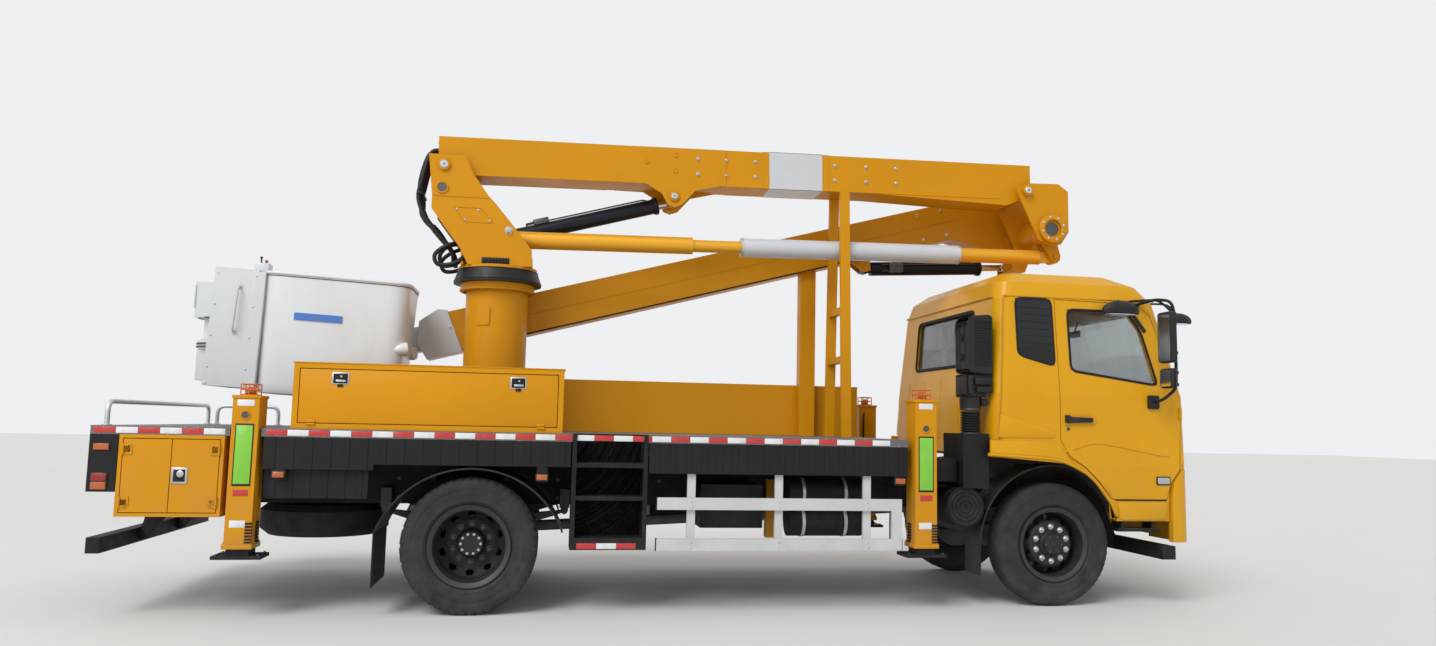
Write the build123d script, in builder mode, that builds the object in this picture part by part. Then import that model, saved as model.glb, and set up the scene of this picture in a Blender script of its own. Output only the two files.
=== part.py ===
from build123d import *
import os
from math import atan2, cos, degrees, hypot, radians, sin

# Cherry picker truck: two-axle chassis with a forward cab, a column and turntable over the rear
# axle, and a folding pair of booms with a two-person basket.
# Millimetres. +X points forward, +Y to the truck's left, +Z up, with the ground at Z = 0 and the
# origin under the middle of the overall length.

os.makedirs("parts", exist_ok=True)

# Overall lengths
WHEELBASE = 4700
REAR_OVERHANG = 2600
FRONT_OVERHANG = 1320
LENGTH = REAR_OVERHANG + WHEELBASE + FRONT_OVERHANG
RA = REAR_OVERHANG - LENGTH / 2
FA = RA + WHEELBASE
REAR_X = RA - REAR_OVERHANG
FRONT_X = FA + FRONT_OVERHANG

# Clearances
PIN_GAP = 0.3
SEAT_GAP = 0.3
DOOR_GAP = 5
SLIDE_GAP = 5

# Wheels
TYRE_RADIUS = 500
TYRE_WIDTH = 250
RIM_RADIUS = 296
TWIN_SPACING = 310
REAR_TYRE_OUTER = 1200
FRONT_TYRE_OUTER = 1090

# Chassis frame
FRAME_HALF = 430
RAIL_DEPTH = 250
RAIL_FLANGE = 75
RAIL_WALL = 10
RAIL_BOTTOM = 750
RAIL_TOP = RAIL_BOTTOM + RAIL_DEPTH
RAIL_REAR = RA - 2460
RAIL_FRONT = FA + 860

# Axles and springs
AXLE_TUBE = 72
SPRING_WIDTH = 80
FRONT_SPRING_Y = 390
REAR_SPRING_Y = 485
SPRING_LENGTH = 1400
KINGPIN_Y = 790
KINGPIN_RADIUS = 22

# Deck
DECK_TOP = 1340
DECK_PLATE = 10
DECK_HALF = 1220
DECK_FRONT = RA + 3380
EDGE_DEPTH = 60
EDGE_WALL = 40
PLATE_UNDER = DECK_TOP - DECK_PLATE
SKIRT_BOTTOM = 1050
SKIRT_THICK = 12
BEAM_WIDTH = 60

# Outriggers
HOUSING_WIDTH = 170
HOUSING_DEPTH = 190
HOUSING_WALL = 10
HOUSING_HALF = 1010
SLIDE_BEAM_WIDTH = HOUSING_WIDTH - 2 * (HOUSING_WALL + SLIDE_GAP)
SLIDE_BEAM_DEPTH = HOUSING_DEPTH - 2 * (HOUSING_WALL + SLIDE_GAP)
JACK_FACE = 1250
JACK_WIDTH = 180
JACK_DEPTH = 200
JACK_WALL = 8
JACK_BOTTOM = 490
REAR_JACK_TOP = 1570
FRONT_JACK_TOP = 1660
LEG_BOTTOM = 420
FOOT_THICK = 24
FOOT_LENGTH = 330
FOOT_WIDTH = 240

# Column and turntable
COLUMN_X = RA + 65
COLUMN_RADIUS = 265
COLUMN_FLANGE_RADIUS = 315
COLUMN_TOP = 2600
COVER_RADIUS = 375
COVER_DEPTH = 120
TURRET_HALF = 255
TURRET_PLATE = 20
TURRET_BASE = COLUMN_TOP + COVER_DEPTH

# Booms
LOWER_BOOM_ANGLE = 1.0
LOWER_BOOM_LENGTH = 5331
LOWER_BOOM_WIDTH = 330
LOWER_BOOM_ABOVE = 272
LOWER_BOOM_BELOW = 62
BOOM_WALL = 12
SHOULDER_X = RA - 410
SHOULDER_Z = 3590
ELBOW_X = SHOULDER_X + LOWER_BOOM_LENGTH * cos(radians(LOWER_BOOM_ANGLE))
ELBOW_Z = SHOULDER_Z + LOWER_BOOM_LENGTH * sin(radians(LOWER_BOOM_ANGLE))
ROD_OFFSET_X = 350
ROD_OFFSET_Z = -590
ROD_Y = -60
HINGE_X = ELBOW_X + 250
HINGE_Z = ELBOW_Z - 350
ELBOW_HALF = 250
ELBOW_PLATE = 20
UPPER_BOOM_ANGLE = 15
UPPER_BOOM_Y = 510
UPPER_BOOM_WIDTH = 240
UPPER_BOOM_DEPTH = 366
UPPER_BOOM_RISE = 352
UPPER_BOOM_REACH = 5640
BASKET_PIVOT_REACH = 7400

# Basket
BASKET_LENGTH = 1160
BASKET_WIDTH = 700
BASKET_HEIGHT = 980
BASKET_WALL = 12
BASKET_PITCH = 2.8


def block(x_low, x_high, y_low, y_high, z_low, z_high, mode=Mode.ADD):
    """A box between six faces."""
    middle = ((x_low + x_high) / 2, (y_low + y_high) / 2, (z_low + z_high) / 2)
    with Locations(middle):
        Box(x_high - x_low, y_high - y_low, z_high - z_low, mode=mode)


def plate(points, y_low, y_high, mode=Mode.ADD, corner=0):
    """A flat plate with its outline in X and Z."""
    with BuildSketch(Plane.XZ.offset(-y_high)) as face:
        with BuildLine():
            Polyline(*points, close=True)
        make_face()
        if corner:
            fillet(face.vertices(), corner)
    extrude(face.sketch, amount=y_high - y_low, mode=mode)


def section(points, x_low, x_high, mode=Mode.ADD, corner=0):
    """A straight member along X with its section in Y and Z."""
    with BuildSketch(Plane.YZ.offset(x_low)) as face:
        with BuildLine():
            Polyline(*points, close=True)
        make_face()
        if corner:
            fillet(face.vertices(), corner)
    extrude(face.sketch, amount=x_high - x_low, mode=mode)


def rod(start, end, radius, mode=Mode.ADD, bore=0):
    """A round bar or tube from one point to another."""
    run = Vector(end) - Vector(start)
    with BuildSketch(Plane(origin=start, z_dir=run)) as face:
        Circle(radius)
        if bore:
            Circle(bore, mode=Mode.SUBTRACT)
    extrude(face.sketch, amount=run.length, mode=mode)


def cross_pin(x, z, radius, y_low, y_high, mode=Mode.ADD, bore=0):
    """A round bar or tube across the truck."""
    rod((x, y_low, z), (x, y_high, z), radius, mode=mode, bore=bore)


def span(side, inner, outer):
    """The low and high Y of something that lies between two distances on one side."""
    return tuple(sorted((side * inner, side * outer)))


# Chassis frame: two channel rails, cross members and the two underrun bars.
CROSS_MEMBERS = (RAIL_REAR, RA - 1290, RA - 700, RA + 750, RA + 2200, FA - 1000, RAIL_FRONT - 80)
UNDERRUN_HALF = 1150
REAR_BAR = (REAR_X, REAR_X + 90, 450, 560)
FRONT_BAR = (FA + 940, FA + 1060, 385, 495)

with BuildPart() as chassis_frame:
    for side in (-1, 1):
        outer, inner = side * FRAME_HALF, side * (FRAME_HALF - RAIL_FLANGE)
        web = side * (FRAME_HALF - RAIL_WALL)
        section(
            [
                (outer, RAIL_BOTTOM), (outer, RAIL_TOP), (inner, RAIL_TOP), (inner, RAIL_TOP - RAIL_WALL),
                (web, RAIL_TOP - RAIL_WALL), (web, RAIL_BOTTOM + RAIL_WALL),
                (inner, RAIL_BOTTOM + RAIL_WALL), (inner, RAIL_BOTTOM),
            ],
            RAIL_REAR,
            RAIL_FRONT,
        )
        low, high = span(side, FRAME_HALF - 60, FRAME_HALF)
        plate(
            [
                (RAIL_REAR, RAIL_BOTTOM), (RAIL_REAR + 180, RAIL_BOTTOM),
                (REAR_BAR[1] + 60, REAR_BAR[2] + 30), (REAR_BAR[1], REAR_BAR[2] + 10),
                (REAR_BAR[1], REAR_BAR[3] - 10),
            ],
            low,
            high,
        )
        plate(
            [
                (RAIL_FRONT - 130, RAIL_BOTTOM), (RAIL_FRONT, RAIL_BOTTOM),
                (FRONT_BAR[0] + 20, FRONT_BAR[3]), (FRONT_BAR[0], FRONT_BAR[2] + 20),
                (FRONT_BAR[0] - 40, FRONT_BAR[2] + 20),
            ],
            low,
            high,
        )
    half_gap = FRAME_HALF - RAIL_WALL
    for x in CROSS_MEMBERS:
        block(x, x + 80, -half_gap, half_gap, RAIL_BOTTOM + 40, RAIL_BOTTOM + 50)
        block(x, x + 10, -half_gap, half_gap, RAIL_BOTTOM + 40, RAIL_TOP - 40)
        block(x, x + 80, -half_gap, half_gap, RAIL_TOP - 50, RAIL_TOP - 40)
    for x_low, x_high, z_low, z_high in (REAR_BAR, FRONT_BAR):
        block(x_low, x_high, -UNDERRUN_HALF, UNDERRUN_HALF, z_low, z_high)
chassis_frame.part.label = "chassis_frame"
export_step(chassis_frame.part, "parts/chassis_frame.step")

# Subframe: two box rails on the chassis, and a cross housing for each outrigger beam.
# Each row is a beam: its name, its side (-1 is the truck's right), its place along the truck and
# the height of its jack's top.
OUTRIGGERS = (
    ("rear_right", -1, RA - 1585, REAR_JACK_TOP),
    ("rear_left", 1, RA - 1585 + HOUSING_WIDTH + 20, REAR_JACK_TOP),
    ("front_right", -1, RA + 3520, FRONT_JACK_TOP),
    ("front_left", 1, RA + 3520 + 280, FRONT_JACK_TOP),
)
SUBFRAME_WIDTH = 80
SUBFRAME_TOP = RAIL_TOP + 110
SUBFRAME_REAR = RAIL_REAR
HOUSING_TOP = RAIL_TOP + HOUSING_DEPTH
HOUSING_MIDDLE = RAIL_TOP + HOUSING_DEPTH / 2
SUBFRAME_FRONT = OUTRIGGERS[3][2] + HOUSING_WIDTH / 2

with BuildPart() as subframe:
    for side in (-1, 1):
        low, high = span(side, FRAME_HALF - SUBFRAME_WIDTH, FRAME_HALF)
        block(SUBFRAME_REAR, SUBFRAME_FRONT, low, high, RAIL_TOP, SUBFRAME_TOP)
    for name, side, x, jack_top in OUTRIGGERS:
        half = HOUSING_WIDTH / 2
        block(x - half, x + half, -HOUSING_HALF, HOUSING_HALF, RAIL_TOP, HOUSING_TOP)
    block(COLUMN_X - 330, COLUMN_X + 330, -FRAME_HALF, FRAME_HALF, RAIL_TOP, SUBFRAME_TOP)
    for name, side, x, jack_top in OUTRIGGERS:
        half = HOUSING_WIDTH / 2 - HOUSING_WALL
        block(
            x - half, x + half, -HOUSING_HALF, HOUSING_HALF,
            RAIL_TOP + HOUSING_WALL, HOUSING_TOP - HOUSING_WALL, mode=Mode.SUBTRACT,
        )
        pad = span(side, HOUSING_HALF - 60, HOUSING_HALF)
        block(
            x - half, x + half, *pad, RAIL_TOP + HOUSING_WALL,
            RAIL_TOP + HOUSING_WALL + SLIDE_GAP - SEAT_GAP,
        )
subframe.part.label = "subframe"
export_step(subframe.part, "parts/subframe.step")


def leaf_spring(x, y, z, drop, thick):
    """A leaf pack with its hangers, bowed down by drop at its middle."""
    half = SPRING_LENGTH / 2
    with BuildSketch(Plane.XZ.offset(-(y + SPRING_WIDTH / 2))) as pack:
        with BuildLine():
            ThreePointArc((x - half, z + drop), (x, z), (x + half, z + drop))
            Line((x + half, z + drop), (x + half, z + drop - 16))
            ThreePointArc((x + half, z + drop - 16), (x, z - thick), (x - half, z + drop - 16))
            Line((x - half, z + drop - 16), (x - half, z + drop))
        make_face()
    extrude(pack.sketch, amount=SPRING_WIDTH)
    for end in (-1, 1):
        eye_x = x + end * half
        cross_pin(eye_x, z + drop - 8, 26, y - SPRING_WIDTH / 2, y + SPRING_WIDTH / 2)
        block(eye_x - 30, eye_x + 30, y - SPRING_WIDTH / 2, y + SPRING_WIDTH / 2, z + drop - 8, RAIL_BOTTOM)


# Front axle: a dropped beam with an eye for each kingpin, and its springs.
BEAM_TOP = TYRE_RADIUS + 30
BEAM_DROP = 90
EYE_HALF = 52
FRONT_SPRING_THICK = 75
with BuildPart() as front_axle:
    section(
        [
            (-KINGPIN_Y, TYRE_RADIUS + EYE_HALF), (-KINGPIN_Y, TYRE_RADIUS - EYE_HALF),
            (-KINGPIN_Y + 90, TYRE_RADIUS - EYE_HALF), (-620, BEAM_TOP - BEAM_DROP - 90),
            (620, BEAM_TOP - BEAM_DROP - 90), (KINGPIN_Y - 90, TYRE_RADIUS - EYE_HALF),
            (KINGPIN_Y, TYRE_RADIUS - EYE_HALF), (KINGPIN_Y, TYRE_RADIUS + EYE_HALF),
            (KINGPIN_Y - 90, TYRE_RADIUS + EYE_HALF), (500, BEAM_TOP - BEAM_DROP + 10),
            (-500, BEAM_TOP - BEAM_DROP + 10), (-KINGPIN_Y + 90, TYRE_RADIUS + EYE_HALF),
        ],
        FA - 45,
        FA + 45,
    )
    for side in (-1, 1):
        eye = (FA, side * KINGPIN_Y)
        rod((*eye, TYRE_RADIUS - EYE_HALF), (*eye, TYRE_RADIUS + EYE_HALF), 48)
        rod(
            (*eye, TYRE_RADIUS - EYE_HALF), (*eye, TYRE_RADIUS + EYE_HALF),
            KINGPIN_RADIUS + PIN_GAP, mode=Mode.SUBTRACT,
        )
        seat = BEAM_TOP - BEAM_DROP
        leaf_spring(FA, side * FRONT_SPRING_Y, seat + FRONT_SPRING_THICK, 160, FRONT_SPRING_THICK)
front_axle.part.label = "front_axle"
export_step(front_axle.part, "parts/front_axle.step")

# Rear axle: banjo housing, springs, propeller shaft and gearbox.
REAR_HUB_FACE = 640
REAR_SPRING_THICK = 105
GEARBOX_REAR = FA - 850
SHAFT_FRONT_Z = 720
with BuildPart() as rear_axle:
    cross_pin(RA, TYRE_RADIUS, AXLE_TUBE, -REAR_HUB_FACE, REAR_HUB_FACE)
    with Locations((RA, 0, TYRE_RADIUS)):
        Sphere(190)
    rod((RA, 0, TYRE_RADIUS), (RA + 330, 0, TYRE_RADIUS + 30), 80)
    rod((RA + 320, 0, TYRE_RADIUS + 28), (GEARBOX_REAR - 6, 0, SHAFT_FRONT_Z - 10), 45)
    for side in (-1, 1):
        seat = TYRE_RADIUS + AXLE_TUBE - 5
        leaf_spring(RA, side * REAR_SPRING_Y, seat + REAR_SPRING_THICK, 40, REAR_SPRING_THICK)
    for end in (-1, 1):
        x = RA + end * SPRING_LENGTH / 2
        for side in (-1, 1):
            low, high = span(side, FRAME_HALF, REAR_SPRING_Y + SPRING_WIDTH / 2)
            block(x - 40, x + 40, low, high, RAIL_BOTTOM - 20, RAIL_BOTTOM + 130)
rear_axle.part.label = "rear_axle"
export_step(rear_axle.part, "parts/rear_axle.step")

# Engine with its gearbox, as plain closed blocks.
ENGINE_REAR = FA - 150
with BuildPart() as engine_block:
    block(ENGINE_REAR, FA + 770, -270, 270, 600, 1185)
    rod((GEARBOX_REAR, 0, SHAFT_FRONT_Z), (ENGINE_REAR, 0, SHAFT_FRONT_Z), 165)
engine_block.part.label = "engine_block"
export_step(engine_block.part, "parts/engine_block.step")

# Boxes and tanks hung on the rails: fuel tank on the left, battery box and air tanks on the
# right, the air filter canister and the box above it behind the cab.
TANK_RADIUS = 115
TANK_REAR = RA + 2480
TANK_LENGTH = 620
TANK_Y = -FRAME_HALF - 420
with BuildPart() as chassis_boxes:
    block(RA + 1500, RA + 2500, FRAME_HALF, FRAME_HALF + 560, 560, 1000)
    fillet(chassis_boxes.edges().filter_by(Axis.X), 60)
    block(RA + 1750, RA + 2250, -FRAME_HALF - 560, -FRAME_HALF, 620, 960)
    for z in (660, 895):
        rod((TANK_REAR, TANK_Y, z), (TANK_REAR + TANK_LENGTH, TANK_Y, z), TANK_RADIUS)
    for strap in (120, 460):
        x = TANK_REAR + strap
        block(x, x + 40, TANK_Y - 20, TANK_Y + 20, 660, 895)
        block(x, x + 40, TANK_Y, -FRAME_HALF, 870, 910)
    cross_pin(FA - 775, 800, 160, -1080, -FRAME_HALF)
    block(FA - 805, FA - 580, -1110, -FRAME_HALF, 955, 985)
    block(FA - 805, FA - 580, -1110, -700, 985, 1400)
chassis_boxes.part.label = "chassis_boxes"
export_step(chassis_boxes.part, "parts/chassis_boxes.step")

# Deck: plates, edge rails, cross beams, a hole round the column and notches round the rear jacks,
# where the plates meet in seams.
DECK_BEAMS = (-2520, -2060, -1200, -700, -260, 380, 1000, 1560, 2220, 2800, 3300)
CROSS_BEAM_HALF = DECK_HALF - 80
HOOP_RADIUS = 13
HOOP_HEIGHT = 170
HOOP_CORNER = 60
JACK_NOTCH = 15
STEPS_REAR = RA + 730
STEPS_FRONT = RA + 1300
STEP_BACK = DECK_HALF - 250
TOOLBOX_REAR = RA - 2410
TOOLBOX_FRONT = RA - 1720
TOOLBOX_INNER = DECK_HALF - 560


def hoop(start, end, height, corner, radius):
    """A low rail bent from round tube, standing on the deck."""
    a, b = Vector(start), Vector(end)
    up = Vector(0, 0, height)
    with BuildLine() as path:
        FilletPolyline(a, a + up, b + up, b, radius=corner)
    with BuildSketch(Plane(origin=a, z_dir=(0, 0, 1))) as face:
        Circle(radius)
    sweep(face.sketch, path=path.line)


with BuildPart() as deck:
    block(REAR_X, DECK_FRONT, -DECK_HALF, DECK_HALF, PLATE_UNDER, DECK_TOP)
    rail_top = PLATE_UNDER - SEAT_GAP
    rail_end = EDGE_WALL + SEAT_GAP
    for x in (REAR_X, DECK_FRONT - EDGE_WALL):
        block(x, x + EDGE_WALL, -DECK_HALF, DECK_HALF, DECK_TOP - EDGE_DEPTH, rail_top)
    for side in (-1, 1):
        rail = span(side, DECK_HALF - EDGE_WALL, DECK_HALF)
        block(REAR_X + rail_end, DECK_FRONT - rail_end, *rail, DECK_TOP - EDGE_DEPTH, rail_top)
    for place in DECK_BEAMS:
        x = RA + place
        block(
            x - BEAM_WIDTH / 2, x + BEAM_WIDTH / 2, -CROSS_BEAM_HALF, CROSS_BEAM_HALF, SUBFRAME_TOP,
            rail_top,
        )
    for name, side, x, jack_top in OUTRIGGERS[:2]:
        half = JACK_WIDTH / 2 + JACK_NOTCH
        low, high = span(side, JACK_FACE - JACK_DEPTH - JACK_NOTCH, JACK_FACE)
        block(x - half, x + half, low, high, SUBFRAME_TOP, DECK_TOP, mode=Mode.SUBTRACT)
    under, over = PLATE_UNDER - SEAT_GAP / 2, DECK_TOP + 1
    notch_y = JACK_FACE - JACK_DEPTH - JACK_NOTCH
    notch_rear = OUTRIGGERS[0][2] - JACK_WIDTH / 2 - JACK_NOTCH
    notch_front = OUTRIGGERS[1][2] + JACK_WIDTH / 2 + JACK_NOTCH
    for x in (notch_rear - SEAT_GAP, notch_front):
        block(x, x + SEAT_GAP, -DECK_HALF, DECK_HALF, under, over, mode=Mode.SUBTRACT)
    for side in (-1, 1):
        seam = span(side, notch_y - SEAT_GAP, notch_y)
        block(notch_rear, notch_front, *seam, under, over, mode=Mode.SUBTRACT)
    rod((COLUMN_X, 0, SUBFRAME_TOP), (COLUMN_X, 0, DECK_TOP), COLUMN_RADIUS + 1, mode=Mode.SUBTRACT)
    block(
        STEPS_REAR - SEAT_GAP, STEPS_FRONT + SEAT_GAP, -DECK_HALF,
        -STEP_BACK + SEAT_GAP, SUBFRAME_TOP, DECK_TOP,
        mode=Mode.SUBTRACT,
    )
    block(
        TOOLBOX_REAR - 5, TOOLBOX_FRONT + 5, -DECK_HALF + EDGE_WALL, -TOOLBOX_INNER + 5, SUBFRAME_TOP,
        DECK_TOP - EDGE_DEPTH + SEAT_GAP, mode=Mode.SUBTRACT,
    )
deck.part.label = "deck"
export_step(deck.part, "parts/deck.step")

# Hoops: low tube rails along the deck's rear edge and its left corner.
HOOP_Y = DECK_HALF - 30
HOOP_X = REAR_X + 30
with BuildPart() as deck_hoops:
    hoop((HOOP_X, -1040, DECK_TOP), (HOOP_X, HOOP_Y - 60, DECK_TOP), HOOP_HEIGHT, HOOP_CORNER, HOOP_RADIUS)
    hoop(
        (HOOP_X + 60, HOOP_Y, DECK_TOP), (HOOP_X + 600, HOOP_Y, DECK_TOP), HOOP_HEIGHT, HOOP_CORNER,
        HOOP_RADIUS,
    )
deck_hoops.part.label = "deck_hoops"
export_step(deck_hoops.part, "parts/deck_hoops.step")

# Skirt: ribbed panels under the deck's edge rails, with gaps for what hangs in front of them.
RIB_PITCH = 120
RIB_PROUD = 4
ARCH_HALF = 680
ARCH_TOP = 1075
# Each row is a panel: its side, its ends along the truck, its lower edge and how far it is set in.
SKIRT_PANELS = (
    (-1, RA - 1460, RA - 700, SKIRT_BOTTOM, 0),
    (-1, RA - 700, RA + 720, ARCH_TOP + 15, 0),
    (-1, STEPS_FRONT + 10, DECK_FRONT, SKIRT_BOTTOM, 0),
    (-1, RA - 1460, RA - 740, 840, 60),
    (1, REAR_X + 180 + SEAT_GAP, RA - 1520, SKIRT_BOTTOM, 0),
    (1, RA - 1270, RA - 700, SKIRT_BOTTOM, 0),
    (1, RA - 700, RA + 720, ARCH_TOP + 15, 0),
    (1, RA + 720, DECK_FRONT, SKIRT_BOTTOM, 0),
    (1, RA - 1270, RA - 740, 840, 60),
)
# Each row is a marker lamp below the skirt: its side and its place.
MARKERS = ((-1, RA - 1345), (-1, RA + 510), (-1, RA + 3310), (1, RA - 1200), (1, RA + 510), (1, RA + 3310))
MARKER_LOW = 985
MARKER_HIGH = 1040
with BuildPart() as deck_skirt:
    z_high = DECK_TOP - EDGE_DEPTH
    for side, x_low, x_high, z_low, inset in SKIRT_PANELS:
        low, high = span(side, DECK_HALF - SKIRT_THICK - inset, DECK_HALF - inset)
        block(x_low, x_high - SEAT_GAP, low, high, z_low, z_high)
        count = int((x_high - x_low) / RIB_PITCH)
        step = (x_high - x_low) / count
        for index in range(count):
            x = x_low + (index + 0.5) * step
            rib = span(side, DECK_HALF - inset, DECK_HALF - inset + RIB_PROUD)
            block(x - 20, x + 20, *rib, z_low, z_high)
    for side, x in MARKERS:
        low, high = span(side, DECK_HALF - SKIRT_THICK, DECK_HALF)
        block(x - 40, x + 40, low, high, MARKER_LOW - 10, ARCH_TOP + 20)
    block(REAR_X, REAR_X + SKIRT_THICK, -DECK_HALF, DECK_HALF, 880, z_high)
    corner = REAR_X + SKIRT_THICK + SEAT_GAP
    block(corner, TOOLBOX_REAR - 5, -DECK_HALF, -DECK_HALF + SKIRT_THICK, 880, z_high)
    block(corner, REAR_X + 180, DECK_HALF - SKIRT_THICK, DECK_HALF, 880, z_high)
deck_skirt.part.label = "deck_skirt"
export_step(deck_skirt.part, "parts/deck_skirt.step")

# Mudguards: bowed strips over the rear wheels with flaps, and arches over the front wheels.
GUARD_THICK = 12
FRONT_GUARD_RADIUS = 640
with BuildPart() as mudguards:
    for side in (-1, 1):
        low, high = span(side, FRAME_HALF + 170, DECK_HALF)
        foot = 605
        with BuildSketch(Plane.XZ.offset(-high)) as strip:
            with BuildLine():
                ThreePointArc((RA - ARCH_HALF, foot), (RA, ARCH_TOP), (RA + ARCH_HALF, foot))
                Line((RA + ARCH_HALF, foot), (RA + ARCH_HALF - GUARD_THICK, foot))
                ThreePointArc(
                    (RA + ARCH_HALF - GUARD_THICK, foot), (RA, ARCH_TOP - GUARD_THICK),
                    (RA - ARCH_HALF + GUARD_THICK, foot),
                )
                Line((RA - ARCH_HALF + GUARD_THICK, foot), (RA - ARCH_HALF, foot))
            make_face()
        extrude(strip.sketch, amount=high - low)
        block(RA - ARCH_HALF, RA - ARCH_HALF + 8, low, high, 210, foot + 10)
        for x in (RA - 330, RA + 330):
            block(x - 20, x + 20, *span(side, FRAME_HALF, FRAME_HALF + 200), 930, 960)
            block(x - 20, x + 20, *span(side, FRAME_HALF + 180, FRAME_HALF + 200), 930, 975)
        low, high = span(side, 790, 1085)
        with BuildSketch(Plane.XZ.offset(-high)) as arch:
            with Locations((FA, TYRE_RADIUS)):
                Circle(FRONT_GUARD_RADIUS + GUARD_THICK)
                Circle(FRONT_GUARD_RADIUS, mode=Mode.SUBTRACT)
            with BuildLine():
                Polyline(
                    (FA, TYRE_RADIUS), (FA + 800, TYRE_RADIUS + 620), (FA + 800, 1500), (FA - 900, 1500),
                    (FA - 900, TYRE_RADIUS - 20), close=True,
                )
            make_face(mode=Mode.INTERSECT)
        extrude(arch.sketch, amount=high - low)
        x = FA - FRONT_GUARD_RADIUS
        block(x - GUARD_THICK, x - GUARD_THICK + 8, low, high, 250, TYRE_RADIUS + 5)
        block(FA - 20, FA + 20, *span(side, FRAME_HALF, FRAME_HALF + 20), 900, 1140)
        block(FA - 20, FA + 20, *span(side, FRAME_HALF, 800), 1118, 1140)
mudguards.part.label = "mudguards"
export_step(mudguards.part, "parts/mudguards.step")

# Access steps: a frame with three treads let into the deck's right edge.
STEP_BOTTOM = 480
STEP_FACE = DECK_HALF + 15
STEP_RAIL = 32
TREADS = (535, 845, 1090)
with BuildPart() as access_steps:
    block(STEPS_REAR, STEPS_REAR + STEP_RAIL, -STEP_FACE, -STEP_BACK, STEP_BOTTOM, DECK_TOP)
    block(STEPS_FRONT - STEP_RAIL, STEPS_FRONT, -STEP_FACE, -STEP_BACK, STEP_BOTTOM, DECK_TOP)
    block(STEPS_REAR, STEPS_FRONT, -STEP_BACK - 6, -STEP_BACK, STEP_BOTTOM, DECK_TOP)
    block(STEPS_REAR, STEPS_FRONT, -STEP_FACE, -STEP_FACE + 12, STEP_BOTTOM, TREADS[0] + 32)
    for z in TREADS:
        block(STEPS_REAR, STEPS_FRONT, -STEP_FACE, -STEP_BACK, z, z + 32)
access_steps.part.label = "access_steps"
export_step(access_steps.part, "parts/access_steps.step")

# Side guards: two rails on three posts, closed at the front.
GUARD_REAR = RA + 1380
GUARD_FRONT = RA + 3330
GUARD_RAILS = ((470, 560), (778, 870))
GUARD_POSTS = (RA + 1645, RA + 2335, RA + 3050)
with BuildPart() as side_guards:
    for side in (-1, 1):
        rail = span(side, DECK_HALF - 30, DECK_HALF)
        for z_low, z_high in GUARD_RAILS:
            block(GUARD_REAR, GUARD_FRONT, *rail, z_low, z_high)
        block(GUARD_FRONT - 85, GUARD_FRONT, *rail, GUARD_RAILS[0][0], GUARD_RAILS[1][1])
        post = span(side, DECK_HALF - 60, DECK_HALF - 30)
        for x in GUARD_POSTS:
            block(x - 32, x + 32, *post, GUARD_RAILS[0][0], DECK_TOP - EDGE_DEPTH)
side_guards.part.label = "side_guards"
export_step(side_guards.part, "parts/side_guards.step")


# Spare wheel: it lies flat under the frame, held up by its winch post.
SPARE_X = RA - 1290 + 40
SPARE_BOTTOM = 480
with BuildPart() as spare_wheel:
    with BuildSketch(Plane.XZ) as ring:
        with BuildLine():
            Polyline(
                (SPARE_X + RIM_RADIUS - 30, SPARE_BOTTOM + 40), (SPARE_X + TYRE_RADIUS - 60, SPARE_BOTTOM),
                (SPARE_X + TYRE_RADIUS, SPARE_BOTTOM + 50), (SPARE_X + TYRE_RADIUS, SPARE_BOTTOM + 200),
                (SPARE_X + TYRE_RADIUS - 60, SPARE_BOTTOM + 250),
                (SPARE_X + RIM_RADIUS - 30, SPARE_BOTTOM + 210),
                close=True,
            )
        make_face()
        with BuildLine():
            Polyline(
                (SPARE_X, SPARE_BOTTOM + 150), (SPARE_X + RIM_RADIUS - 30, SPARE_BOTTOM + 150),
                (SPARE_X + RIM_RADIUS - 30, SPARE_BOTTOM + 170), (SPARE_X, SPARE_BOTTOM + 170), close=True,
            )
        make_face()
    revolve(ring.sketch, axis=Axis((SPARE_X, 0, 0), (0, 0, 1)))
    rod((SPARE_X, 0, SPARE_BOTTOM + 160), (SPARE_X, 0, RAIL_BOTTOM + 40), 30)
spare_wheel.part.label = "spare_wheel"
export_step(spare_wheel.part, "parts/spare_wheel.step")

# Deck toolboxes: open-fronted lockers along both edges of the deck, each with a drop door.
LOCKER_TOP = 1820
LOCKER_DEPTH = 600
LOCKER_FACE = DECK_HALF - 20
LOCKER_WALL = 15
LOCKER_FRAME = 40
LOCKER_REAR = RA - 1240
# Each row is a locker: its side, its ends along the truck and the front end of its door.
LOCKERS = (("right", -1, RA - 1290, RA + 650, RA + 650), ("left", 1, LOCKER_REAR, RA + 3540, RA + 700))
with BuildPart() as deck_toolboxes:
    for name, side, x_low, x_high, door_end in LOCKERS:
        low, high = span(side, LOCKER_FACE - LOCKER_DEPTH, LOCKER_FACE)
        block(x_low, x_high, low, high, DECK_TOP, LOCKER_TOP)
        low, high = span(side, LOCKER_FACE - LOCKER_DEPTH + LOCKER_WALL, LOCKER_FACE - LOCKER_WALL)
        block(
            x_low + LOCKER_WALL, x_high - LOCKER_WALL, low, high,
            DECK_TOP + LOCKER_WALL, LOCKER_TOP - LOCKER_WALL, mode=Mode.SUBTRACT,
        )
        low, high = span(side, LOCKER_FACE - LOCKER_WALL, LOCKER_FACE)
        block(
            x_low + LOCKER_FRAME, door_end - LOCKER_FRAME, low, high,
            DECK_TOP + LOCKER_FRAME, LOCKER_TOP - LOCKER_FRAME, mode=Mode.SUBTRACT,
        )
    block(DECK_FRONT, RA + 3540, *span(1, LOCKER_FACE - LOCKER_DEPTH, LOCKER_FACE), DECK_TOP - 30, DECK_TOP)
deck_toolboxes.part.label = "deck_toolboxes"
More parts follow.
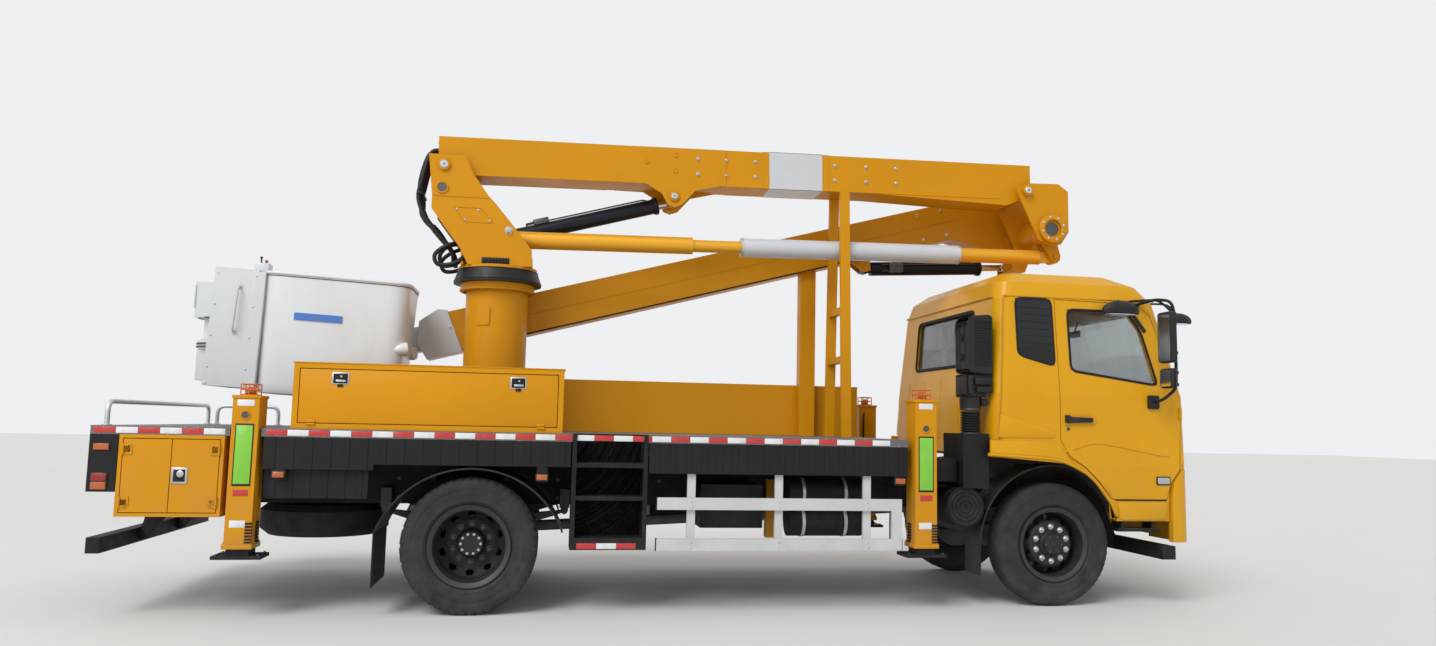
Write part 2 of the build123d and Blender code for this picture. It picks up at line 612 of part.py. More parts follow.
export_step(deck_toolboxes.part, "parts/deck_toolboxes.step")

HINGE_PROUD = 8
DROP_HINGE_Z = DECK_TOP + 36
for name, side, x_low, x_high, door_end in LOCKERS:
    left, right = x_low + LOCKER_FRAME + DOOR_GAP, door_end - LOCKER_FRAME - DOOR_GAP
    with BuildPart() as drop_door:
        low, high = span(side, LOCKER_FACE - LOCKER_WALL, LOCKER_FACE)
        block(
            left, right, low, high, DECK_TOP + LOCKER_FRAME + DOOR_GAP,
            LOCKER_TOP - LOCKER_FRAME - DOOR_GAP,
        )
        for x in (left + 90, right - 120):
            pin = side * (LOCKER_FACE + HINGE_PROUD)
            rod((x - 30, pin, DROP_HINGE_Z), (x + 30, pin, DROP_HINGE_Z), HINGE_PROUD - SEAT_GAP)
            leaf = span(side, LOCKER_FACE + SEAT_GAP, LOCKER_FACE + 6)
            block(x - 30, x + 30, *leaf, DROP_HINGE_Z, DROP_HINGE_Z + 34)
            block(
                x - 30, x + 30, *span(side, LOCKER_FACE, LOCKER_FACE + 6), DROP_HINGE_Z + 12,
                DROP_HINGE_Z + 34,
            )
        for x in (left + 110, right - 190):
            block(
                x - 55, x + 55, *span(side, LOCKER_FACE, LOCKER_FACE + 8), LOCKER_TOP - 150,
                LOCKER_TOP - 60,
            )
    drop_door.part.label = f"toolbox_door_{name}"
    export_step(drop_door.part, f"parts/toolbox_door_{name}.step")

# Rear toolbox: slung under the deck's right edge, with a pair of doors hinged at its outer ends.
BOX_BOTTOM = 710
BOX_TOP = DECK_TOP - EDGE_DEPTH
BOX_FACE = DECK_HALF
BOX_DEPTH = DECK_HALF - TOOLBOX_INNER
BOX_WALL = 12
BOX_FRAME = 25
with BuildPart() as rear_toolbox:
    block(TOOLBOX_REAR, TOOLBOX_FRONT, -BOX_FACE, -BOX_FACE + BOX_DEPTH, BOX_BOTTOM, BOX_TOP)
    block(
        TOOLBOX_REAR + BOX_WALL, TOOLBOX_FRONT - BOX_WALL, -BOX_FACE + BOX_WALL,
        -BOX_FACE + BOX_DEPTH - BOX_WALL,
        BOX_BOTTOM + BOX_WALL, BOX_TOP - BOX_WALL, mode=Mode.SUBTRACT,
    )
    block(
        TOOLBOX_REAR + BOX_FRAME, TOOLBOX_FRONT - BOX_FRAME, -BOX_FACE, -BOX_FACE + BOX_WALL,
        BOX_BOTTOM + BOX_FRAME, BOX_TOP - BOX_FRAME, mode=Mode.SUBTRACT,
    )
rear_toolbox.part.label = "rear_toolbox"
export_step(rear_toolbox.part, "parts/rear_toolbox.step")

TOOLBOX_MIDDLE = (TOOLBOX_REAR + TOOLBOX_FRONT) / 2
# Each row is a door: its name, its hinge end and its meeting edge.
BOX_DOORS = (
    ("rear", TOOLBOX_REAR + BOX_FRAME + DOOR_GAP, TOOLBOX_MIDDLE - DOOR_GAP / 2),
    ("front", TOOLBOX_FRONT - BOX_FRAME - DOOR_GAP, TOOLBOX_MIDDLE + DOOR_GAP / 2),
)
for name, hinge_x, edge_x in BOX_DOORS:
    with BuildPart() as box_door:
        x_low, x_high = sorted((hinge_x, edge_x))
        block(
            x_low, x_high, -BOX_FACE, -BOX_FACE + BOX_WALL,
            BOX_BOTTOM + BOX_FRAME + DOOR_GAP, BOX_TOP - BOX_FRAME - DOOR_GAP,
        )
        inward = 1 if edge_x > hinge_x else -1
        pin_y = -BOX_FACE - HINGE_PROUD
        for z in (BOX_BOTTOM + 110, BOX_TOP - 110):
            rod((hinge_x, pin_y, z - 30), (hinge_x, pin_y, z + 30), HINGE_PROUD - SEAT_GAP)
            leaf = sorted((hinge_x, hinge_x + inward * 60))
            block(*leaf, -BOX_FACE - 5, -BOX_FACE, z - 30, z + 30)
    box_door.part.label = f"rear_toolbox_door_{name}"
    export_step(box_door.part, f"parts/rear_toolbox_door_{name}.step")

# Column, slewing cover and turntable.
with BuildPart() as column:
    rod((COLUMN_X, 0, SUBFRAME_TOP), (COLUMN_X, 0, COLUMN_TOP), COLUMN_RADIUS)
    rod((COLUMN_X, 0, COLUMN_TOP - 60), (COLUMN_X, 0, COLUMN_TOP), COLUMN_FLANGE_RADIUS)
column.part.label = "column"
export_step(column.part, "parts/column.step")

with BuildPart() as slewing_cover:
    with BuildSketch(Plane.XZ) as ring:
        with BuildLine():
            Polyline(
                (COLUMN_X, COLUMN_TOP), (COLUMN_X + COVER_RADIUS, COLUMN_TOP),
                (COLUMN_X + COVER_RADIUS, COLUMN_TOP + 20), (COLUMN_X + COVER_RADIUS - 35, TURRET_BASE),
                (COLUMN_X, TURRET_BASE), close=True,
            )
        make_face()
    revolve(ring.sketch, axis=Axis((COLUMN_X, 0, 0), (0, 0, 1)))
slewing_cover.part.label = "slewing_cover"
export_step(slewing_cover.part, "parts/slewing_cover.step")

# Turntable: two shaped side plates on a round base, tied by webs, with the pins of the booms.
LIFT_PIN_X = RA + 150
LIFT_PIN_Z = 3050
LIFT_Y = 95
ROD_REAR_X = SHOULDER_X + ROD_OFFSET_X
ROD_REAR_Z = SHOULDER_Z + ROD_OFFSET_Z
PIN_RADIUS = 30
TURRET_OUTLINE = [
    (RA + 360, TURRET_BASE + 20), (RA + 350, 2890), (RA + 140, 3150), (RA + 20, 3290), (RA - 30, 3340),
    (RA - 160, 3520), (RA - 240, 3680), (RA - 540, 3680), (RA - 500, 3320), (RA - 500, 3210),
    (RA - 250, 2880), (RA - 180, TURRET_BASE + 20),
]
with BuildPart() as turntable:
    rod((COLUMN_X, 0, TURRET_BASE), (COLUMN_X, 0, TURRET_BASE + 25), 335)
    for side in (-1, 1):
        plate(TURRET_OUTLINE, *span(side, TURRET_HALF - TURRET_PLATE, TURRET_HALF))
        pin = span(side, TURRET_HALF - 4, TURRET_HALF + 14)
        cross_pin(SHOULDER_X, SHOULDER_Z, 44, *pin)
    inner = TURRET_HALF - TURRET_PLATE
    cross_pin(SHOULDER_X, SHOULDER_Z, PIN_RADIUS, -inner, inner)
    plate(
        [(RA + 330, TURRET_BASE + 20), (RA + 350, TURRET_BASE + 20), (RA + 342, 2890), (RA + 322, 2890)],
        -inner, inner,
    )
    plate([(RA - 490, 3215), (RA - 240, 2885), (RA - 225, 2897), (RA - 475, 3227)], -inner, inner)
    plate(
        [(RA - 240, TURRET_BASE + 20), (RA - 220, TURRET_BASE + 20), (RA - 225, 2897), (RA - 245, 2897)],
        -inner, inner,
    )
    cross_pin(ROD_REAR_X, ROD_REAR_Z, 34, -inner, ROD_Y - 55)
    cross_pin(ROD_REAR_X, ROD_REAR_Z, 25, ROD_Y - 56, ROD_Y + 56)
    cross_pin(LIFT_PIN_X, LIFT_PIN_Z, 34, LIFT_Y + 55, inner)
    cross_pin(LIFT_PIN_X, LIFT_PIN_Z, 25, LIFT_Y - 50, LIFT_Y + 56)
turntable.part.label = "turntable"
export_step(turntable.part, "parts/turntable.step")


def along(angle, origin_x, origin_z, y):
    """A plane whose X runs along a member at an angle and whose Y is its upper side."""
    slope = radians(angle)
    return Plane(origin=(origin_x, y, origin_z), x_dir=(cos(slope), 0, sin(slope)), z_dir=(0, -1, 0))


def member(angle, origin_x, origin_z, y_low, y_high, points, mode=Mode.ADD):
    """A plate whose outline is given along and across a sloping member."""
    with BuildSketch(along(angle, origin_x, origin_z, y_high)) as face:
        with BuildLine():
            Polyline(*points, close=True)
        make_face()
    extrude(face.sketch, amount=y_high - y_low, mode=mode)


# Lower boom: a box section from the shoulder pin to the elbow pin, with the lift cylinder's lugs.
LIFT_EYE_ALONG = 1988
LIFT_EYE_BELOW = 174
LOWER_REAR = -60
LOWER_FRONT = 85
GUSSET = [
    (1480, -LOWER_BOOM_BELOW + 60), (1480, -LOWER_BOOM_BELOW), (1740, -LOWER_BOOM_BELOW - 5),
    (1880, -LOWER_BOOM_BELOW - 90), (1930, -LIFT_EYE_BELOW - 75), (1990, -LIFT_EYE_BELOW - 95),
    (2060, -LIFT_EYE_BELOW - 70), (2180, -LOWER_BOOM_BELOW - 50),
    (2400, -LOWER_BOOM_BELOW), (2400, -LOWER_BOOM_BELOW + 60),
]
half = LOWER_BOOM_WIDTH / 2
with BuildPart() as lower_boom:
    outline = [
        (LOWER_REAR, -LOWER_BOOM_BELOW), (LOWER_REAR, LOWER_BOOM_ABOVE),
        (LOWER_BOOM_LENGTH + LOWER_FRONT, LOWER_BOOM_ABOVE), (LOWER_BOOM_LENGTH + LOWER_FRONT, 40),
        (LOWER_BOOM_LENGTH, -60), (LOWER_BOOM_LENGTH - 160, -LOWER_BOOM_BELOW - 60),
        (3750, -LOWER_BOOM_BELOW),
    ]
    member(LOWER_BOOM_ANGLE, SHOULDER_X, SHOULDER_Z, -half, half, outline)
    bore = [
        (150, -LOWER_BOOM_BELOW + BOOM_WALL), (150, LOWER_BOOM_ABOVE - BOOM_WALL),
        (LOWER_BOOM_LENGTH - 150, LOWER_BOOM_ABOVE - BOOM_WALL),
        (LOWER_BOOM_LENGTH - 150, -LOWER_BOOM_BELOW + BOOM_WALL),
    ]
    member(
        LOWER_BOOM_ANGLE, SHOULDER_X, SHOULDER_Z, -half + BOOM_WALL, half - BOOM_WALL, bore,
        mode=Mode.SUBTRACT,
    )
    for side in (-1, 1):
        low, high = span(side, half - BOOM_WALL, half + 8)
        member(LOWER_BOOM_ANGLE, SHOULDER_X, SHOULDER_Z, low, high, GUSSET)
        cross_pin(SHOULDER_X, SHOULDER_Z, 52, *span(side, half - 5, TURRET_HALF - TURRET_PLATE - DOOR_GAP))
        cross_pin(ELBOW_X, ELBOW_Z, 52, *span(side, half - 5, ELBOW_HALF - ELBOW_PLATE - DOOR_GAP))
    reach = hypot(LIFT_EYE_ALONG, LIFT_EYE_BELOW)
    lift_eye_angle = LOWER_BOOM_ANGLE - degrees(atan2(LIFT_EYE_BELOW, LIFT_EYE_ALONG))
    LIFT_EYE_X = SHOULDER_X + reach * cos(radians(lift_eye_angle))
    LIFT_EYE_Z = SHOULDER_Z + reach * sin(radians(lift_eye_angle))
    cross_pin(LIFT_EYE_X, LIFT_EYE_Z, 30, -half - 20, LIFT_Y - 55)
    cross_pin(LIFT_EYE_X, LIFT_EYE_Z, 30, LIFT_Y + 55, half + 20)
    for x, z in ((SHOULDER_X, SHOULDER_Z), (ELBOW_X, ELBOW_Z)):
        cross_pin(x, z, PIN_RADIUS + PIN_GAP, -ELBOW_HALF, ELBOW_HALF, mode=Mode.SUBTRACT)
lower_boom.part.label = "lower_boom"
export_step(lower_boom.part, "parts/lower_boom.step")

# Levelling rod: parallel to the lower boom, with a thicker insulating bar in its middle.
ROD_FRONT_X = ELBOW_X + ROD_OFFSET_X
ROD_FRONT_Z = ELBOW_Z + ROD_OFFSET_Z
ROD_EYE = 62
ROD_EYE_HALF = 48


def on_rod(distance):
    """A point on the levelling rod's axis."""
    slope = radians(LOWER_BOOM_ANGLE)
    return (ROD_REAR_X + distance * cos(slope), ROD_Y, ROD_REAR_Z + distance * sin(slope))


# Each row is a stretch of the rod: where it starts and ends, and its radius.
ROD_STRETCHES = ((0, 1830, 76), (1830, 2280, 55), (2280, 4370, 84), (4370, LOWER_BOOM_LENGTH, 68))
with BuildPart() as levelling_rod:
    for start, end, radius in ROD_STRETCHES:
        rod(on_rod(max(start, 1)), on_rod(end), radius)
    for distance, pin_x, pin_z in (
        (0, ROD_REAR_X, ROD_REAR_Z), (LOWER_BOOM_LENGTH, ROD_FRONT_X, ROD_FRONT_Z),
    ):
        cross_pin(pin_x, pin_z, 150, ROD_Y - 100, ROD_Y + 100, mode=Mode.SUBTRACT)
        toward = 1 if distance == 0 else -1
        cross_pin(pin_x, pin_z, ROD_EYE, ROD_Y - ROD_EYE_HALF, ROD_Y + ROD_EYE_HALF)
        member(
            LOWER_BOOM_ANGLE, pin_x, pin_z, ROD_Y - 30, ROD_Y + 30,
            [(0, -50), (toward * 160, -50), (toward * 160, 50), (0, 50)],
        )
        cross_pin(pin_x, pin_z, 25 + PIN_GAP, ROD_Y - 60, ROD_Y + 60, mode=Mode.SUBTRACT)
levelling_rod.part.label = "levelling_rod"
export_step(levelling_rod.part, "parts/levelling_rod.step")

# Elbow: two cheek plates tied by the upper boom's hinge tube.
HINGE_TUBE = 118
HINGE_SLEEVE = 88
HINGE_BORE = 66
UPPER_CYL_REAR_BACK = 1597
UPPER_CYL_REAR_DROP = 341
UPPER_CYL_X = HINGE_X - 107
UPPER_CYL_Z = HINGE_Z - 258
ELBOW_OUTLINE = [
    (-90, -10), (-90, 30), (25, 80), (325, 90), (425, 20), (425, -370),
    (345, -490), (HINGE_X - ELBOW_X, -510),
    (120, -460),
]
with BuildPart() as elbow:
    for side in (-1, 1):
        low, high = span(side, ELBOW_HALF - ELBOW_PLATE, ELBOW_HALF)
        plate([(ELBOW_X + x, ELBOW_Z + z) for x, z in ELBOW_OUTLINE], low, high)
        cross_pin(ELBOW_X, ELBOW_Z, 42, *span(side, ELBOW_HALF, ELBOW_HALF + 14))
    inner = ELBOW_HALF - ELBOW_PLATE
    cross_pin(ELBOW_X, ELBOW_Z, PIN_RADIUS, -inner, inner)
    boom_out = UPPER_BOOM_Y + UPPER_BOOM_WIDTH / 2
    cross_pin(HINGE_X, HINGE_Z, HINGE_TUBE, -inner, ELBOW_HALF)
    cross_pin(HINGE_X, HINGE_Z, HINGE_TUBE, ELBOW_HALF + SEAT_GAP, ELBOW_HALF + 40)
    cross_pin(HINGE_X, HINGE_Z, HINGE_SLEEVE, ELBOW_HALF + SEAT_GAP, boom_out + 20)
    cross_pin(HINGE_X, HINGE_Z, HINGE_TUBE + 12, -ELBOW_HALF - 12, -ELBOW_HALF)
    plate(
        [
            (ELBOW_X + 395, ELBOW_Z + 20), (ELBOW_X + 415, ELBOW_Z + 20), (ELBOW_X + 415, ELBOW_Z - 360),
            (ELBOW_X + 395, ELBOW_Z - 360),
        ],
        -inner,
        inner,
    )
    for y_low, y_high in ((ROD_Y - 75, ROD_Y - 53), (ROD_Y + 53, ROD_Y + 75)):
        plate(
            [
                (HINGE_X - 60, HINGE_Z - 60), (HINGE_X + 100, HINGE_Z - 40),
                (ROD_FRONT_X + 52, ROD_FRONT_Z + 10),
                (ROD_FRONT_X + 45, ROD_FRONT_Z - 35), (ROD_FRONT_X, ROD_FRONT_Z - 55),
                (ROD_FRONT_X - 45, ROD_FRONT_Z - 35),
            ],
            y_low,
            y_high,
        )
    cross_pin(ROD_FRONT_X, ROD_FRONT_Z, 25, ROD_Y - 90, ROD_Y + 90)
    plate(
        [
            (HINGE_X - 60, HINGE_Z - 60), (HINGE_X + 90, HINGE_Z - 60),
            (UPPER_CYL_X + 80, UPPER_CYL_Z - 82),
            (UPPER_CYL_X - 45, UPPER_CYL_Z - 82), (UPPER_CYL_X - 45, UPPER_CYL_Z + 30),
        ],
        ELBOW_HALF - ELBOW_PLATE,
        ELBOW_HALF,
    )
    block(
        UPPER_CYL_X - 45, UPPER_CYL_X + 80, ELBOW_HALF + SEAT_GAP, UPPER_BOOM_Y + 75,
        UPPER_CYL_Z - 82, UPPER_CYL_Z - 62 - SEAT_GAP,
    )
    for y_low, y_high in ((UPPER_BOOM_Y - 75, UPPER_BOOM_Y - 55), (UPPER_BOOM_Y + 55, UPPER_BOOM_Y + 75)):
        plate(
            [
                (UPPER_CYL_X - 45, UPPER_CYL_Z - 62), (UPPER_CYL_X + 76, UPPER_CYL_Z - 62),
                (UPPER_CYL_X + 60, UPPER_CYL_Z + 20), (UPPER_CYL_X + 20, UPPER_CYL_Z + 45),
                (UPPER_CYL_X - 45, UPPER_CYL_Z + 30),
            ],
            y_low,
            y_high,
        )
    cross_pin(HINGE_X, HINGE_Z, HINGE_BORE, -ELBOW_HALF - 40, boom_out + 40, mode=Mode.SUBTRACT)
elbow.part.label = "elbow"
export_step(elbow.part, "parts/elbow.step")

# Upper boom: a box section that folds back beside the column, hung on the elbow's tube.
# Its outline is given from the hinge, back along the boom and up across it. A slot under the hub
# leaves room for the folding cylinder's rod when the boom is raised. The box is welded to the hub.
UPPER_IN = UPPER_BOOM_Y - UPPER_BOOM_WIDTH / 2
UPPER_OUT = UPPER_BOOM_Y + UPPER_BOOM_WIDTH / 2
UPPER_LOW = UPPER_BOOM_RISE - UPPER_BOOM_DEPTH / 2
UPPER_HIGH = UPPER_BOOM_RISE + UPPER_BOOM_DEPTH / 2
UPPER_WALL = 14
HUB_RADIUS = 150
HUB_LENGTH = 900
SLOT_HALF = 60
with BuildPart() as upper_boom:
    outline = [
        (-UPPER_BOOM_REACH, UPPER_LOW), (-700, UPPER_LOW), (-430, 20), (-120, -90), (60, -60), (140, 60),
        (60, UPPER_HIGH - 60), (-60, UPPER_HIGH), (-UPPER_BOOM_REACH, UPPER_HIGH),
    ]
    member(UPPER_BOOM_ANGLE, HINGE_X, HINGE_Z, UPPER_IN, UPPER_OUT, outline)
    cross_pin(HINGE_X, HINGE_Z, HUB_RADIUS, UPPER_IN, UPPER_OUT)
    hollow = [
        (-UPPER_BOOM_REACH, UPPER_LOW + UPPER_WALL), (-HUB_LENGTH, UPPER_LOW + UPPER_WALL),
        (-HUB_LENGTH, UPPER_HIGH - UPPER_WALL), (-UPPER_BOOM_REACH, UPPER_HIGH - UPPER_WALL),
    ]
    member(
        UPPER_BOOM_ANGLE, HINGE_X, HINGE_Z, UPPER_IN + UPPER_WALL, UPPER_OUT - UPPER_WALL, hollow,
        mode=Mode.SUBTRACT,
    )
    slope = radians(UPPER_BOOM_ANGLE)
    lug_x, lug_z = HINGE_X - UPPER_CYL_REAR_BACK, HINGE_Z - UPPER_CYL_REAR_DROP
    lug_s = -UPPER_CYL_REAR_BACK * cos(slope) - UPPER_CYL_REAR_DROP * sin(slope)
    lug_h = UPPER_CYL_REAR_BACK * sin(slope) - UPPER_CYL_REAR_DROP * cos(slope)
    for y_low, y_high in ((UPPER_BOOM_Y - 72, UPPER_BOOM_Y - 55), (UPPER_BOOM_Y + 55, UPPER_BOOM_Y + 72)):
        member(
            UPPER_BOOM_ANGLE, HINGE_X, HINGE_Z, y_low, y_high,
            [
                (lug_s - 130, UPPER_LOW - SEAT_GAP), (lug_s - 40, lug_h - 35), (lug_s + 40, lug_h - 35),
                (lug_s + 60, UPPER_LOW - SEAT_GAP),
            ],
        )
    cross_pin(lug_x, lug_z, 25, UPPER_BOOM_Y - 85, UPPER_BOOM_Y + 85)
    member(
        UPPER_BOOM_ANGLE, HINGE_X, HINGE_Z, UPPER_BOOM_Y - SLOT_HALF, UPPER_BOOM_Y + SLOT_HALF,
        [(-700, -3), (300, -140), (300, -400), (-700, -400)], mode=Mode.SUBTRACT,
    )
    cross_pin(HINGE_X, HINGE_Z, HINGE_SLEEVE + PIN_GAP, UPPER_IN - 5, UPPER_OUT + 5, mode=Mode.SUBTRACT)
    member(
        UPPER_BOOM_ANGLE, HINGE_X, HINGE_Z, UPPER_IN - 5, UPPER_OUT + 5,
        [
            (-HUB_LENGTH - SEAT_GAP, UPPER_LOW - 5), (-HUB_LENGTH, UPPER_LOW - 5),
            (-HUB_LENGTH, UPPER_HIGH + 5), (-HUB_LENGTH - SEAT_GAP, UPPER_HIGH + 5),
        ],
        mode=Mode.SUBTRACT,
    )
upper_boom.part.label = "upper_boom"
export_step(upper_boom.part, "parts/upper_boom.step")

# Boom tip: the inner boom that carries the basket, and the white cover round the outer boom's end.
INNER_DEPTH = 220
INNER_WIDTH = 180
COVER_PROUD = 14
with BuildPart() as boom_tip:
    middle = UPPER_BOOM_RISE
    member(
        UPPER_BOOM_ANGLE, HINGE_X, HINGE_Z, UPPER_IN - COVER_PROUD, UPPER_OUT + COVER_PROUD,
        [
            (-5610, UPPER_HIGH + COVER_PROUD), (-5690, UPPER_HIGH + 40), (-5870, UPPER_HIGH - 30),
            (-5930, middle - 40), (-5880, UPPER_LOW - COVER_PROUD), (-5560, UPPER_LOW - COVER_PROUD),
        ],
    )
    member(
        UPPER_BOOM_ANGLE, HINGE_X, HINGE_Z, UPPER_IN - SEAT_GAP, UPPER_OUT + SEAT_GAP,
        [
            (-UPPER_BOOM_REACH - SEAT_GAP, UPPER_HIGH + SEAT_GAP), (-5000, UPPER_HIGH + SEAT_GAP),
            (-5000, UPPER_LOW - SEAT_GAP), (-UPPER_BOOM_REACH - SEAT_GAP, UPPER_LOW - SEAT_GAP),
        ],
        mode=Mode.SUBTRACT,
    )
    inner_half = INNER_WIDTH / 2
    member(
        UPPER_BOOM_ANGLE, HINGE_X, HINGE_Z, UPPER_BOOM_Y - inner_half, UPPER_BOOM_Y + inner_half,
        [
            (-5650, middle - INNER_DEPTH / 2), (-5650, middle + INNER_DEPTH / 2),
            (-BASKET_PIVOT_REACH + 60, middle + INNER_DEPTH / 2), (-BASKET_PIVOT_REACH - 60, middle + 60),
            (-BASKET_PIVOT_REACH - 60, middle - 60), (-BASKET_PIVOT_REACH + 60, middle - INNER_DEPTH / 2),
        ],
    )
    slope = radians(UPPER_BOOM_ANGLE)
    PIVOT_X = HINGE_X - BASKET_PIVOT_REACH * cos(slope) - middle * sin(slope)
    PIVOT_Z = HINGE_Z - BASKET_PIVOT_REACH * sin(slope) + middle * cos(slope)
    cross_pin(PIVOT_X, PIVOT_Z, PIN_RADIUS + PIN_GAP, UPPER_IN, UPPER_OUT, mode=Mode.SUBTRACT)
boom_tip.part.label = "boom_tip"
export_step(boom_tip.part, "parts/boom_tip.step")

# Basket: a moulded tub with a rim, pitched a little nose down.
BASKET_FRONT_X = RA - 620
BASKET_TOP_Z = 2535
BASKET_Y = -50
TUB_TAPER = 1.2
pitch = radians(BASKET_PITCH)
basket_top = Plane(
    origin=(BASKET_FRONT_X, BASKET_Y, BASKET_TOP_Z), x_dir=(cos(pitch), 0, -sin(pitch)),
    z_dir=(sin(pitch), 0, cos(pitch)),
)
with BuildPart() as basket:
    with BuildSketch(basket_top):
        with Locations((-BASKET_LENGTH / 2, 0)):
            RectangleRounded(BASKET_LENGTH, BASKET_WIDTH, 90)
    extrude(amount=-BASKET_HEIGHT, taper=TUB_TAPER)
    with BuildSketch(basket_top):
        with Locations((-BASKET_LENGTH / 2, 0)):
            RectangleRounded(BASKET_LENGTH - 2 * BASKET_WALL, BASKET_WIDTH - 2 * BASKET_WALL, 80)
    extrude(amount=-(BASKET_HEIGHT - 2 * BASKET_WALL), taper=TUB_TAPER, mode=Mode.SUBTRACT)
    with BuildSketch(basket_top.offset(-16)):
        with Locations((-BASKET_LENGTH / 2, 0)):
            RectangleRounded(BASKET_LENGTH + 24, BASKET_WIDTH + 24, 100)
            RectangleRounded(
                BASKET_LENGTH - 2 * BASKET_WALL, BASKET_WIDTH - 2 * BASKET_WALL, 80, mode=Mode.SUBTRACT,
            )
    extrude(amount=16)
basket.part.label = "basket"
export_step(basket.part, "parts/basket.step")

# Basket mount: cover box behind the tub, rotary actuator and the arm to the boom tip's pin.
MOUNT_FRONT = -BASKET_LENGTH - 12 - SEAT_GAP
MOUNT_REAR = MOUNT_FRONT - 330
MOUNT_WALL = 12
ACTUATOR_X = PIVOT_X - 165
with BuildPart() as basket_mount:
    with BuildSketch(basket_top):
        with Locations(((MOUNT_FRONT + MOUNT_REAR) / 2, 0)):
            Rectangle(MOUNT_FRONT - MOUNT_REAR, BASKET_WIDTH - 6)
    extrude(amount=-BASKET_HEIGHT + 30)
    with BuildSketch(basket_top.offset(-MOUNT_WALL)):
        with Locations(((MOUNT_FRONT + MOUNT_REAR) / 2, 0)):
            Rectangle(MOUNT_FRONT - MOUNT_REAR - 2 * MOUNT_WALL, BASKET_WIDTH - 6 - 2 * MOUNT_WALL)
    extrude(amount=-BASKET_HEIGHT, mode=Mode.SUBTRACT)
    block(ACTUATOR_X - 115, ACTUATOR_X + 165, BASKET_Y - 60, BASKET_Y + 170, 2220, 2515)
    rod((ACTUATOR_X, BASKET_Y + 50, 1990), (ACTUATOR_X, BASKET_Y + 50, 2225), 66)
    rod((ACTUATOR_X, BASKET_Y + 50, 1965), (ACTUATOR_X, BASKET_Y + 50, 2035), 108)
    block(ACTUATOR_X - 90, ACTUATOR_X + 30, BASKET_Y - 20, BASKET_Y + 120, 1860, 1970)
    block(ACTUATOR_X - 90, ACTUATOR_X + 10, BASKET_Y - 20, UPPER_OUT + 10, PIVOT_Z - 50, 1870)
    for y_low, y_high in (
        (UPPER_BOOM_Y - inner_half - 25, UPPER_BOOM_Y - inner_half - 5),
        (UPPER_BOOM_Y + inner_half + 5, UPPER_BOOM_Y + inner_half + 25),
    ):
        plate(
            [
                (ACTUATOR_X - 80, PIVOT_Z - 60), (PIVOT_X, PIVOT_Z - 60), (PIVOT_X + 50, PIVOT_Z),
                (PIVOT_X, PIVOT_Z + 60), (ACTUATOR_X - 80, PIVOT_Z + 100),
            ],
            y_low,
            y_high,
        )
    cross_pin(PIVOT_X, PIVOT_Z, PIN_RADIUS, UPPER_BOOM_Y - inner_half - 25, UPPER_BOOM_Y + inner_half + 25)
basket_mount.part.label = "basket_mount"
export_step(basket_mount.part, "parts/basket_mount.step")


def cylinder_axis(start_x, start_z, end_x, end_z):
    """The angle and length of a cylinder between its two pins."""
    return degrees(atan2(end_z - start_z, end_x - start_x)), hypot(end_x - start_x, end_z - start_z)


def point_on(start_x, start_z, angle, y, distance):
    slope = radians(angle)
    return (start_x + distance * cos(slope), y, start_z + distance * sin(slope))


# Cylinders: each row gives a name, its pins, its side place and its bore sizes.
lift_angle, lift_length = cylinder_axis(LIFT_PIN_X, LIFT_PIN_Z, LIFT_EYE_X, LIFT_EYE_Z)
fold_angle, fold_length = cylinder_axis(lug_x, lug_z, UPPER_CYL_X, UPPER_CYL_Z)
CYLINDERS = (
    ("lift", LIFT_PIN_X, LIFT_PIN_Z, lift_angle, lift_length, LIFT_Y, 68, 40, 130),
    ("fold", lug_x, lug_z, fold_angle, fold_length, UPPER_BOOM_Y, 68, 32, 280),
)
EYE_RADIUS = 52
for name, pin_x, pin_z, angle, length, y, barrel_radius, rod_radius, bare in CYLINDERS:
    def at(distance):
        return point_on(pin_x, pin_z, angle, y, distance)

    with BuildPart() as barrel:
        rod(at(60), at(length - bare), barrel_radius)
        rod(at(length - bare - 40), at(length - bare), barrel_radius + 8)
        cross_pin(pin_x, pin_z, EYE_RADIUS, y - 46, y + 46)
        rod(at(20), at(70), 40)
        rod(at(90), at(length - bare + 1), rod_radius + SEAT_GAP, mode=Mode.SUBTRACT)
        cross_pin(pin_x, pin_z, 25 + PIN_GAP, y - 60, y + 60, mode=Mode.SUBTRACT)
    barrel.part.label = f"{name}_barrel"
    export_step(barrel.part, f"parts/{name}_barrel.step")
    with BuildPart() as ram:
        rod(at(100), at(length - 20), rod_radius)
        eye = at(length)
        cross_pin(eye[0], eye[2], EYE_RADIUS, y - 50, y + 50)
    ram.part.label = f"{name}_ram"
    export_step(ram.part, f"parts/{name}_ram.step")

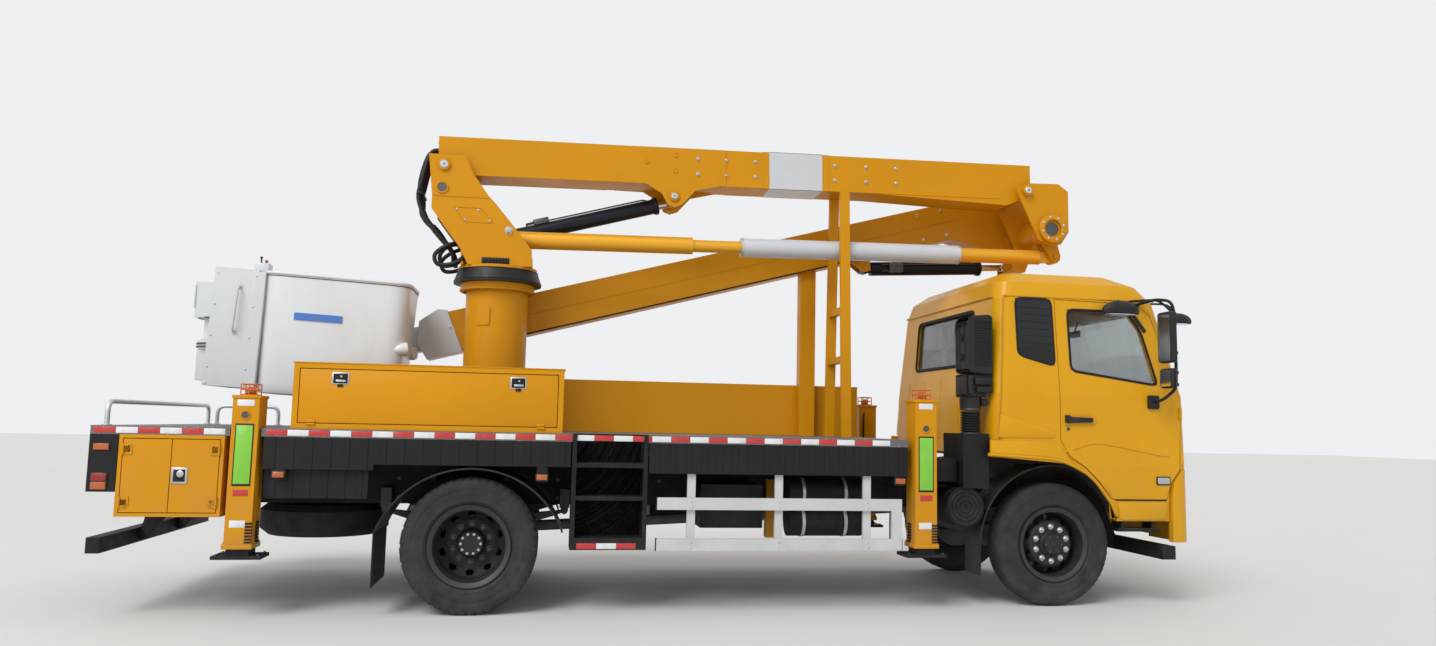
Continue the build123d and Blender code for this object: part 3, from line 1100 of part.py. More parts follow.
# Boom rests: a splayed pair of uprights under the lower boom, and a short post for the upper boom.
REST_X = RA + 3160
REST_WIDTH = 90
REST_TOP_Y = 170
REST_FOOT_Y = 290
REST_THICK = 38
slope = radians(LOWER_BOOM_ANGLE)
rest_low = REST_X - REST_WIDTH / 2 - SHOULDER_X
REST_TOP = SHOULDER_Z + rest_low * sin(slope) / cos(slope) - LOWER_BOOM_BELOW / cos(slope) - SEAT_GAP
POST_X = RA + 2990
with BuildPart() as boom_rests:
    for side in (-1, 1):
        section(
            [
                (side * REST_FOOT_Y, DECK_TOP), (side * (REST_FOOT_Y - REST_THICK), DECK_TOP),
                (side * (REST_TOP_Y - REST_THICK / 2), REST_TOP - 120),
                (side * (REST_TOP_Y - REST_THICK / 2), REST_TOP),
                (side * (REST_TOP_Y + REST_THICK / 2), REST_TOP),
                (side * (REST_TOP_Y + REST_THICK / 2), REST_TOP - 120),
            ],
            REST_X - REST_WIDTH / 2,
            REST_X + REST_WIDTH / 2,
        )
    for z in (2010, 2460):
        block(REST_X - 30, REST_X + 30, -220, 220, z, z + 60)
    post_y = UPPER_BOOM_Y
    under = HINGE_Z - (HINGE_X - POST_X) * sin(radians(UPPER_BOOM_ANGLE)) / cos(radians(UPPER_BOOM_ANGLE))
    POST_TOP = under + UPPER_LOW / cos(radians(UPPER_BOOM_ANGLE))
    rise = 75 * sin(radians(UPPER_BOOM_ANGLE)) / cos(radians(UPPER_BOOM_ANGLE))
    plate(
        [
            (POST_X - 75, DECK_TOP), (POST_X + 75, DECK_TOP), (POST_X + 75, POST_TOP + rise - SEAT_GAP),
            (POST_X - 75, POST_TOP - rise - SEAT_GAP),
        ],
        post_y - 60,
        post_y + 60,
    )
boom_rests.part.label = "boom_rests"
export_step(boom_rests.part, "parts/boom_rests.step")

# Outrigger beams with their jack tubes, and the jack legs.
BEAM_INNER = 950
LEG_GAP = 5
LEG_WIDTH = JACK_WIDTH - 2 * (JACK_WALL + LEG_GAP)
LEG_DEPTH = JACK_DEPTH - 2 * (JACK_WALL + LEG_GAP)
PAD_DEPTH = 60
for name, side, x, jack_top in OUTRIGGERS:
    with BuildPart() as beam:
        half = JACK_WIDTH / 2
        block(x - half, x + half, *span(side, JACK_FACE - JACK_DEPTH, JACK_FACE), JACK_BOTTOM, jack_top)
        half = JACK_WIDTH / 2 - JACK_WALL
        low, high = span(side, JACK_FACE - JACK_DEPTH + JACK_WALL, JACK_FACE - JACK_WALL)
        block(x - half, x + half, low, high, JACK_BOTTOM, jack_top - 12, mode=Mode.SUBTRACT)
        pad = LEG_GAP - SEAT_GAP
        block(x - half, x - half + pad, low, high, JACK_BOTTOM, JACK_BOTTOM + PAD_DEPTH)
        block(x + half - pad, x + half, low, high, JACK_BOTTOM, JACK_BOTTOM + PAD_DEPTH)
        half = SLIDE_BEAM_WIDTH / 2
        inner_end, outer_end = -side * BEAM_INNER, side * (JACK_FACE - JACK_DEPTH)
        z_low = HOUSING_MIDDLE - SLIDE_BEAM_DEPTH / 2
        z_high = HOUSING_MIDDLE + SLIDE_BEAM_DEPTH / 2
        block(x - half, x + half, *sorted((inner_end, outer_end)), z_low, z_high)
        wall = 10
        block(
            x - half + wall, x + half - wall, *sorted((inner_end, outer_end)), z_low + wall, z_high - wall,
            mode=Mode.SUBTRACT,
        )
    beam.part.label = f"outrigger_{name}"
    export_step(beam.part, f"parts/outrigger_{name}.step")
    with BuildPart() as leg:
        y = side * (JACK_FACE - JACK_DEPTH / 2)
        block(
            x - LEG_WIDTH / 2, x + LEG_WIDTH / 2, y - LEG_DEPTH / 2, y + LEG_DEPTH / 2,
            LEG_BOTTOM + FOOT_THICK, jack_top - 40,
        )
        block(
            x - FOOT_LENGTH / 2, x + FOOT_LENGTH / 2, y - FOOT_WIDTH / 2, y + FOOT_WIDTH / 2,
            LEG_BOTTOM, LEG_BOTTOM + FOOT_THICK,
        )
    leg.part.label = f"jack_leg_{name}"
    export_step(leg.part, f"parts/jack_leg_{name}.step")

# Wheels: each is revolved round its axle as one body of tyre, rim and hub.
FRONT_WHEEL_Y = FRONT_TYRE_OUTER - TYRE_WIDTH / 2
REAR_OUTER_Y = REAR_TYRE_OUTER - TYRE_WIDTH / 2
REAR_INNER_Y = REAR_OUTER_Y - TWIN_SPACING
REAR_DISC_Y = (REAR_OUTER_Y + REAR_INNER_Y) / 2


def wheel_ring(x, side, y):
    """A tyre on its rim, as a ring round the axle."""
    half = TYRE_WIDTH / 2
    tread = half - 20
    inner = RIM_RADIUS - 40
    with BuildSketch(Plane.YZ.offset(x)) as ring:
        with BuildLine():
            Polyline(
                (side * y - half + 20, TYRE_RADIUS + inner),
                (side * y - half + 20, TYRE_RADIUS + RIM_RADIUS),
                (side * y - half, TYRE_RADIUS + TYRE_RADIUS - 80),
                (side * y - half + 6, 2 * TYRE_RADIUS - 30),
                (side * y - tread + 14, 2 * TYRE_RADIUS), (side * y + tread - 14, 2 * TYRE_RADIUS),
                (side * y + half - 6, 2 * TYRE_RADIUS - 30), (side * y + half, 2 * TYRE_RADIUS - 80),
                (side * y + half - 20, TYRE_RADIUS + RIM_RADIUS),
                (side * y + half - 20, TYRE_RADIUS + inner),
                close=True,
            )
        make_face()
    revolve(ring.sketch, axis=Axis((x, 0, TYRE_RADIUS), (0, 1, 0)))


def wheel_disc(x, side, profile):
    """A dished disc and hub, from rows of radius and distance out from the truck's middle."""
    with BuildSketch(Plane.YZ.offset(x)) as disc:
        with BuildLine():
            Polyline(*[(side * y, TYRE_RADIUS + r) for r, y in profile], close=True)
        make_face()
    revolve(disc.sketch, axis=Axis((x, 0, TYRE_RADIUS), (0, 1, 0)))


FRONT_DISC = FRONT_WHEEL_Y + 70
HUB_FACE = FRONT_WHEEL_Y - 60
AXLE_GAP = 0.3
for name, side in (("right", -1), ("left", 1)):
    with BuildPart() as front_wheel:
        wheel_ring(FA, side, FRONT_WHEEL_Y)
        wheel_disc(
            FA, side,
            (
                (0, FRONT_DISC - 30), (170, FRONT_DISC - 30),
                (230, FRONT_DISC - 50), (258, FRONT_DISC - 110),
                (258, FRONT_DISC - 96), (240, FRONT_DISC - 34),
                (180, FRONT_DISC - 14), (105, FRONT_DISC - 14),
                (95, FRONT_DISC + 10), (0, FRONT_DISC + 14),
            ),
        )
        wheel_disc(FA, side, ((0, HUB_FACE), (160, HUB_FACE), (160, FRONT_DISC - 28), (0, FRONT_DISC - 28)))
    front_wheel.part.label = f"front_wheel_{name}"
    export_step(front_wheel.part, f"parts/front_wheel_{name}.step")
    with BuildPart() as rear_wheel:
        wheel_ring(RA, side, REAR_OUTER_Y)
        wheel_ring(RA, side, REAR_INNER_Y)
        wheel_disc(
            RA, side,
            (
                (0, REAR_DISC_Y - 14), (180, REAR_DISC_Y - 14),
                (235, REAR_DISC_Y + 20), (262, REAR_DISC_Y + 75),
                (262, REAR_DISC_Y + 92), (228, REAR_DISC_Y + 40),
                (175, REAR_DISC_Y + 6), (110, REAR_DISC_Y + 6),
                (100, REAR_DISC_Y + 105), (0, REAR_DISC_Y + 110),
            ),
        )
        wheel_disc(
            RA, side,
            (
                (185, REAR_DISC_Y - 4), (185, REAR_INNER_Y - 105),
                (205, REAR_INNER_Y - 105), (205, REAR_DISC_Y - 20),
                (262, REAR_DISC_Y - 85), (262, REAR_DISC_Y - 68), (215, REAR_DISC_Y - 4),
            ),
        )
        wheel_disc(
            RA, side,
            ((0, REAR_HUB_FACE + AXLE_GAP), (205, REAR_HUB_FACE + AXLE_GAP), (205, 665), (0, 665)),
        )
    rear_wheel.part.label = f"rear_wheel_{name}"
    export_step(rear_wheel.part, f"parts/rear_wheel_{name}.step")

    # Steering knuckle: a fork round the axle's eye, the kingpin, the spindle and the backing plate.
    with BuildPart() as knuckle:
        y = side * KINGPIN_Y
        for z_low, z_high in (
            (TYRE_RADIUS + EYE_HALF + PIN_GAP, TYRE_RADIUS + EYE_HALF + 34),
            (TYRE_RADIUS - EYE_HALF - 34, TYRE_RADIUS - EYE_HALF - PIN_GAP),
        ):
            rod((FA, y, z_low), (FA, y, z_high), 48)
            block(FA - 48, FA + 48, *span(side, KINGPIN_Y, KINGPIN_Y + 85), z_low, z_high)
        rod((FA, y, TYRE_RADIUS - EYE_HALF - 34), (FA, y, TYRE_RADIUS + EYE_HALF + 34), KINGPIN_RADIUS)
        block(
            FA - 48, FA + 48, *span(side, KINGPIN_Y + 56, KINGPIN_Y + 85),
            TYRE_RADIUS - EYE_HALF - 34, TYRE_RADIUS + EYE_HALF + 34,
        )
        cross_pin(FA, TYRE_RADIUS, 60, *span(side, KINGPIN_Y + 80, HUB_FACE - AXLE_GAP))
        plate(
            [
                (FA - 260, TYRE_RADIUS - 100), (FA, TYRE_RADIUS - 86), (FA + 40, TYRE_RADIUS - 86),
                (FA + 40, TYRE_RADIUS - 62), (FA - 255, TYRE_RADIUS - 76),
            ],
            *span(side, KINGPIN_Y - 20, KINGPIN_Y + 20),
        )
    knuckle.part.label = f"knuckle_{name}"
    export_step(knuckle.part, f"parts/knuckle_{name}.step")

# Cab body: lofted from plan sections, each with a bowed front and rounded corners.
# Each row is a section: height, rear edge and front edge from the front axle, half width and
# corner radius.
CAB_SECTIONS = (
    (700, -565, 1290, 1150, 90),
    (1150, -565, FRONT_OVERHANG, 1175, 100),
    (1740, -550, FRONT_OVERHANG - 12, 1175, 110),
    (2540, -485, FRONT_OVERHANG - 215, 1095, 120),
    (2690, -450, FRONT_OVERHANG - 340, 1040, 130),
    (2780, -330, FRONT_OVERHANG - 540, 920, 130),
)
CAB_BOW = 150
CAB_WALL = 50


def cab_form(inset, floor, roof_drop):
    """The cab's outer form moved in all round by an inset, between a floor and the roof."""
    rows = [row for row in CAB_SECTIONS if row[0] > floor]
    below = max((row for row in CAB_SECTIONS if row[0] <= floor), key=lambda row: row[0])
    above = rows[0]
    share = (floor - below[0]) / (above[0] - below[0])
    start = [low + share * (high - low) for low, high in zip(below, above)]
    rows = [tuple(start)] + rows
    faces = []
    for index, (z, rear, front, half, corner) in enumerate(rows):
        last = index == len(rows) - 1
        x_rear, x_front, y_half = FA + rear + inset, FA + front - inset, half - inset
        height = z - roof_drop if last else z
        with BuildSketch(Plane.XY.offset(height)) as face:
            with BuildLine():
                Line((x_rear, -y_half), (x_front - CAB_BOW, -y_half))
                ThreePointArc((x_front - CAB_BOW, -y_half), (x_front, 0), (x_front - CAB_BOW, y_half))
                Line((x_front - CAB_BOW, y_half), (x_rear, y_half))
                Line((x_rear, y_half), (x_rear, -y_half))
            make_face()
            fillet(face.vertices(), max(corner - inset, 30))
        faces.append(face.sketch)
    loft(faces, ruled=True)


CAB_FLOOR = 1200
ARCH_REAR_Z = 1230
DOOR_REAR = FA + 20
DOOR_OUTLINE = [
    (DOOR_REAR, 2545), (DOOR_REAR, 1360), (FA + 100, 1215), (FA + 250, 1130),
    (FA + 370, 1010), (FA + 470, 890),
    (FA + 500, 875), (FA + 990, 875), (FA + 1030, 1020), (FA + 1105, 1120),
    (FA + 1135, 1700), (FA + 900, 2440),
    (FA + 780, 2530),
]
DOOR_WINDOW = [
    (FA + 135, 2460), (FA + 135, 1940), (FA + 920, 1835), (FA + 800, 2300),
    (FA + 700, 2440), (FA + 640, 2460),
]
QUARTER_WINDOW = [(FA - 330, 2540), (FA - 330, 2080), (FA - 290, 2050), (FA - 10, 1975), (FA - 10, 2540)]
WINDSCREEN = [(-1010, 1800), (1010, 1800), (900, 2510), (-900, 2510)]
REAR_WINDOW = [(-650, 2000), (650, 2000), (650, 2470), (-650, 2470)]
GLASS_THICK = 6
GLASS_INSET = 20
BUMPER_TOP = 1130
BUMPER_REAR = FA + 1010

with BuildPart() as cab_outer:
    cab_form(0, 700, 0)
with BuildPart() as cab_inner:
    cab_form(CAB_WALL, CAB_FLOOR + CAB_WALL, CAB_WALL)
with BuildPart() as cab_skin:
    add(cab_outer.part)
    add(cab_inner.part, mode=Mode.SUBTRACT)
    block(FA - 700, FA + 1180, -1090, 1090, 600, CAB_FLOOR, mode=Mode.SUBTRACT)
with BuildPart() as glass_skin:
    with BuildPart(mode=Mode.PRIVATE) as glass_outer:
        cab_form(GLASS_INSET, 1250, GLASS_INSET)
    with BuildPart(mode=Mode.PRIVATE) as glass_inner:
        cab_form(GLASS_INSET + GLASS_THICK, 1250, GLASS_INSET + GLASS_THICK)
    add(glass_outer.part)
    add(glass_inner.part, mode=Mode.SUBTRACT)

with BuildPart() as cab_shell:
    add(cab_skin.part)
    plate(
        [
            (FA - 700, 600), (FA - 700, ARCH_REAR_Z), (FA - 620, ARCH_REAR_Z),
            (FA + 10, 1200), (FA + 280, 1080),
            (FA + 460, 870), (FA + 530, 730), (FA + 530, 600),
        ],
        -1300,
        1300,
        mode=Mode.SUBTRACT,
    )
    plate(DOOR_OUTLINE, -1300, -900, mode=Mode.SUBTRACT)
    plate(DOOR_OUTLINE, 900, 1300, mode=Mode.SUBTRACT)
    plate(QUARTER_WINDOW, -1300, 1300, mode=Mode.SUBTRACT)
    section(WINDSCREEN, FA + 700, FA + 1500, mode=Mode.SUBTRACT, corner=60)
    section(REAR_WINDOW, FA - 700, FA - 300, mode=Mode.SUBTRACT, corner=60)
    block(BUMPER_REAR, FRONT_X + 10, -1300, 1300, 600, BUMPER_TOP, mode=Mode.SUBTRACT)
    for z in (1240, 1340, 1440):
        block(FA + 1200, FRONT_X + 10, -620, 620, z, z + 60, mode=Mode.SUBTRACT)
cab_shell.part.label = "cab_shell"
export_step(cab_shell.part, "parts/cab_shell.step")

with BuildPart() as cab_glass:
    add(glass_skin.part)
    with BuildPart(mode=Mode.PRIVATE) as panes:
        plate(QUARTER_WINDOW, -1300, 1300)
        section(WINDSCREEN, FA + 700, FA + 1500, corner=60)
        section(REAR_WINDOW, FA - 700, FA - 300, corner=60)
    add(panes.part, mode=Mode.INTERSECT)
cab_glass.part.label = "cab_glass"
export_step(cab_glass.part, "parts/cab_glass.step")

MIRROR_OUT = 1395
for name, side in (("right", -1), ("left", 1)):
    low, high = span(side, 900, 1300)
    with BuildPart() as door:
        add(cab_skin.part)
        with BuildPart(mode=Mode.PRIVATE) as panel:
            with BuildSketch(Plane.XZ.offset(-high)) as face:
                with BuildLine():
                    Polyline(*DOOR_OUTLINE, close=True)
                make_face()
                offset(amount=-DOOR_GAP, kind=Kind.INTERSECTION)
            extrude(face.sketch, amount=high - low)
            plate(DOOR_WINDOW, low, high, mode=Mode.SUBTRACT)
        add(panel.part, mode=Mode.INTERSECT)
        floor_top = CAB_FLOOR + CAB_WALL + DOOR_GAP
        block(DOOR_REAR, FA + 1180, *span(side, 880, 1115), CAB_FLOOR, floor_top, mode=Mode.SUBTRACT)
    door.part.label = f"cab_door_{name}"
    export_step(door.part, f"parts/cab_door_{name}.step")
    with BuildPart() as door_glass:
        add(glass_skin.part)
        with BuildPart(mode=Mode.PRIVATE) as pane:
            plate(DOOR_WINDOW, low, high)
        add(pane.part, mode=Mode.INTERSECT)
    door_glass.part.label = f"door_glass_{name}"
    export_step(door_glass.part, f"parts/door_glass_{name}.step")
    with BuildPart() as mirror:
        y = side * MIRROR_OUT
        frame_points = [
            (FA + 830, side * 1190, 1720), (FA + 840, y, 1760), (FA + 900, y, 1840), (FA + 900, y, 2500),
            (FA + 840, y, 2560), (FA + 700, side * 1112, 2515),
        ]
        block(FA + 790, FA + 870, *span(side, 1175.3, 1200), 1695, 1738)
        block(FA + 665, FA + 735, *span(side, 1100, 1122), 2498, 2532)
        for start, end in zip(frame_points, frame_points[1:]):
            rod(start, end, 14)
        for point in frame_points[1:-1]:
            with Locations(point):
                Sphere(14)
        block(FA + 862, FA + 938, y - 95, y + 95, 2010, 2440)
        block(FA + 868, FA + 932, y - 85, y + 85, 1800, 1970)
    mirror.part.label = f"mirror_{name}"
    export_step(mirror.part, f"parts/mirror_{name}.step")

# Bumper: wraps round the lower front, with recesses for the headlamps.
LAMP_Y = 870
with BuildPart() as bumper:
    with BuildSketch(Plane.XY.offset(530)) as plan:
        with BuildLine():
            half = 1185
            front = FRONT_X
            Line((FA + 1000, -half), (front - CAB_BOW, -half))
            ThreePointArc((front - CAB_BOW, -half), (front, 0), (front - CAB_BOW, half))
            Line((front - CAB_BOW, half), (FA + 1000, half))
            Line((FA + 1000, half), (FA + 1000, -half))
        make_face()
        fillet(plan.vertices().group_by(Axis.X)[-1], 110)
    extrude(amount=BUMPER_TOP - SEAT_GAP - 530)
    block(FA + 900, FRONT_X - CAB_BOW - 60, -1125, 1125, 500, 1200, mode=Mode.SUBTRACT)
    block(FA + 1000, FRONT_X - 60, -700, 700, 500, 1200, mode=Mode.SUBTRACT)
    plate(
        [
            (FA + 900, 500), (FA + 1020, 500), (FA + 1020, 880), (FA + 1040, 1015), (FA + 1115, 1125),
            (FA + 1115, 1200), (FA + 900, 1200),
        ],
        -1300,
        1300,
        mode=Mode.SUBTRACT,
    )
    for side in (-1, 1):
        block(
            FA + 1180, FRONT_X + 10, *span(side, LAMP_Y - 160, LAMP_Y + 160), 780, 960,
            mode=Mode.SUBTRACT,
        )
bumper.part.label = "bumper"
export_step(bumper.part, "parts/bumper.step")

# Lamps: headlamps, side markers, tail lamps and the flashers on the jacks' tops.
with BuildPart() as lamps:
    with BuildSketch(Plane.XY.offset(785)):
        with BuildLine():
            front = FRONT_X - 8
            Line((FA + 1180.3, -1050), (front - CAB_BOW, -1175))
            ThreePointArc((front - CAB_BOW, -1175), (front, 0), (front - CAB_BOW, 1175))
            Line((front - CAB_BOW, 1175), (FA + 1180.3, 1050))
            Line((FA + 1180.3, 1050), (FA + 1180.3, -1050))
        make_face()
    extrude(amount=170)
    with BuildPart(mode=Mode.PRIVATE) as sockets:
        for side in (-1, 1):
            block(FA + 1100, FRONT_X, *span(side, LAMP_Y - 159.7, LAMP_Y + 159.7), 780.3, 959.7)
    add(sockets.part, mode=Mode.INTERSECT)
    for side, x in MARKERS:
        block(x - 48, x + 48, *span(side, DECK_HALF + SEAT_GAP, DECK_HALF + 26), MARKER_LOW, MARKER_HIGH)
    for side in (-1, 1):
        block(REAR_X + 30, REAR_X + 130, *span(side, DECK_HALF + SEAT_GAP, DECK_HALF + 14), 895, 1010)
lamps.part.label = "lamps"
export_step(lamps.part, "parts/lamps.step")

# Air intake: a ribbed snorkel box behind the cab's right corner, and its bellows.
with BuildPart() as air_intake:
    block(FA - 850, FA - 600, -1150, -930, 1700, 2350)
    for index in range(8):
        z = 1880 + index * 52
        block(FA - 700, FA - 610, -1160, -1150, z, z + 26)
    rod((FA - 720, -1010, 1400), (FA - 720, -1010, 1700), 75)
air_intake.part.label = "air_intake"
export_step(air_intake.part, "parts/air_intake.step")

# Cab interior: a driver's seat on the left, a bench for two on the right, and the dashboard with
# the steering wheel on its column.
SEAT_TOP = 1620
STEER_Y = 505
with BuildPart() as cab_interior:
    for y_low, y_high in ((230, 780), (-820, 100)):
        block(FA - 250, FA + 270, y_low, y_high, SEAT_TOP - 160, SEAT_TOP)
        block(FA - 220, FA + 240, y_low + 60, y_high - 60, CAB_FLOOR + CAB_WALL, SEAT_TOP - 160)
        plate(
            [
                (FA - 250, SEAT_TOP), (FA - 120, SEAT_TOP), (FA - 290, SEAT_TOP + 620),
                (FA - 390, SEAT_TOP + 620),
            ],
            y_low,
            y_high,
        )
    plate(
        [
            (FA + 900, CAB_FLOOR + CAB_WALL), (FA + 1060, CAB_FLOOR + CAB_WALL), (FA + 1100, 1700),
            (FA + 1000, 1780), (FA + 800, 1740), (FA + 760, 1640), (FA + 860, 1560),
        ],
        -1020,
        1020,
    )
    rod((FA + 830, STEER_Y, 1600), (FA + 590, STEER_Y, 1850), 28)
    with BuildSketch(Plane(origin=(FA + 590, STEER_Y, 1850), z_dir=(-0.69, 0, 0.72))) as steering_wheel:
        Circle(235)
        Circle(205, mode=Mode.SUBTRACT)
        Rectangle(420, 40)
        Circle(50)
    extrude(steering_wheel.sketch, amount=22)
cab_interior.part.label = "cab_interior"
export_step(cab_interior.part, "parts/cab_interior.step")
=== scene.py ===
"""Cherry picker truck: finishes, fittings and studio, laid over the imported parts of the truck."""
from math import cos, pi, radians, sin, sqrt

import bmesh
import bpy
from bpy.props import FloatProperty, FloatVectorProperty, IntProperty, PointerProperty
from mathutils import Euler, Matrix, Vector


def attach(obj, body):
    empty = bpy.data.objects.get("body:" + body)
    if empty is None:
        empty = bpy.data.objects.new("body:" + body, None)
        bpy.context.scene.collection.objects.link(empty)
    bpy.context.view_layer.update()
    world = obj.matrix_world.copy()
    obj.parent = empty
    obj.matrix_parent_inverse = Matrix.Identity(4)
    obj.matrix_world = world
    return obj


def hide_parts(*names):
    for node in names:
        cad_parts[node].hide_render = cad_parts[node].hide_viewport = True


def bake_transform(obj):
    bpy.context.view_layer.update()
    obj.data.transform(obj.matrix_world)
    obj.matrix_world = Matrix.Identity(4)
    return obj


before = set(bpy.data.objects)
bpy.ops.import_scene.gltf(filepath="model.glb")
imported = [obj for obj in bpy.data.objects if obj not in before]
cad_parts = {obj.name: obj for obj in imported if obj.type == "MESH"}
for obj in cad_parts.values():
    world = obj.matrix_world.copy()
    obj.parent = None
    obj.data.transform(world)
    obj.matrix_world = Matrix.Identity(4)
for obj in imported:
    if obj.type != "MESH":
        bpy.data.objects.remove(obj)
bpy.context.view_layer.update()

bl_info = {
    "name": "Cherry Picker Truck",
    "version": (1, 0, 0),
    "blender": (4, 5, 0),
    "location": "3D View > Sidebar > Truck",
    "description": "Finishes, fittings and studio for a cherry picker truck",
    "category": "Object",
}

# Places and sizes are in metres: X forward along the truck, Y to its left, Z up.
UP, AHEAD = (0, 0, 1), (1, 0, 0)
REAR_AXLE = -1.71
FRONT_AXLE = 2.99
TYRE_RADIUS = 0.5
FRONT_TYRE_Y = 0.965
REAR_TYRES_Y = (1.075, 0.765)
RIM_RADIUS = 0.296
DISC_THICK = 0.012
NUT_WIDTH = 0.036
DECK_TOP = 1.34
DECK_HALF = 1.22
DECK_REAR = -4.31
DECK_FRONT = REAR_AXLE + 3.38
DECK_EDGE = 0.06
COLUMN_X = REAR_AXLE + 0.065
TURNTABLE_HALF = 0.255
SHOULDER = Vector((REAR_AXLE - 0.41, 0, 3.59))
ELBOW = Vector((3.21019, 0, 3.68304))
HINGE = Vector((3.46019, 0, 3.33304))
LOWER_SLOPE = radians(1)
LOWER_HALF = 0.165
LOWER_BELOW = 0.062
LOWER_ABOVE = 0.272
UPPER_SLOPE = radians(15)
UPPER_Y = (0.39, 0.63)
UPPER_RISE = (0.169, 0.535)
BARREL_RADIUS = 0.068
BASKET_TOP = Vector((REAR_AXLE - 0.62, -0.05, 2.535))
BASKET_PITCH = radians(2.8)
BASKET_SIZE = Vector((1.16, 0.7, 0.98))
JACKS = {
    "rear_right": (-1, -3.295, 1.57), "rear_left": (1, -3.105, 1.57),
    "front_right": (-1, 1.81, 1.66), "front_left": (1, 2.09, 1.66),
}
JACK_HALF = 0.09
JACK_OUTER = 1.25
JACK_DEPTH = 0.2
JACK_BOTTOM = 0.49
BOX_FACE = 1.2
REAR_BOX_FACE = -1.22
TAPE_THICK = 0.0025
GUARD_BAR = 0.0045
GUARD_HEIGHTS = (0.006, 0.044, 0.082)
# Sections of the cab: height, rear edge and front edge from the front axle, and half width.
CAB_SECTIONS = (
    (0.7, -0.565, 1.29, 1.15), (1.15, -0.565, 1.32, 1.175), (1.74, -0.55, 1.308, 1.175),
    (2.54, -0.485, 1.105, 1.095), (2.69, -0.45, 0.98, 1.04), (2.78, -0.33, 0.78, 0.92),
)
CAB_BOW = 0.15
DOOR_WINDOW = ((0.135, 2.46), (0.135, 1.94), (0.92, 1.835), (0.8, 2.3), (0.7, 2.44), (0.64, 2.46))
QUARTER_WINDOW = ((-0.33, 2.54), (-0.33, 2.08), (-0.29, 2.05), (-0.01, 1.975), (-0.01, 2.54))
SIDES = (("right", -1), ("left", 1))
# Faces that meet at a sharper turn than this keep their edge.
SHARP_TURN = radians(38)
# Radians that the wave of the woven cloth turns in a metre.
THREAD_TURNS = 2600


# Settings a user can change.
def colour_setting(name, description, start):
    """A colour that a user can change, with the one it starts from."""
    return FloatVectorProperty(
        name=name, description=description, subtype="COLOR", size=3, min=0, max=1, default=start)


def length_setting(name, description, low, high, start):
    """A length that a user can change, its limits and the one it starts from."""
    return FloatProperty(name=name, description=description, unit="LENGTH", min=low, max=high, default=start)


class TruckColours(bpy.types.PropertyGroup):
    """Base colours of the truck's finishes."""

    boom_yellow: colour_setting(
        "Boom yellow", "Enamel on the booms, column, deck boxes and jacks", (0.66, 0.285, 0.002))
    cab_yellow: colour_setting("Cab yellow", "Enamel on the cab, its doors and the bumper", (0.72, 0.355, 0.004))
    gel_white: colour_setting(
        "Gel coat white", "Moulded glass fibre of the basket and its covers", (0.72, 0.755, 0.78))
    insulator_white: colour_setting(
        "Insulator white", "Insulating lengths of the lower boom and the levelling rod", (0.6, 0.62, 0.645))
    guard_white: colour_setting(
        "Guard white", "Side guards and the hoops at the rear of the deck", (0.62, 0.635, 0.64))
    frame_black: colour_setting("Chassis black", "Satin paint of the frame, skirts and steps", (0.006, 0.006, 0.007))
    plastic_black: colour_setting(
        "Trim black", "Moulded black trim, mirrors and the air intake", (0.009, 0.009, 0.01))
    tyre_black: colour_setting("Tyre rubber", "Rubber of the tyres and the mud flaps", (0.02, 0.02, 0.02))
    cylinder_navy: colour_setting("Cylinder navy", "Paint of the hydraulic barrels", (0.012, 0.014, 0.022))
    machine_grey: colour_setting("Machine grey", "Cast parts of the engine and the axles", (0.1, 0.105, 0.11))
    seat_cloth: colour_setting("Seat cloth", "Woven cloth of the cab seats", (0.07, 0.072, 0.078))
    label_blue: colour_setting("Label blue", "Blank label on the side of the basket", (0.03, 0.16, 0.52))
    panel_green: colour_setting("Panel green", "Blank reflective panel on each jack", (0.2, 0.56, 0.03))
    tape_red: colour_setting("Tape red", "Red lengths of the reflective tape", (0.5, 0.02, 0.018))
    lamp_orange: colour_setting("Lamp orange", "Lenses of the marker lamps and the flashers", (0.85, 0.2, 0.02))
    glass_tint: colour_setting("Glass tint", "Tint of the cab windows", (0.1, 0.13, 0.13))


class TruckSizes(bpy.types.PropertyGroup):
    """Sizes of the truck's fittings."""

    groove_depth: length_setting("Tread groove", "Depth of the grooves in the tyres", 0.002, 0.02, 0.012)
    hand_holes: IntProperty(
        name="Hand holes", description="Openings round each wheel disc", min=4, max=16, default=10)
    wheel_nuts: IntProperty(
        name="Wheel nuts", description="Nuts round each hub", min=6, max=12, default=10)
    bolt_size: length_setting("Bolt size", "Width across the heads of the boom's bolts", 0.01, 0.05, 0.026)
    tape_length: length_setting("Tape piece", "Length of one colour in the reflective tape", 0.05, 0.4, 0.148)
    tape_width: length_setting("Tape width", "Width of the reflective tape", 0.02, 0.055, 0.042)
    hose_radius: length_setting("Hose radius", "Outer radius of the hydraulic hoses", 0.005, 0.03, 0.02)
    seal_width: length_setting("Window rubber", "Half width of the rubber round the cab windows", 0.004, 0.02, 0.011)
    rim_roll: length_setting("Basket rim", "Radius of the rolled rim of the basket", 0.005, 0.03, 0.014)


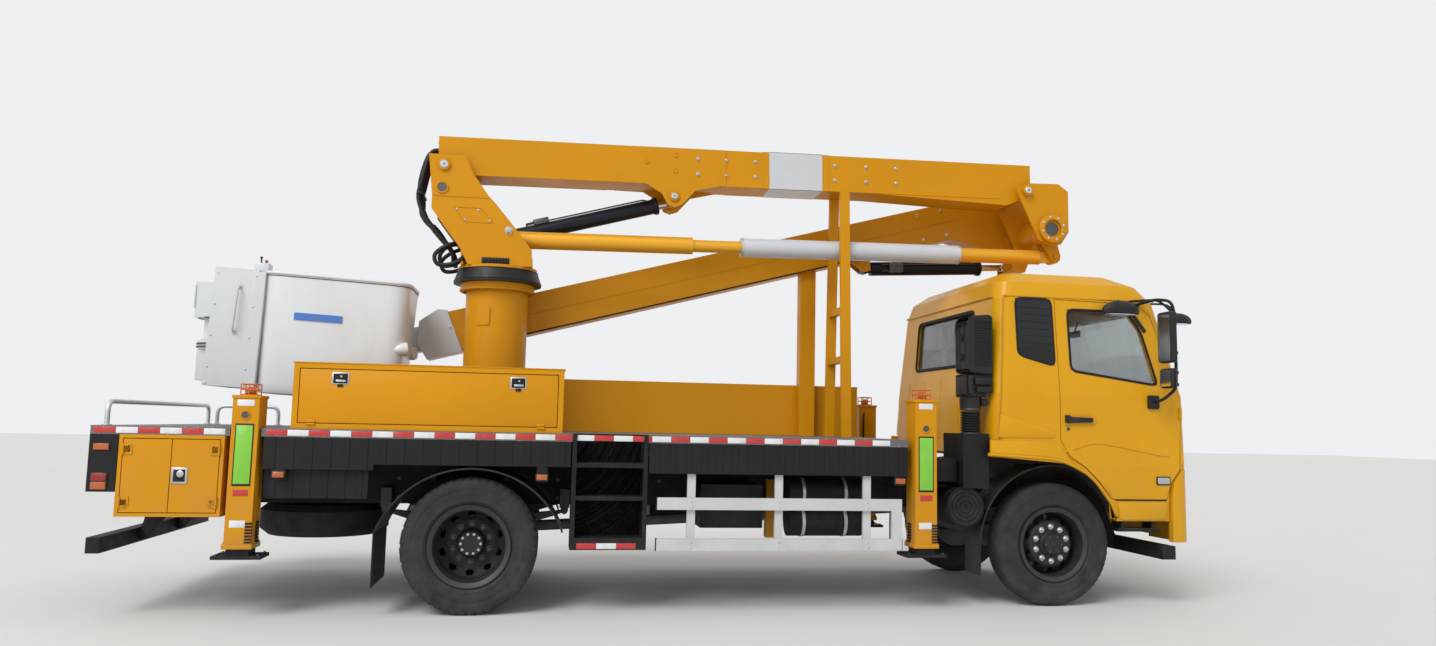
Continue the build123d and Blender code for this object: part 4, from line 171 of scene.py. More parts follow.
class StudioSettings(bpy.types.PropertyGroup):
    """Camera, floor and light of the studio."""

    camera_place: FloatVectorProperty(
        name="Camera place", description="Where the camera stands",
        subtype="TRANSLATION", unit="LENGTH", size=3, default=(-1.198, -8.798, 1.431))
    camera_yaw: FloatProperty(
        name="Camera yaw", description="Turn of the camera from square on, towards the cab",
        subtype="ANGLE", default=radians(9.79))
    camera_pitch: FloatProperty(
        name="Camera pitch", description="Tilt of the camera above level",
        subtype="ANGLE", default=radians(5.86))
    camera_roll: FloatProperty(
        name="Camera roll", description="Roll of the camera", subtype="ANGLE", default=radians(1.17))
    focal_length: FloatProperty(
        name="Focal length", description="Lens of the camera in millimetres", min=10, max=200, default=24.8)
    floor_colour: colour_setting("Floor colour", "Plain floor under the truck", (0.74, 0.74, 0.73))
    sun_strength: FloatProperty(
        name="Sun strength", description="Strength of the soft main light", min=0, max=10, default=1.5)
    sky_strength: FloatProperty(
        name="Sky strength", description="Strength of the even light all round", min=0, max=3, default=0.62)


def sizes():
    """The size settings of this scene."""
    return bpy.context.scene.truck_sizes


# How a finish is made.
def new_node(tree, kind, sockets=None, **settings):
    """A node with its settings; each socket is given a number or joined to another node's socket."""
    made = tree.nodes.new(kind)
    for setting, value in settings.items():
        setattr(made, setting, value)
    for socket, value in (sockets or {}).items():
        if isinstance(value, bpy.types.NodeSocket):
            tree.links.new(value, made.inputs[socket])
        else:
            made.inputs[socket].default_value = value
    return made


class Surface:
    """A finish under construction: one shader fed by patterns laid out in the truck's metres."""

    def __init__(self, name, colour, roughness, metallic=0, **fixed):
        self.material = bpy.data.materials.new(name)
        self.material.use_nodes = True
        self.tree = self.material.node_tree
        self.shader = self.tree.nodes["Principled BSDF"]
        self.colour = (*colour, 1)
        fixed.update(base_color=self.colour, roughness=roughness, metallic=metallic)
        for socket, value in fixed.items():
            self.shader.inputs[socket.replace("_", " ").title().replace("Ior", "IOR")].default_value = value
        self.place = self.node("ShaderNodeTexCoord").outputs["Object"]
        self.normal = None

    def node(self, kind, sockets=None, **settings):
        return new_node(self.tree, kind, sockets, **settings)

    def sum(self, kind, first, second):
        """One line of arithmetic on two patterns or numbers."""
        return self.node("ShaderNodeMath", {0: first, 1: second}, operation=kind).outputs[0]

    def noise(self, scale, detail=3, stretch=None):
        """Cloudy pattern; scale is in patches a metre."""
        place = self.place
        if stretch:
            place = self.node("ShaderNodeMapping", {"Scale": stretch, "Vector": place}).outputs["Vector"]
        return self.node("ShaderNodeTexNoise", {"Scale": scale, "Detail": detail, "Vector": place}).outputs["Fac"]

    def cells(self, scale, feature="F1"):
        sockets = {"Scale": scale, "Vector": self.place}
        return self.node("ShaderNodeTexVoronoi", sockets, feature=feature).outputs["Distance"]

    def axis(self, letter):
        """Distance along one of the truck's axes."""
        return self.node("ShaderNodeSeparateXYZ", {0: self.place}).outputs[letter]

    def upward(self):
        """1 on faces that look up, 0 on upright ones."""
        normal = self.node("ShaderNodeNewGeometry").outputs["Normal"]
        return self.span(self.node("ShaderNodeSeparateXYZ", {0: normal}).outputs["Z"], 0.3, 0.95)

    def span(self, value, low, high, start=0, end=1):
        """The pattern between two of its values, spread over a new range."""
        sockets = {"Value": value, "From Min": low, "From Max": high, "To Min": start, "To Max": end}
        return self.node("ShaderNodeMapRange", sockets).outputs["Result"]

    def tint(self, mask, colour):
        """Lays a second colour over the finish where the mask is 1."""
        sockets = {"Factor": mask, 6: self.colour, 7: (*colour, 1)}
        self.colour = self.node("ShaderNodeMix", sockets, data_type="RGBA").outputs[2]

    def clouds(self, scale, detail, low, high, most, colour, stretch=None):
        """Lays a second colour over the finish in cloudy patches, up to a share of it."""
        self.tint(self.span(self.noise(scale, detail, stretch), low, high, 0, most), colour)

    def roughen(self, mask, low, high):
        self.tree.links.new(self.span(mask, 0, 1, low, high), self.shader.inputs["Roughness"])

    def bump(self, mask, strength, distance):
        sockets = {"Strength": strength, "Distance": distance, "Height": mask}
        if self.normal:
            sockets["Normal"] = self.normal
        self.normal = self.node("ShaderNodeBump", sockets).outputs["Normal"]

    def soften(self, radius):
        """Rounds the light on sharp edges."""
        self.normal = self.node("ShaderNodeBevel", {"Radius": radius}, samples=4).outputs["Normal"]

    def dust(self, amount, low, high, colour=(0.27, 0.24, 0.2)):
        """Road dust: thick at one height, gone at another, and more on faces that look up."""
        fade = self.span(self.axis("Z"), low, high, 1, 0)
        patches = self.span(self.noise(7, 6), 0.35, 0.75)
        mask = self.sum("MULTIPLY", self.sum("MULTIPLY", fade, patches), amount)
        lying = self.sum("MULTIPLY", self.sum("MULTIPLY", self.upward(), patches), 0.35 * amount)
        mask = self.sum("MAXIMUM", mask, lying)
        self.tint(mask, colour)
        return mask

    def done(self):
        for socket, value in (("Base Color", self.colour), ("Normal", self.normal)):
            if isinstance(value, bpy.types.NodeSocket):
                self.tree.links.new(value, self.shader.inputs[socket])
        return self.material


def shade(colour, share):
    """The same colour, darker or lighter."""
    return tuple(min(1, part * share) for part in colour)


def enamel(name, colour, rough=0.34, dust=0.35, dust_top=2.2, coat=0.08, edge=0.004):
    """Sprayed paint: faint orange peel, cloudy colour, dust low down and faint rain streaks."""
    surface = Surface(name, colour, rough, coat_weight=coat, coat_roughness=0.12, specular_ior_level=0.18)
    surface.soften(edge)
    surface.clouds(1.3, 2, 0.3, 0.7, 0.5, shade(colour, 0.86))
    surface.clouds(3, 5, 0.52, 0.8, 0.05, shade(colour, 0.62), (9, 9, 0.7))
    dirt = surface.dust(dust, 0.35, dust_top)
    surface.roughen(surface.sum("ADD", surface.noise(5, 4), dirt), rough - 0.07, rough + 0.28)
    surface.bump(surface.noise(420, 2), 0.05, 0.0006)
    return surface.done()


def gel_coat(name, colour, dirt=0.12):
    """Moulded glass fibre: slow waves, fine pores and grey handling marks."""
    surface = Surface(name, colour, 0.3, coat_weight=0.25, coat_roughness=0.2)
    surface.soften(0.006)
    surface.clouds(2.2, 4, 0.4, 0.75, 0.5, shade(colour, 0.9))
    surface.clouds(6, 8, 0.56, 0.82, dirt, (0.28, 0.26, 0.23), (1, 1, 0.35))
    surface.roughen(surface.noise(8, 4), 0.22, 0.5)
    surface.bump(surface.noise(4.5, 2), 0.12, 0.01)
    surface.bump(surface.noise(600, 2), 0.06, 0.0005)
    return surface.done()


def satin_black(name, colour, dust=0.16, dust_top=1.3, rough=0.5):
    """Brushed on chassis paint under a film of road dust."""
    surface = Surface(name, colour, rough, specular_ior_level=0.3)
    surface.soften(0.004)
    surface.clouds(3, 5, 0.4, 0.8, 0.6, shade(colour, 2.2))
    dirt = surface.dust(dust, 0.2, dust_top, (0.16, 0.145, 0.125))
    surface.roughen(surface.sum("ADD", surface.noise(9, 5), dirt), rough - 0.1, rough + 0.35)
    surface.bump(surface.noise(140, 3), 0.12, 0.0012)
    return surface.done()


def moulded(name, colour, rough=0.45, grain=900, dust=0.15):
    """Grained trim plastic."""
    surface = Surface(name, colour, rough, specular_ior_level=0.35)
    surface.soften(0.003)
    surface.clouds(5, 3, 0.4, 0.75, 0.5, shade(colour, 1.8))
    dirt = surface.dust(dust, 0.5, 2.6, (0.2, 0.19, 0.17))
    surface.roughen(surface.sum("ADD", surface.noise(20, 3), dirt), rough - 0.08, rough + 0.25)
    surface.bump(surface.cells(grain), 0.16, 0.0006)
    return surface.done()


def rubber(name, colour, dust=0.32, dust_top=0.9):
    """Weathered rubber, brown with dust where it meets the road."""
    surface = Surface(name, colour, 0.78, specular_ior_level=0.35)
    surface.clouds(11, 6, 0.35, 0.8, 0.7, shade(colour, 2))
    surface.dust(dust, 0, dust_top, (0.17, 0.15, 0.13))
    surface.roughen(surface.noise(30, 4), 0.62, 0.92)
    surface.bump(surface.noise(260, 4), 0.2, 0.001)
    return surface.done()


def metal(name, colour, rough=0.3, metallic=1, stain=0.3):
    """Machined or plated metal with stains and fine scratches."""
    surface = Surface(name, colour, rough, metallic)
    surface.soften(0.002)
    surface.clouds(14, 6, 0.45, 0.8, stain, shade(colour, 0.45))
    surface.roughen(surface.noise(60, 5, (1, 8, 8)), rough - 0.1, rough + 0.2)
    surface.bump(surface.noise(500, 2, (1, 6, 6)), 0.05, 0.0004)
    return surface.done()


def lens(name, colour):
    """Ribbed lamp lens."""
    surface = Surface(name, colour, 0.12, transmission_weight=0.35, ior=1.49, coat_weight=0.6)
    surface.tint(surface.span(surface.cells(120), 0, 0.6, 0, 0.45), shade(colour, 0.45))
    surface.roughen(surface.noise(40, 3), 0.06, 0.28)
    surface.bump(surface.cells(160), 0.35, 0.002)
    return surface.done()


def window(name, colour, clear=0.55):
    """Tinted glass with a light film of dust."""
    surface = Surface(name, colour, 0.03, transmission_weight=0.9 if clear < 1 else 0, ior=1.45, alpha=clear)
    surface.clouds(5, 6, 0.45, 0.8, 0.25, shade(colour, 1.7))
    surface.roughen(surface.span(surface.noise(9, 6), 0.4, 0.8), 0.02, 0.14)
    return surface.done()


def cloth(name, colour):
    """Woven seat cloth with a crossed thread pattern and a soft sheen."""
    surface = Surface(name, colour, 0.9, sheen_weight=0.35, sheen_roughness=0.5)
    waves = [surface.sum("MULTIPLY", surface.axis(letter), THREAD_TURNS) for letter in "XYZ"]
    threads = [surface.sum("SINE", wave, 0) for wave in waves]
    weave = surface.sum("MULTIPLY", surface.sum("ADD", threads[0], threads[1]), threads[2])
    surface.tint(surface.span(weave, -1.5, 1.5, 0, 0.6), shade(colour, 1.9))
    surface.clouds(9, 4, 0.4, 0.8, 0.4, shade(colour, 0.6))
    surface.bump(weave, 0.25, 0.0008)
    return surface.done()


def chequer(name, colour, metallic=0, rough=0.45, pitch=0.032):
    """Tread plate: crossed raised dashes on a worn plate."""
    surface = Surface(name, colour, rough, metallic)
    turned = surface.node("ShaderNodeMapping", {"Rotation": (pi / 4,) * 3, "Vector": surface.place})
    bricks = surface.node("ShaderNodeTexChecker", {"Scale": 1 / pitch, "Vector": turned.outputs["Vector"]})
    dots = surface.span(surface.cells(1 / pitch), 0.18, 0.3, 1, 0)
    raised = surface.sum("MULTIPLY", dots, surface.span(bricks.outputs["Fac"], 0, 1, 0.45, 1))
    surface.tint(surface.sum("MULTIPLY", raised, 0.5), shade(colour, 2.6))
    surface.dust(0.5, 0.3, 1.6, (0.2, 0.18, 0.155))
    surface.roughen(surface.noise(8, 5), rough - 0.12, rough + 0.3)
    surface.bump(raised, 0.6, 0.003)
    return surface.done()


def reflector(name, colour):
    """Reflective sheet with its fine honeycomb."""
    surface = Surface(name, colour, 0.28, coat_weight=0.5)
    surface.tint(surface.span(surface.cells(260, "DISTANCE_TO_EDGE"), 0, 0.06, 0.45, 0), shade(colour, 1.5))
    surface.clouds(16, 6, 0.5, 0.85, 0.35, (0.2, 0.18, 0.16))
    surface.roughen(surface.noise(30, 3), 0.2, 0.5)
    surface.bump(surface.cells(260, "DISTANCE_TO_EDGE"), 0.1, 0.0005)
    return surface.done()


# Every finish of the truck: its maker, the colour setting or the colour that it starts from, how much
# of that colour it keeps, and what else the maker needs.
FINISHES = {
    "boom_enamel": (enamel, "boom_yellow", 1, dict(dust_top=1.4, dust=0.25)),
    "cab_enamel": (enamel, "cab_yellow", 1, dict(rough=0.26, coat=0.22, dust=0.15, dust_top=1.3, edge=0.008)),
    "navy_enamel": (enamel, "cylinder_navy", 1, dict(rough=0.26, dust=0.1)),
    "grey_enamel": (enamel, "machine_grey", 1, dict(rough=0.5, coat=0, dust=0.6, dust_top=1.3)),
    "white_enamel": (enamel, "guard_white", 1, dict(rough=0.32, dust=0.3, dust_top=1.2)),
    "basket_gel": (gel_coat, "gel_white", 1, {}),
    "cover_gel": (gel_coat, "gel_white", 0.88, dict(dirt=0.2)),
    "insulator": (gel_coat, "insulator_white", 1, dict(dirt=0.08)),
    "frame_paint": (satin_black, "frame_black", 1, {}),
    "skirt_paint": (satin_black, "frame_black", 1, dict(rough=0.42, dust=0.04)),
    "disc_paint": (satin_black, "frame_black", 2.4, dict(rough=0.4, dust=0.2, dust_top=1)),
    "trim": (moulded, "plastic_black", 1, {}),
    "cable_cover": (moulded, "plastic_black", 0.8, dict(rough=0.38, grain=1500)),
    "dashboard_grain": (moulded, "plastic_black", 2.2, dict(grain=1400, dust=0.02)),
    "tyre_rubber": (rubber, "tyre_black", 1, {}),
    "seal_rubber": (rubber, "plastic_black", 0.8, dict(dust=0.1, dust_top=2)),
    "polished_steel": (metal, (0.66, 0.67, 0.69), 1, dict(rough=0.16, stain=0.12)),
    "bright_steel": (metal, (0.55, 0.55, 0.56), 1, dict(rough=0.3)),
    "dark_steel": (metal, (0.12, 0.12, 0.125), 1, dict(rough=0.42)),
    "rim_steel": (metal, (0.05, 0.051, 0.053), 1, dict(rough=0.45, metallic=0.5, stain=0.5)),
    "zinc": (metal, (0.62, 0.64, 0.65), 1, dict(rough=0.4, metallic=0.75, stain=0.25)),
    "mirror_silver": (metal, (0.86, 0.88, 0.9), 1, dict(rough=0.12, stain=0.02)),
    "tread_plate": (chequer, (0.16, 0.16, 0.165), 1, dict(metallic=0.55)),
    "step_plate": (chequer, "frame_black", 1.6, dict(pitch=0.026)),
    "amber_lens": (lens, "lamp_orange", 1, {}),
    # Opaque near-black glass on the quarter windows: painted shade of the dark cab behind them.
    "glazing_black": (window, (0.008, 0.009, 0.01), 1, dict(clear=1)),
    "red_lens": (lens, (0.55, 0.012, 0.012), 1, {}),
    "clear_lens": (lens, (0.78, 0.8, 0.82), 1, {}),
    "tinted_glass": (window, "glass_tint", 1, {}),
    "door_glass": (window, "glass_tint", 3, dict(clear=0.22)),
    "guard_orange": (enamel, "lamp_orange", 0.9, dict(rough=0.4, dust=0.1)),
    "seat_weave": (cloth, "seat_cloth", 1, {}),
    "red_tape": (reflector, "tape_red", 1, {}),
    "white_tape": (reflector, (0.74, 0.75, 0.76), 1, {}),
    "green_sheet": (reflector, "panel_green", 1, {}),
    "blue_sheet": (reflector, "label_blue", 1, {}),
}


def finish(name):
    """The named finish, made the first time it is asked for."""
    made = bpy.data.materials.get(name)
    if made is None:
        maker, colour, share, settings = FINISHES[name]
        base = getattr(bpy.context.scene.truck_colours, colour) if isinstance(colour, str) else colour
        made = maker(name, shade(base, share), **settings)
    return made


# How a piece is made.
def bridge(part, one, two, closed=True):
    """Faces between two rows of points that run side by side."""
    for step in range(len(one) if closed else len(one) - 1):
        following = (step + 1) % len(one)
        part.faces.new((one[step], one[following], two[following], two[step]))


def circle(centre, radius, count, first=0, axis="Y"):
    """Evenly spaced points round a centre, on a circle that lies across an axis."""
    points = []
    for index in range(count):
        angle = first + 2 * pi * index / count
        across, up = radius * cos(angle), radius * sin(angle)
        points.append(Vector(centre) + Vector((across, 0, up) if axis == "Y" else (across, up, 0)))
    return points


class Form:
    """One piece under construction, in the truck's own metres."""

    def __init__(self, name):
        self.name = name
        self.mesh = bmesh.new()
        self.finishes = []

    def take(self, part, look, place=None):
        """Adds a part's faces in one finish."""
        if look not in self.finishes:
            self.finishes.append(look)
        if place is not None:
            bmesh.ops.transform(part, matrix=place, verts=part.verts)
        bmesh.ops.recalc_face_normals(part, faces=part.faces)
        for face in part.faces:
            face.material_index = self.finishes.index(look)
            face.smooth = True
        passing = bpy.data.meshes.new("passing")
        part.to_mesh(passing)
        part.free()
        self.mesh.from_mesh(passing)
        bpy.data.meshes.remove(passing)

    def block(self, low, high, look, edge=0.004, place=None):
        """A block with rounded edges between two corners."""
        low, high = Vector(low), Vector(high)
        part = bmesh.new()
        bmesh.ops.create_cube(part, size=1)
        size = Vector([abs(b - a) for a, b in zip(low, high)])
        bmesh.ops.scale(part, vec=size, verts=part.verts)
        bmesh.ops.translate(part, vec=(low + high) / 2, verts=part.verts)
        edge = min(edge, min(size) * 0.45)
        bmesh.ops.bevel(part, geom=part.edges[:], offset=edge, segments=2, profile=0.5, affect="EDGES")
        self.take(part, look, place)

    def plate(self, outline, across, low, high, look, edge=0.002, place=None):
        """An outline given on two axes, carried along the third between two values."""
        low, high = sorted((low, high))
        part = bmesh.new()
        corners = []
        for first, second in outline:
            point = {"X": (low, first, second), "Y": (first, low, second), "Z": (first, second, low)}[across]
            corners.append(part.verts.new(point))
        face = part.faces.new(corners)
        moved = bmesh.ops.extrude_face_region(part, geom=[face])["geom"]
        reach = Vector([high - low if letter == across else 0 for letter in "XYZ"])
        bmesh.ops.translate(part, vec=reach, verts=[v for v in moved if isinstance(v, bmesh.types.BMVert)])
        bmesh.ops.bevel(part, geom=part.edges[:], offset=edge, segments=1, profile=0.5, affect="EDGES")
        self.take(part, look, place)

    def laid(self, outline, side, proud, look, thick=0.014, edge=0.003):
        """A thin plate laid on the side of the cab; its outline is given from the front axle."""
        part = bmesh.new()
        rows = [[part.verts.new(cab_side(x, z, side, out)) for x, z in outline] for out in (proud - thick, proud)]
        bridge(part, *rows)
        for row in rows:
            part.faces.new(row)
        rim = [e for e in part.edges if all(v in rows[1] for v in e.verts)]
        bmesh.ops.bevel(part, geom=rim, offset=edge, segments=2, profile=0.5, affect="EDGES")
        self.take(part, look)

    def turned(self, profile, centre, direction, look, sides=32, shape=None, skip=None):
        """A profile of (radius, distance along) rows turned round an axis through a point."""
        part = bmesh.new()
        rings = []
        for row, (radius, along) in enumerate(profile):
            if radius < 1e-6:
                rings.append([part.verts.new((0, 0, along))])
                continue
            ring = []
            for step in range(sides):
                angle = 2 * pi * step / sides
                size = radius + (shape(row, step) if shape else 0)
                ring.append(part.verts.new((size * cos(angle), size * sin(angle), along)))
            rings.append(ring)
        for row, (one, two) in enumerate(zip(rings, rings[1:])):
            for step in range(sides):
                if skip and skip(row, step):
                    continue
                following = (step + 1) % sides
                if len(one) == 1:
                    part.faces.new((one[0], two[step], two[following]))
                elif len(two) == 1:
                    part.faces.new((one[step], two[0], one[following]))
                else:
                    part.faces.new((one[step], two[step], two[following], one[following]))
        turn = Vector(UP).rotation_difference(Vector(direction)).to_matrix().to_4x4()
        self.take(part, look, Matrix.Translation(Vector(centre)) @ turn)

    def rod(self, start, end, radius, look, sides=20, edge=0.002):
        """A round bar between two points."""
        start, end = Vector(start), Vector(end)
        length = (end - start).length
        edge = min(edge, radius * 0.4, length * 0.4)
        rows = [
            (0, 0), (radius - edge, 0), (radius, edge), (radius, length - edge), (radius - edge, length), (0, length)]
        self.turned(rows, start, end - start, look, sides)

    def bolt(self, place, direction, width, look="bright_steel"):
        """A hexagon head on its washer, with the end of the thread."""
        half = width / 2
        self.turned([(half * 1.35, 0), (half * 1.35, half * 0.22), (0, half * 0.22)], place, direction, look, 16)
        rows = [(half * 1.1, half * 0.2), (half * 1.1, half * 0.85), (half * 0.9, half * 1), (0, half * 1)]
        self.turned(rows, place, direction, look, 6)
        self.turned([(half * 0.5, half), (half * 0.5, half * 1.3), (0, half * 1.35)], place, direction, look, 10)

    def tube(self, points, radius, look, sides=10, loop=False, flatten=1, edge_on=None):
        """A round or flattened section carried through points."""
        points = [Vector(p) for p in points]
        count = len(points)
        part = bmesh.new()
        across = None
        rings = []
        for index, point in enumerate(points):
            before = points[index - 1] if index or loop else point
            after = points[(index + 1) % count] if index < count - 1 or loop else point
            ahead = (after - before).normalized()
            if across is None:
                across = Vector(edge_on) if edge_on else (Vector(UP) if abs(ahead.z) < 0.9 else Vector(AHEAD))
            across = (across - ahead * across.dot(ahead)).normalized()
            beside = ahead.cross(across)
            ring = []
            for step in range(sides):
                angle = 2 * pi * step / sides
                offset = across * cos(angle) * flatten + beside * sin(angle)
                ring.append(part.verts.new(point + offset * radius))
            rings.append(ring)
        pairs = list(zip(rings, rings[1:])) + ([(rings[-1], rings[0])] if loop else [])
        for one, two in pairs:
            bridge(part, one, two)
        if not loop:
            part.faces.new(rings[0])
            part.faces.new(rings[-1])
        self.take(part, look)

    def done(self, body, slot, replaces=()):
        """Closes the piece, sets it on its body and hides the imported parts it stands for."""
        data = bpy.data.meshes.new(self.name)
        self.mesh.to_mesh(data)
        self.mesh.free()
        for name in self.finishes:
            data.materials.append(finish(name))
        data.set_sharp_from_angle(angle=SHARP_TURN)
        piece = bpy.data.objects.new(self.name, data)
        bpy.context.scene.collection.objects.link(piece)
        if body:
            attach(piece, body)
        if replaces:
            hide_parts(*replaces)
        return piece


def rectangle(left, right, low, high):
    """The corners of a rectangle between two places and two heights."""
    return [(left, low), (right, low), (right, high), (left, high)]


def rounded(points, radius, steps=4, loop=True):
    """The corners of a path, in two or three values a point, eased into short bows."""
    points = [Vector(p) for p in points]
    eased = []
    count = len(points)
    for index, point in enumerate(points):
        if not loop and index in (0, count - 1):
            eased.append(point)
            continue
        before, after = points[index - 1] - point, points[(index + 1) % count] - point
        reach = min(radius, before.length * 0.45, after.length * 0.45)
        start, end = point + before.normalized() * reach, point + after.normalized() * reach
        for step in range(steps + 1):
            share = step / steps
            eased.append(start * (1 - share) ** 2 + point * 2 * share * (1 - share) + end * share ** 2)
    return eased


def smooth_path(points, steps=6):
    """A smooth path that runs through each of the points."""
    points = [Vector(p) for p in points]
    path = []
    for index in range(len(points) - 1):
        before = points[max(index - 1, 0)]
        start, end = points[index], points[index + 1]
        after = points[min(index + 2, len(points) - 1)]
        for step in range(steps):
            t = step / steps
            path.append(
                0.5 * (2 * start + (end - before) * t + (2 * before - 5 * start + 4 * end - after) * t * t
                       + (3 * start - before - 3 * end + after) * t ** 3)
            )
    path.append(points[-1])
    return path


def on_boom(distance, rise, y=0):
    """A point on the lower boom, from the shoulder pin along and above it."""
    return LOWER_FRAME @ Vector((distance, y, rise))


def on_upper(back, rise, y=0.51):
    """A point on the upper boom, from its hinge back along and above it."""
    return UPPER_FRAME @ Vector((-back, y, rise))


LOWER_FRAME = Matrix.Translation(SHOULDER) @ Matrix.Rotation(-LOWER_SLOPE, 4, "Y")
UPPER_FRAME = Matrix.Translation(HINGE) @ Matrix.Rotation(-UPPER_SLOPE, 4, "Y")
BASKET_FRAME = Matrix.Translation(BASKET_TOP) @ Matrix.Rotation(BASKET_PITCH, 4, "Y")


def cab_at(height):
    """Rear edge, front edge and half width of the cab at a height."""
    for low, high in zip(CAB_SECTIONS, CAB_SECTIONS[1:]):
        if height <= high[0]:
            share = max(0, (height - low[0]) / (high[0] - low[0]))
            return [a + share * (b - a) for a, b in zip(low[1:], high[1:])]
    return list(CAB_SECTIONS[-1][1:])


def cab_side(x, height, side, proud=0):
    """A point on the side of the cab; x is from the front axle."""
    return Vector((FRONT_AXLE + x, side * (cab_at(height)[2] + proud), height))


def along_cab(points, side, proud=0):
    """Points given from the front axle, set on the side of the cab."""
    return [cab_side(*point, side, proud) for point in points]


def cab_nose(y, height, proud=0):
    """A point on the bowed front of the cab."""
    front, half = cab_at(height)[1:]
    bow = (half ** 2 + CAB_BOW ** 2) / (2 * CAB_BOW)
    return Vector((FRONT_AXLE + front + proud - bow + sqrt(bow ** 2 - min(abs(y), half) ** 2), y, height))
# The truck's pieces.
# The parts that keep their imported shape, under the finish that each group takes.
PART_FINISHES = {
    "frame_paint": ["chassis_frame", "subframe", "chassis_boxes", "access_steps",
        *[f"jack_leg_{name}" for name in JACKS]],
    "grey_enamel": ["front_axle", "rear_axle", "engine_block", "knuckle_right", "knuckle_left"],
    "tread_plate": ["deck"],
    "skirt_paint": ["deck_skirt"],
    "trim": ["mudguards"],
    "white_enamel": ["side_guards"],
    "tyre_rubber": ["spare_wheel"],
    "boom_enamel": ["deck_toolboxes", "rear_toolbox", "rear_toolbox_door_rear",
        "rear_toolbox_door_front", "column", "turntable", "lower_boom", "elbow", "upper_boom",
        "boom_rests", *[f"outrigger_{name}" for name in JACKS]],
    "cable_cover": ["slewing_cover"],
    "cover_gel": ["boom_tip", "basket_mount"],
    "navy_enamel": ["lift_barrel", "fold_barrel"],
    "polished_steel": ["lift_ram", "fold_ram"],
    "cab_enamel": ["cab_shell", "cab_door_right", "cab_door_left", "bumper"],
    "tinted_glass": ["cab_glass"],
    "door_glass": ["door_glass_right", "door_glass_left"],
}


class TRUCK_OT_finishes(bpy.types.Operator):
    """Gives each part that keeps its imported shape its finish"""

    bl_idname = "truck.finishes"
    bl_label = "Part Finishes"

    def execute(self, context):
        for look, names in PART_FINISHES.items():
            for name in names:
                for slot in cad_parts[name].material_slots:
                    slot.material = finish(look)
        return {"FINISHED"}


def face_blocks(form, x, face, side, rows, edge):
    """Thin blocks on an upright side face.

    A row holds start and end along the truck, the two heights, how far out of the face the block
    starts and ends, and its finish.
    """
    for start, end, low, high, near, far, look in rows:
        form.block((x + start, face + side * near, low), (x + end, face + side * far, high), look, edge)


def tyre(form, x, y, side, lugs):
    """A tyre on its rim; lugs cuts the shoulders into blocks."""
    depth = sizes().groove_depth
    r, half = TYRE_RADIUS, 0.125
    rows = [(RIM_RADIUS + out, half - back) for out, back in (
        (-0.006, 0.032), (0.012, 0.02), (0.03, 0.008), (0.036, 0.004), (0.042, 0.006))]
    rows += [(radius, half - back) for radius, back in (
        (0.37, 0.001), (0.4, 0), (0.408, 0.003), (0.414, 0.003), (0.42, 0.001), (0.445, 0.004),
        (0.468, 0.011), (0.484, 0.02), (0.494, 0.032))]
    crown = []
    for middle in (0.071, 0.025):
        crown += [
            (r - 0.001, middle + 0.007), (r - depth, middle + 0.005), (r - depth, middle - 0.005),
            (r, middle - 0.007)]
    outer = rows + crown
    profile = outer + [(radius, -along) for radius, along in reversed(outer)]
    last = len(profile) - 1

    def blocks(row, step):
        near = min(row, last - row)
        if lugs and 10 <= near <= 14 and step % 4 == 0:
            return -depth * 0.9 * min(1, (near - 9) / 3)
        if not lugs and near in (12, 13) and step % 3 == 0:
            return -depth * 0.3
        if lugs and 15 < near < 20 and step % 8 == (0 if row < last / 2 else 4):
            return -depth * 0.5
        return 0

    form.turned(profile, (x, y, r), (0, side, 0), "tyre_rubber", 192, blocks)
    ring = [(RIM_RADIUS + out, along) for out, along in (
        (-0.03, half - 0.03), (-0.004, half - 0.03), (0.008, half - 0.014), (0.004, half - 0.006),
        (-0.012, half - 0.012), (-0.03, half - 0.022), (-0.042, half - 0.06), (-0.046, 0.07 - half),
        (-0.03, 0.03 - half), (0.006, 0.012 - half), (-0.012, 0.03 - half), (-0.03, half - 0.03))]
    form.turned(ring, (x, y, r), (0, side, 0), "rim_steel", 72)


def disc(form, centre, side, profile, hole_rows):
    """A dished wheel disc with openings round it; profile runs out from the hub.

    hole_rows gives how far the openings reach along each row, as a share of half their spacing.
    """
    steps = 12
    sides = sizes().hand_holes * steps

    def opening(row, step):
        across = (step % steps + 0.5) / steps
        return row in hole_rows and abs(across - 0.5) < hole_rows[row] / 4

    inner = [(radius, along - DISC_THICK) for radius, along in profile]
    for rows in (profile, inner):
        form.turned(rows, centre, (0, side, 0), "disc_paint", sides, None, opening)


def nut_ring(form, centre, side, radius, look):
    """Nuts on their studs round a hub."""
    count = sizes().wheel_nuts
    for place in circle(centre, radius, count, pi / count):
        form.bolt(place, (0, side, 0), NUT_WIDTH, look)
        form.rod(place, place + Vector((0, side * NUT_WIDTH * 0.9, 0)), NUT_WIDTH * 0.3, look, 10)


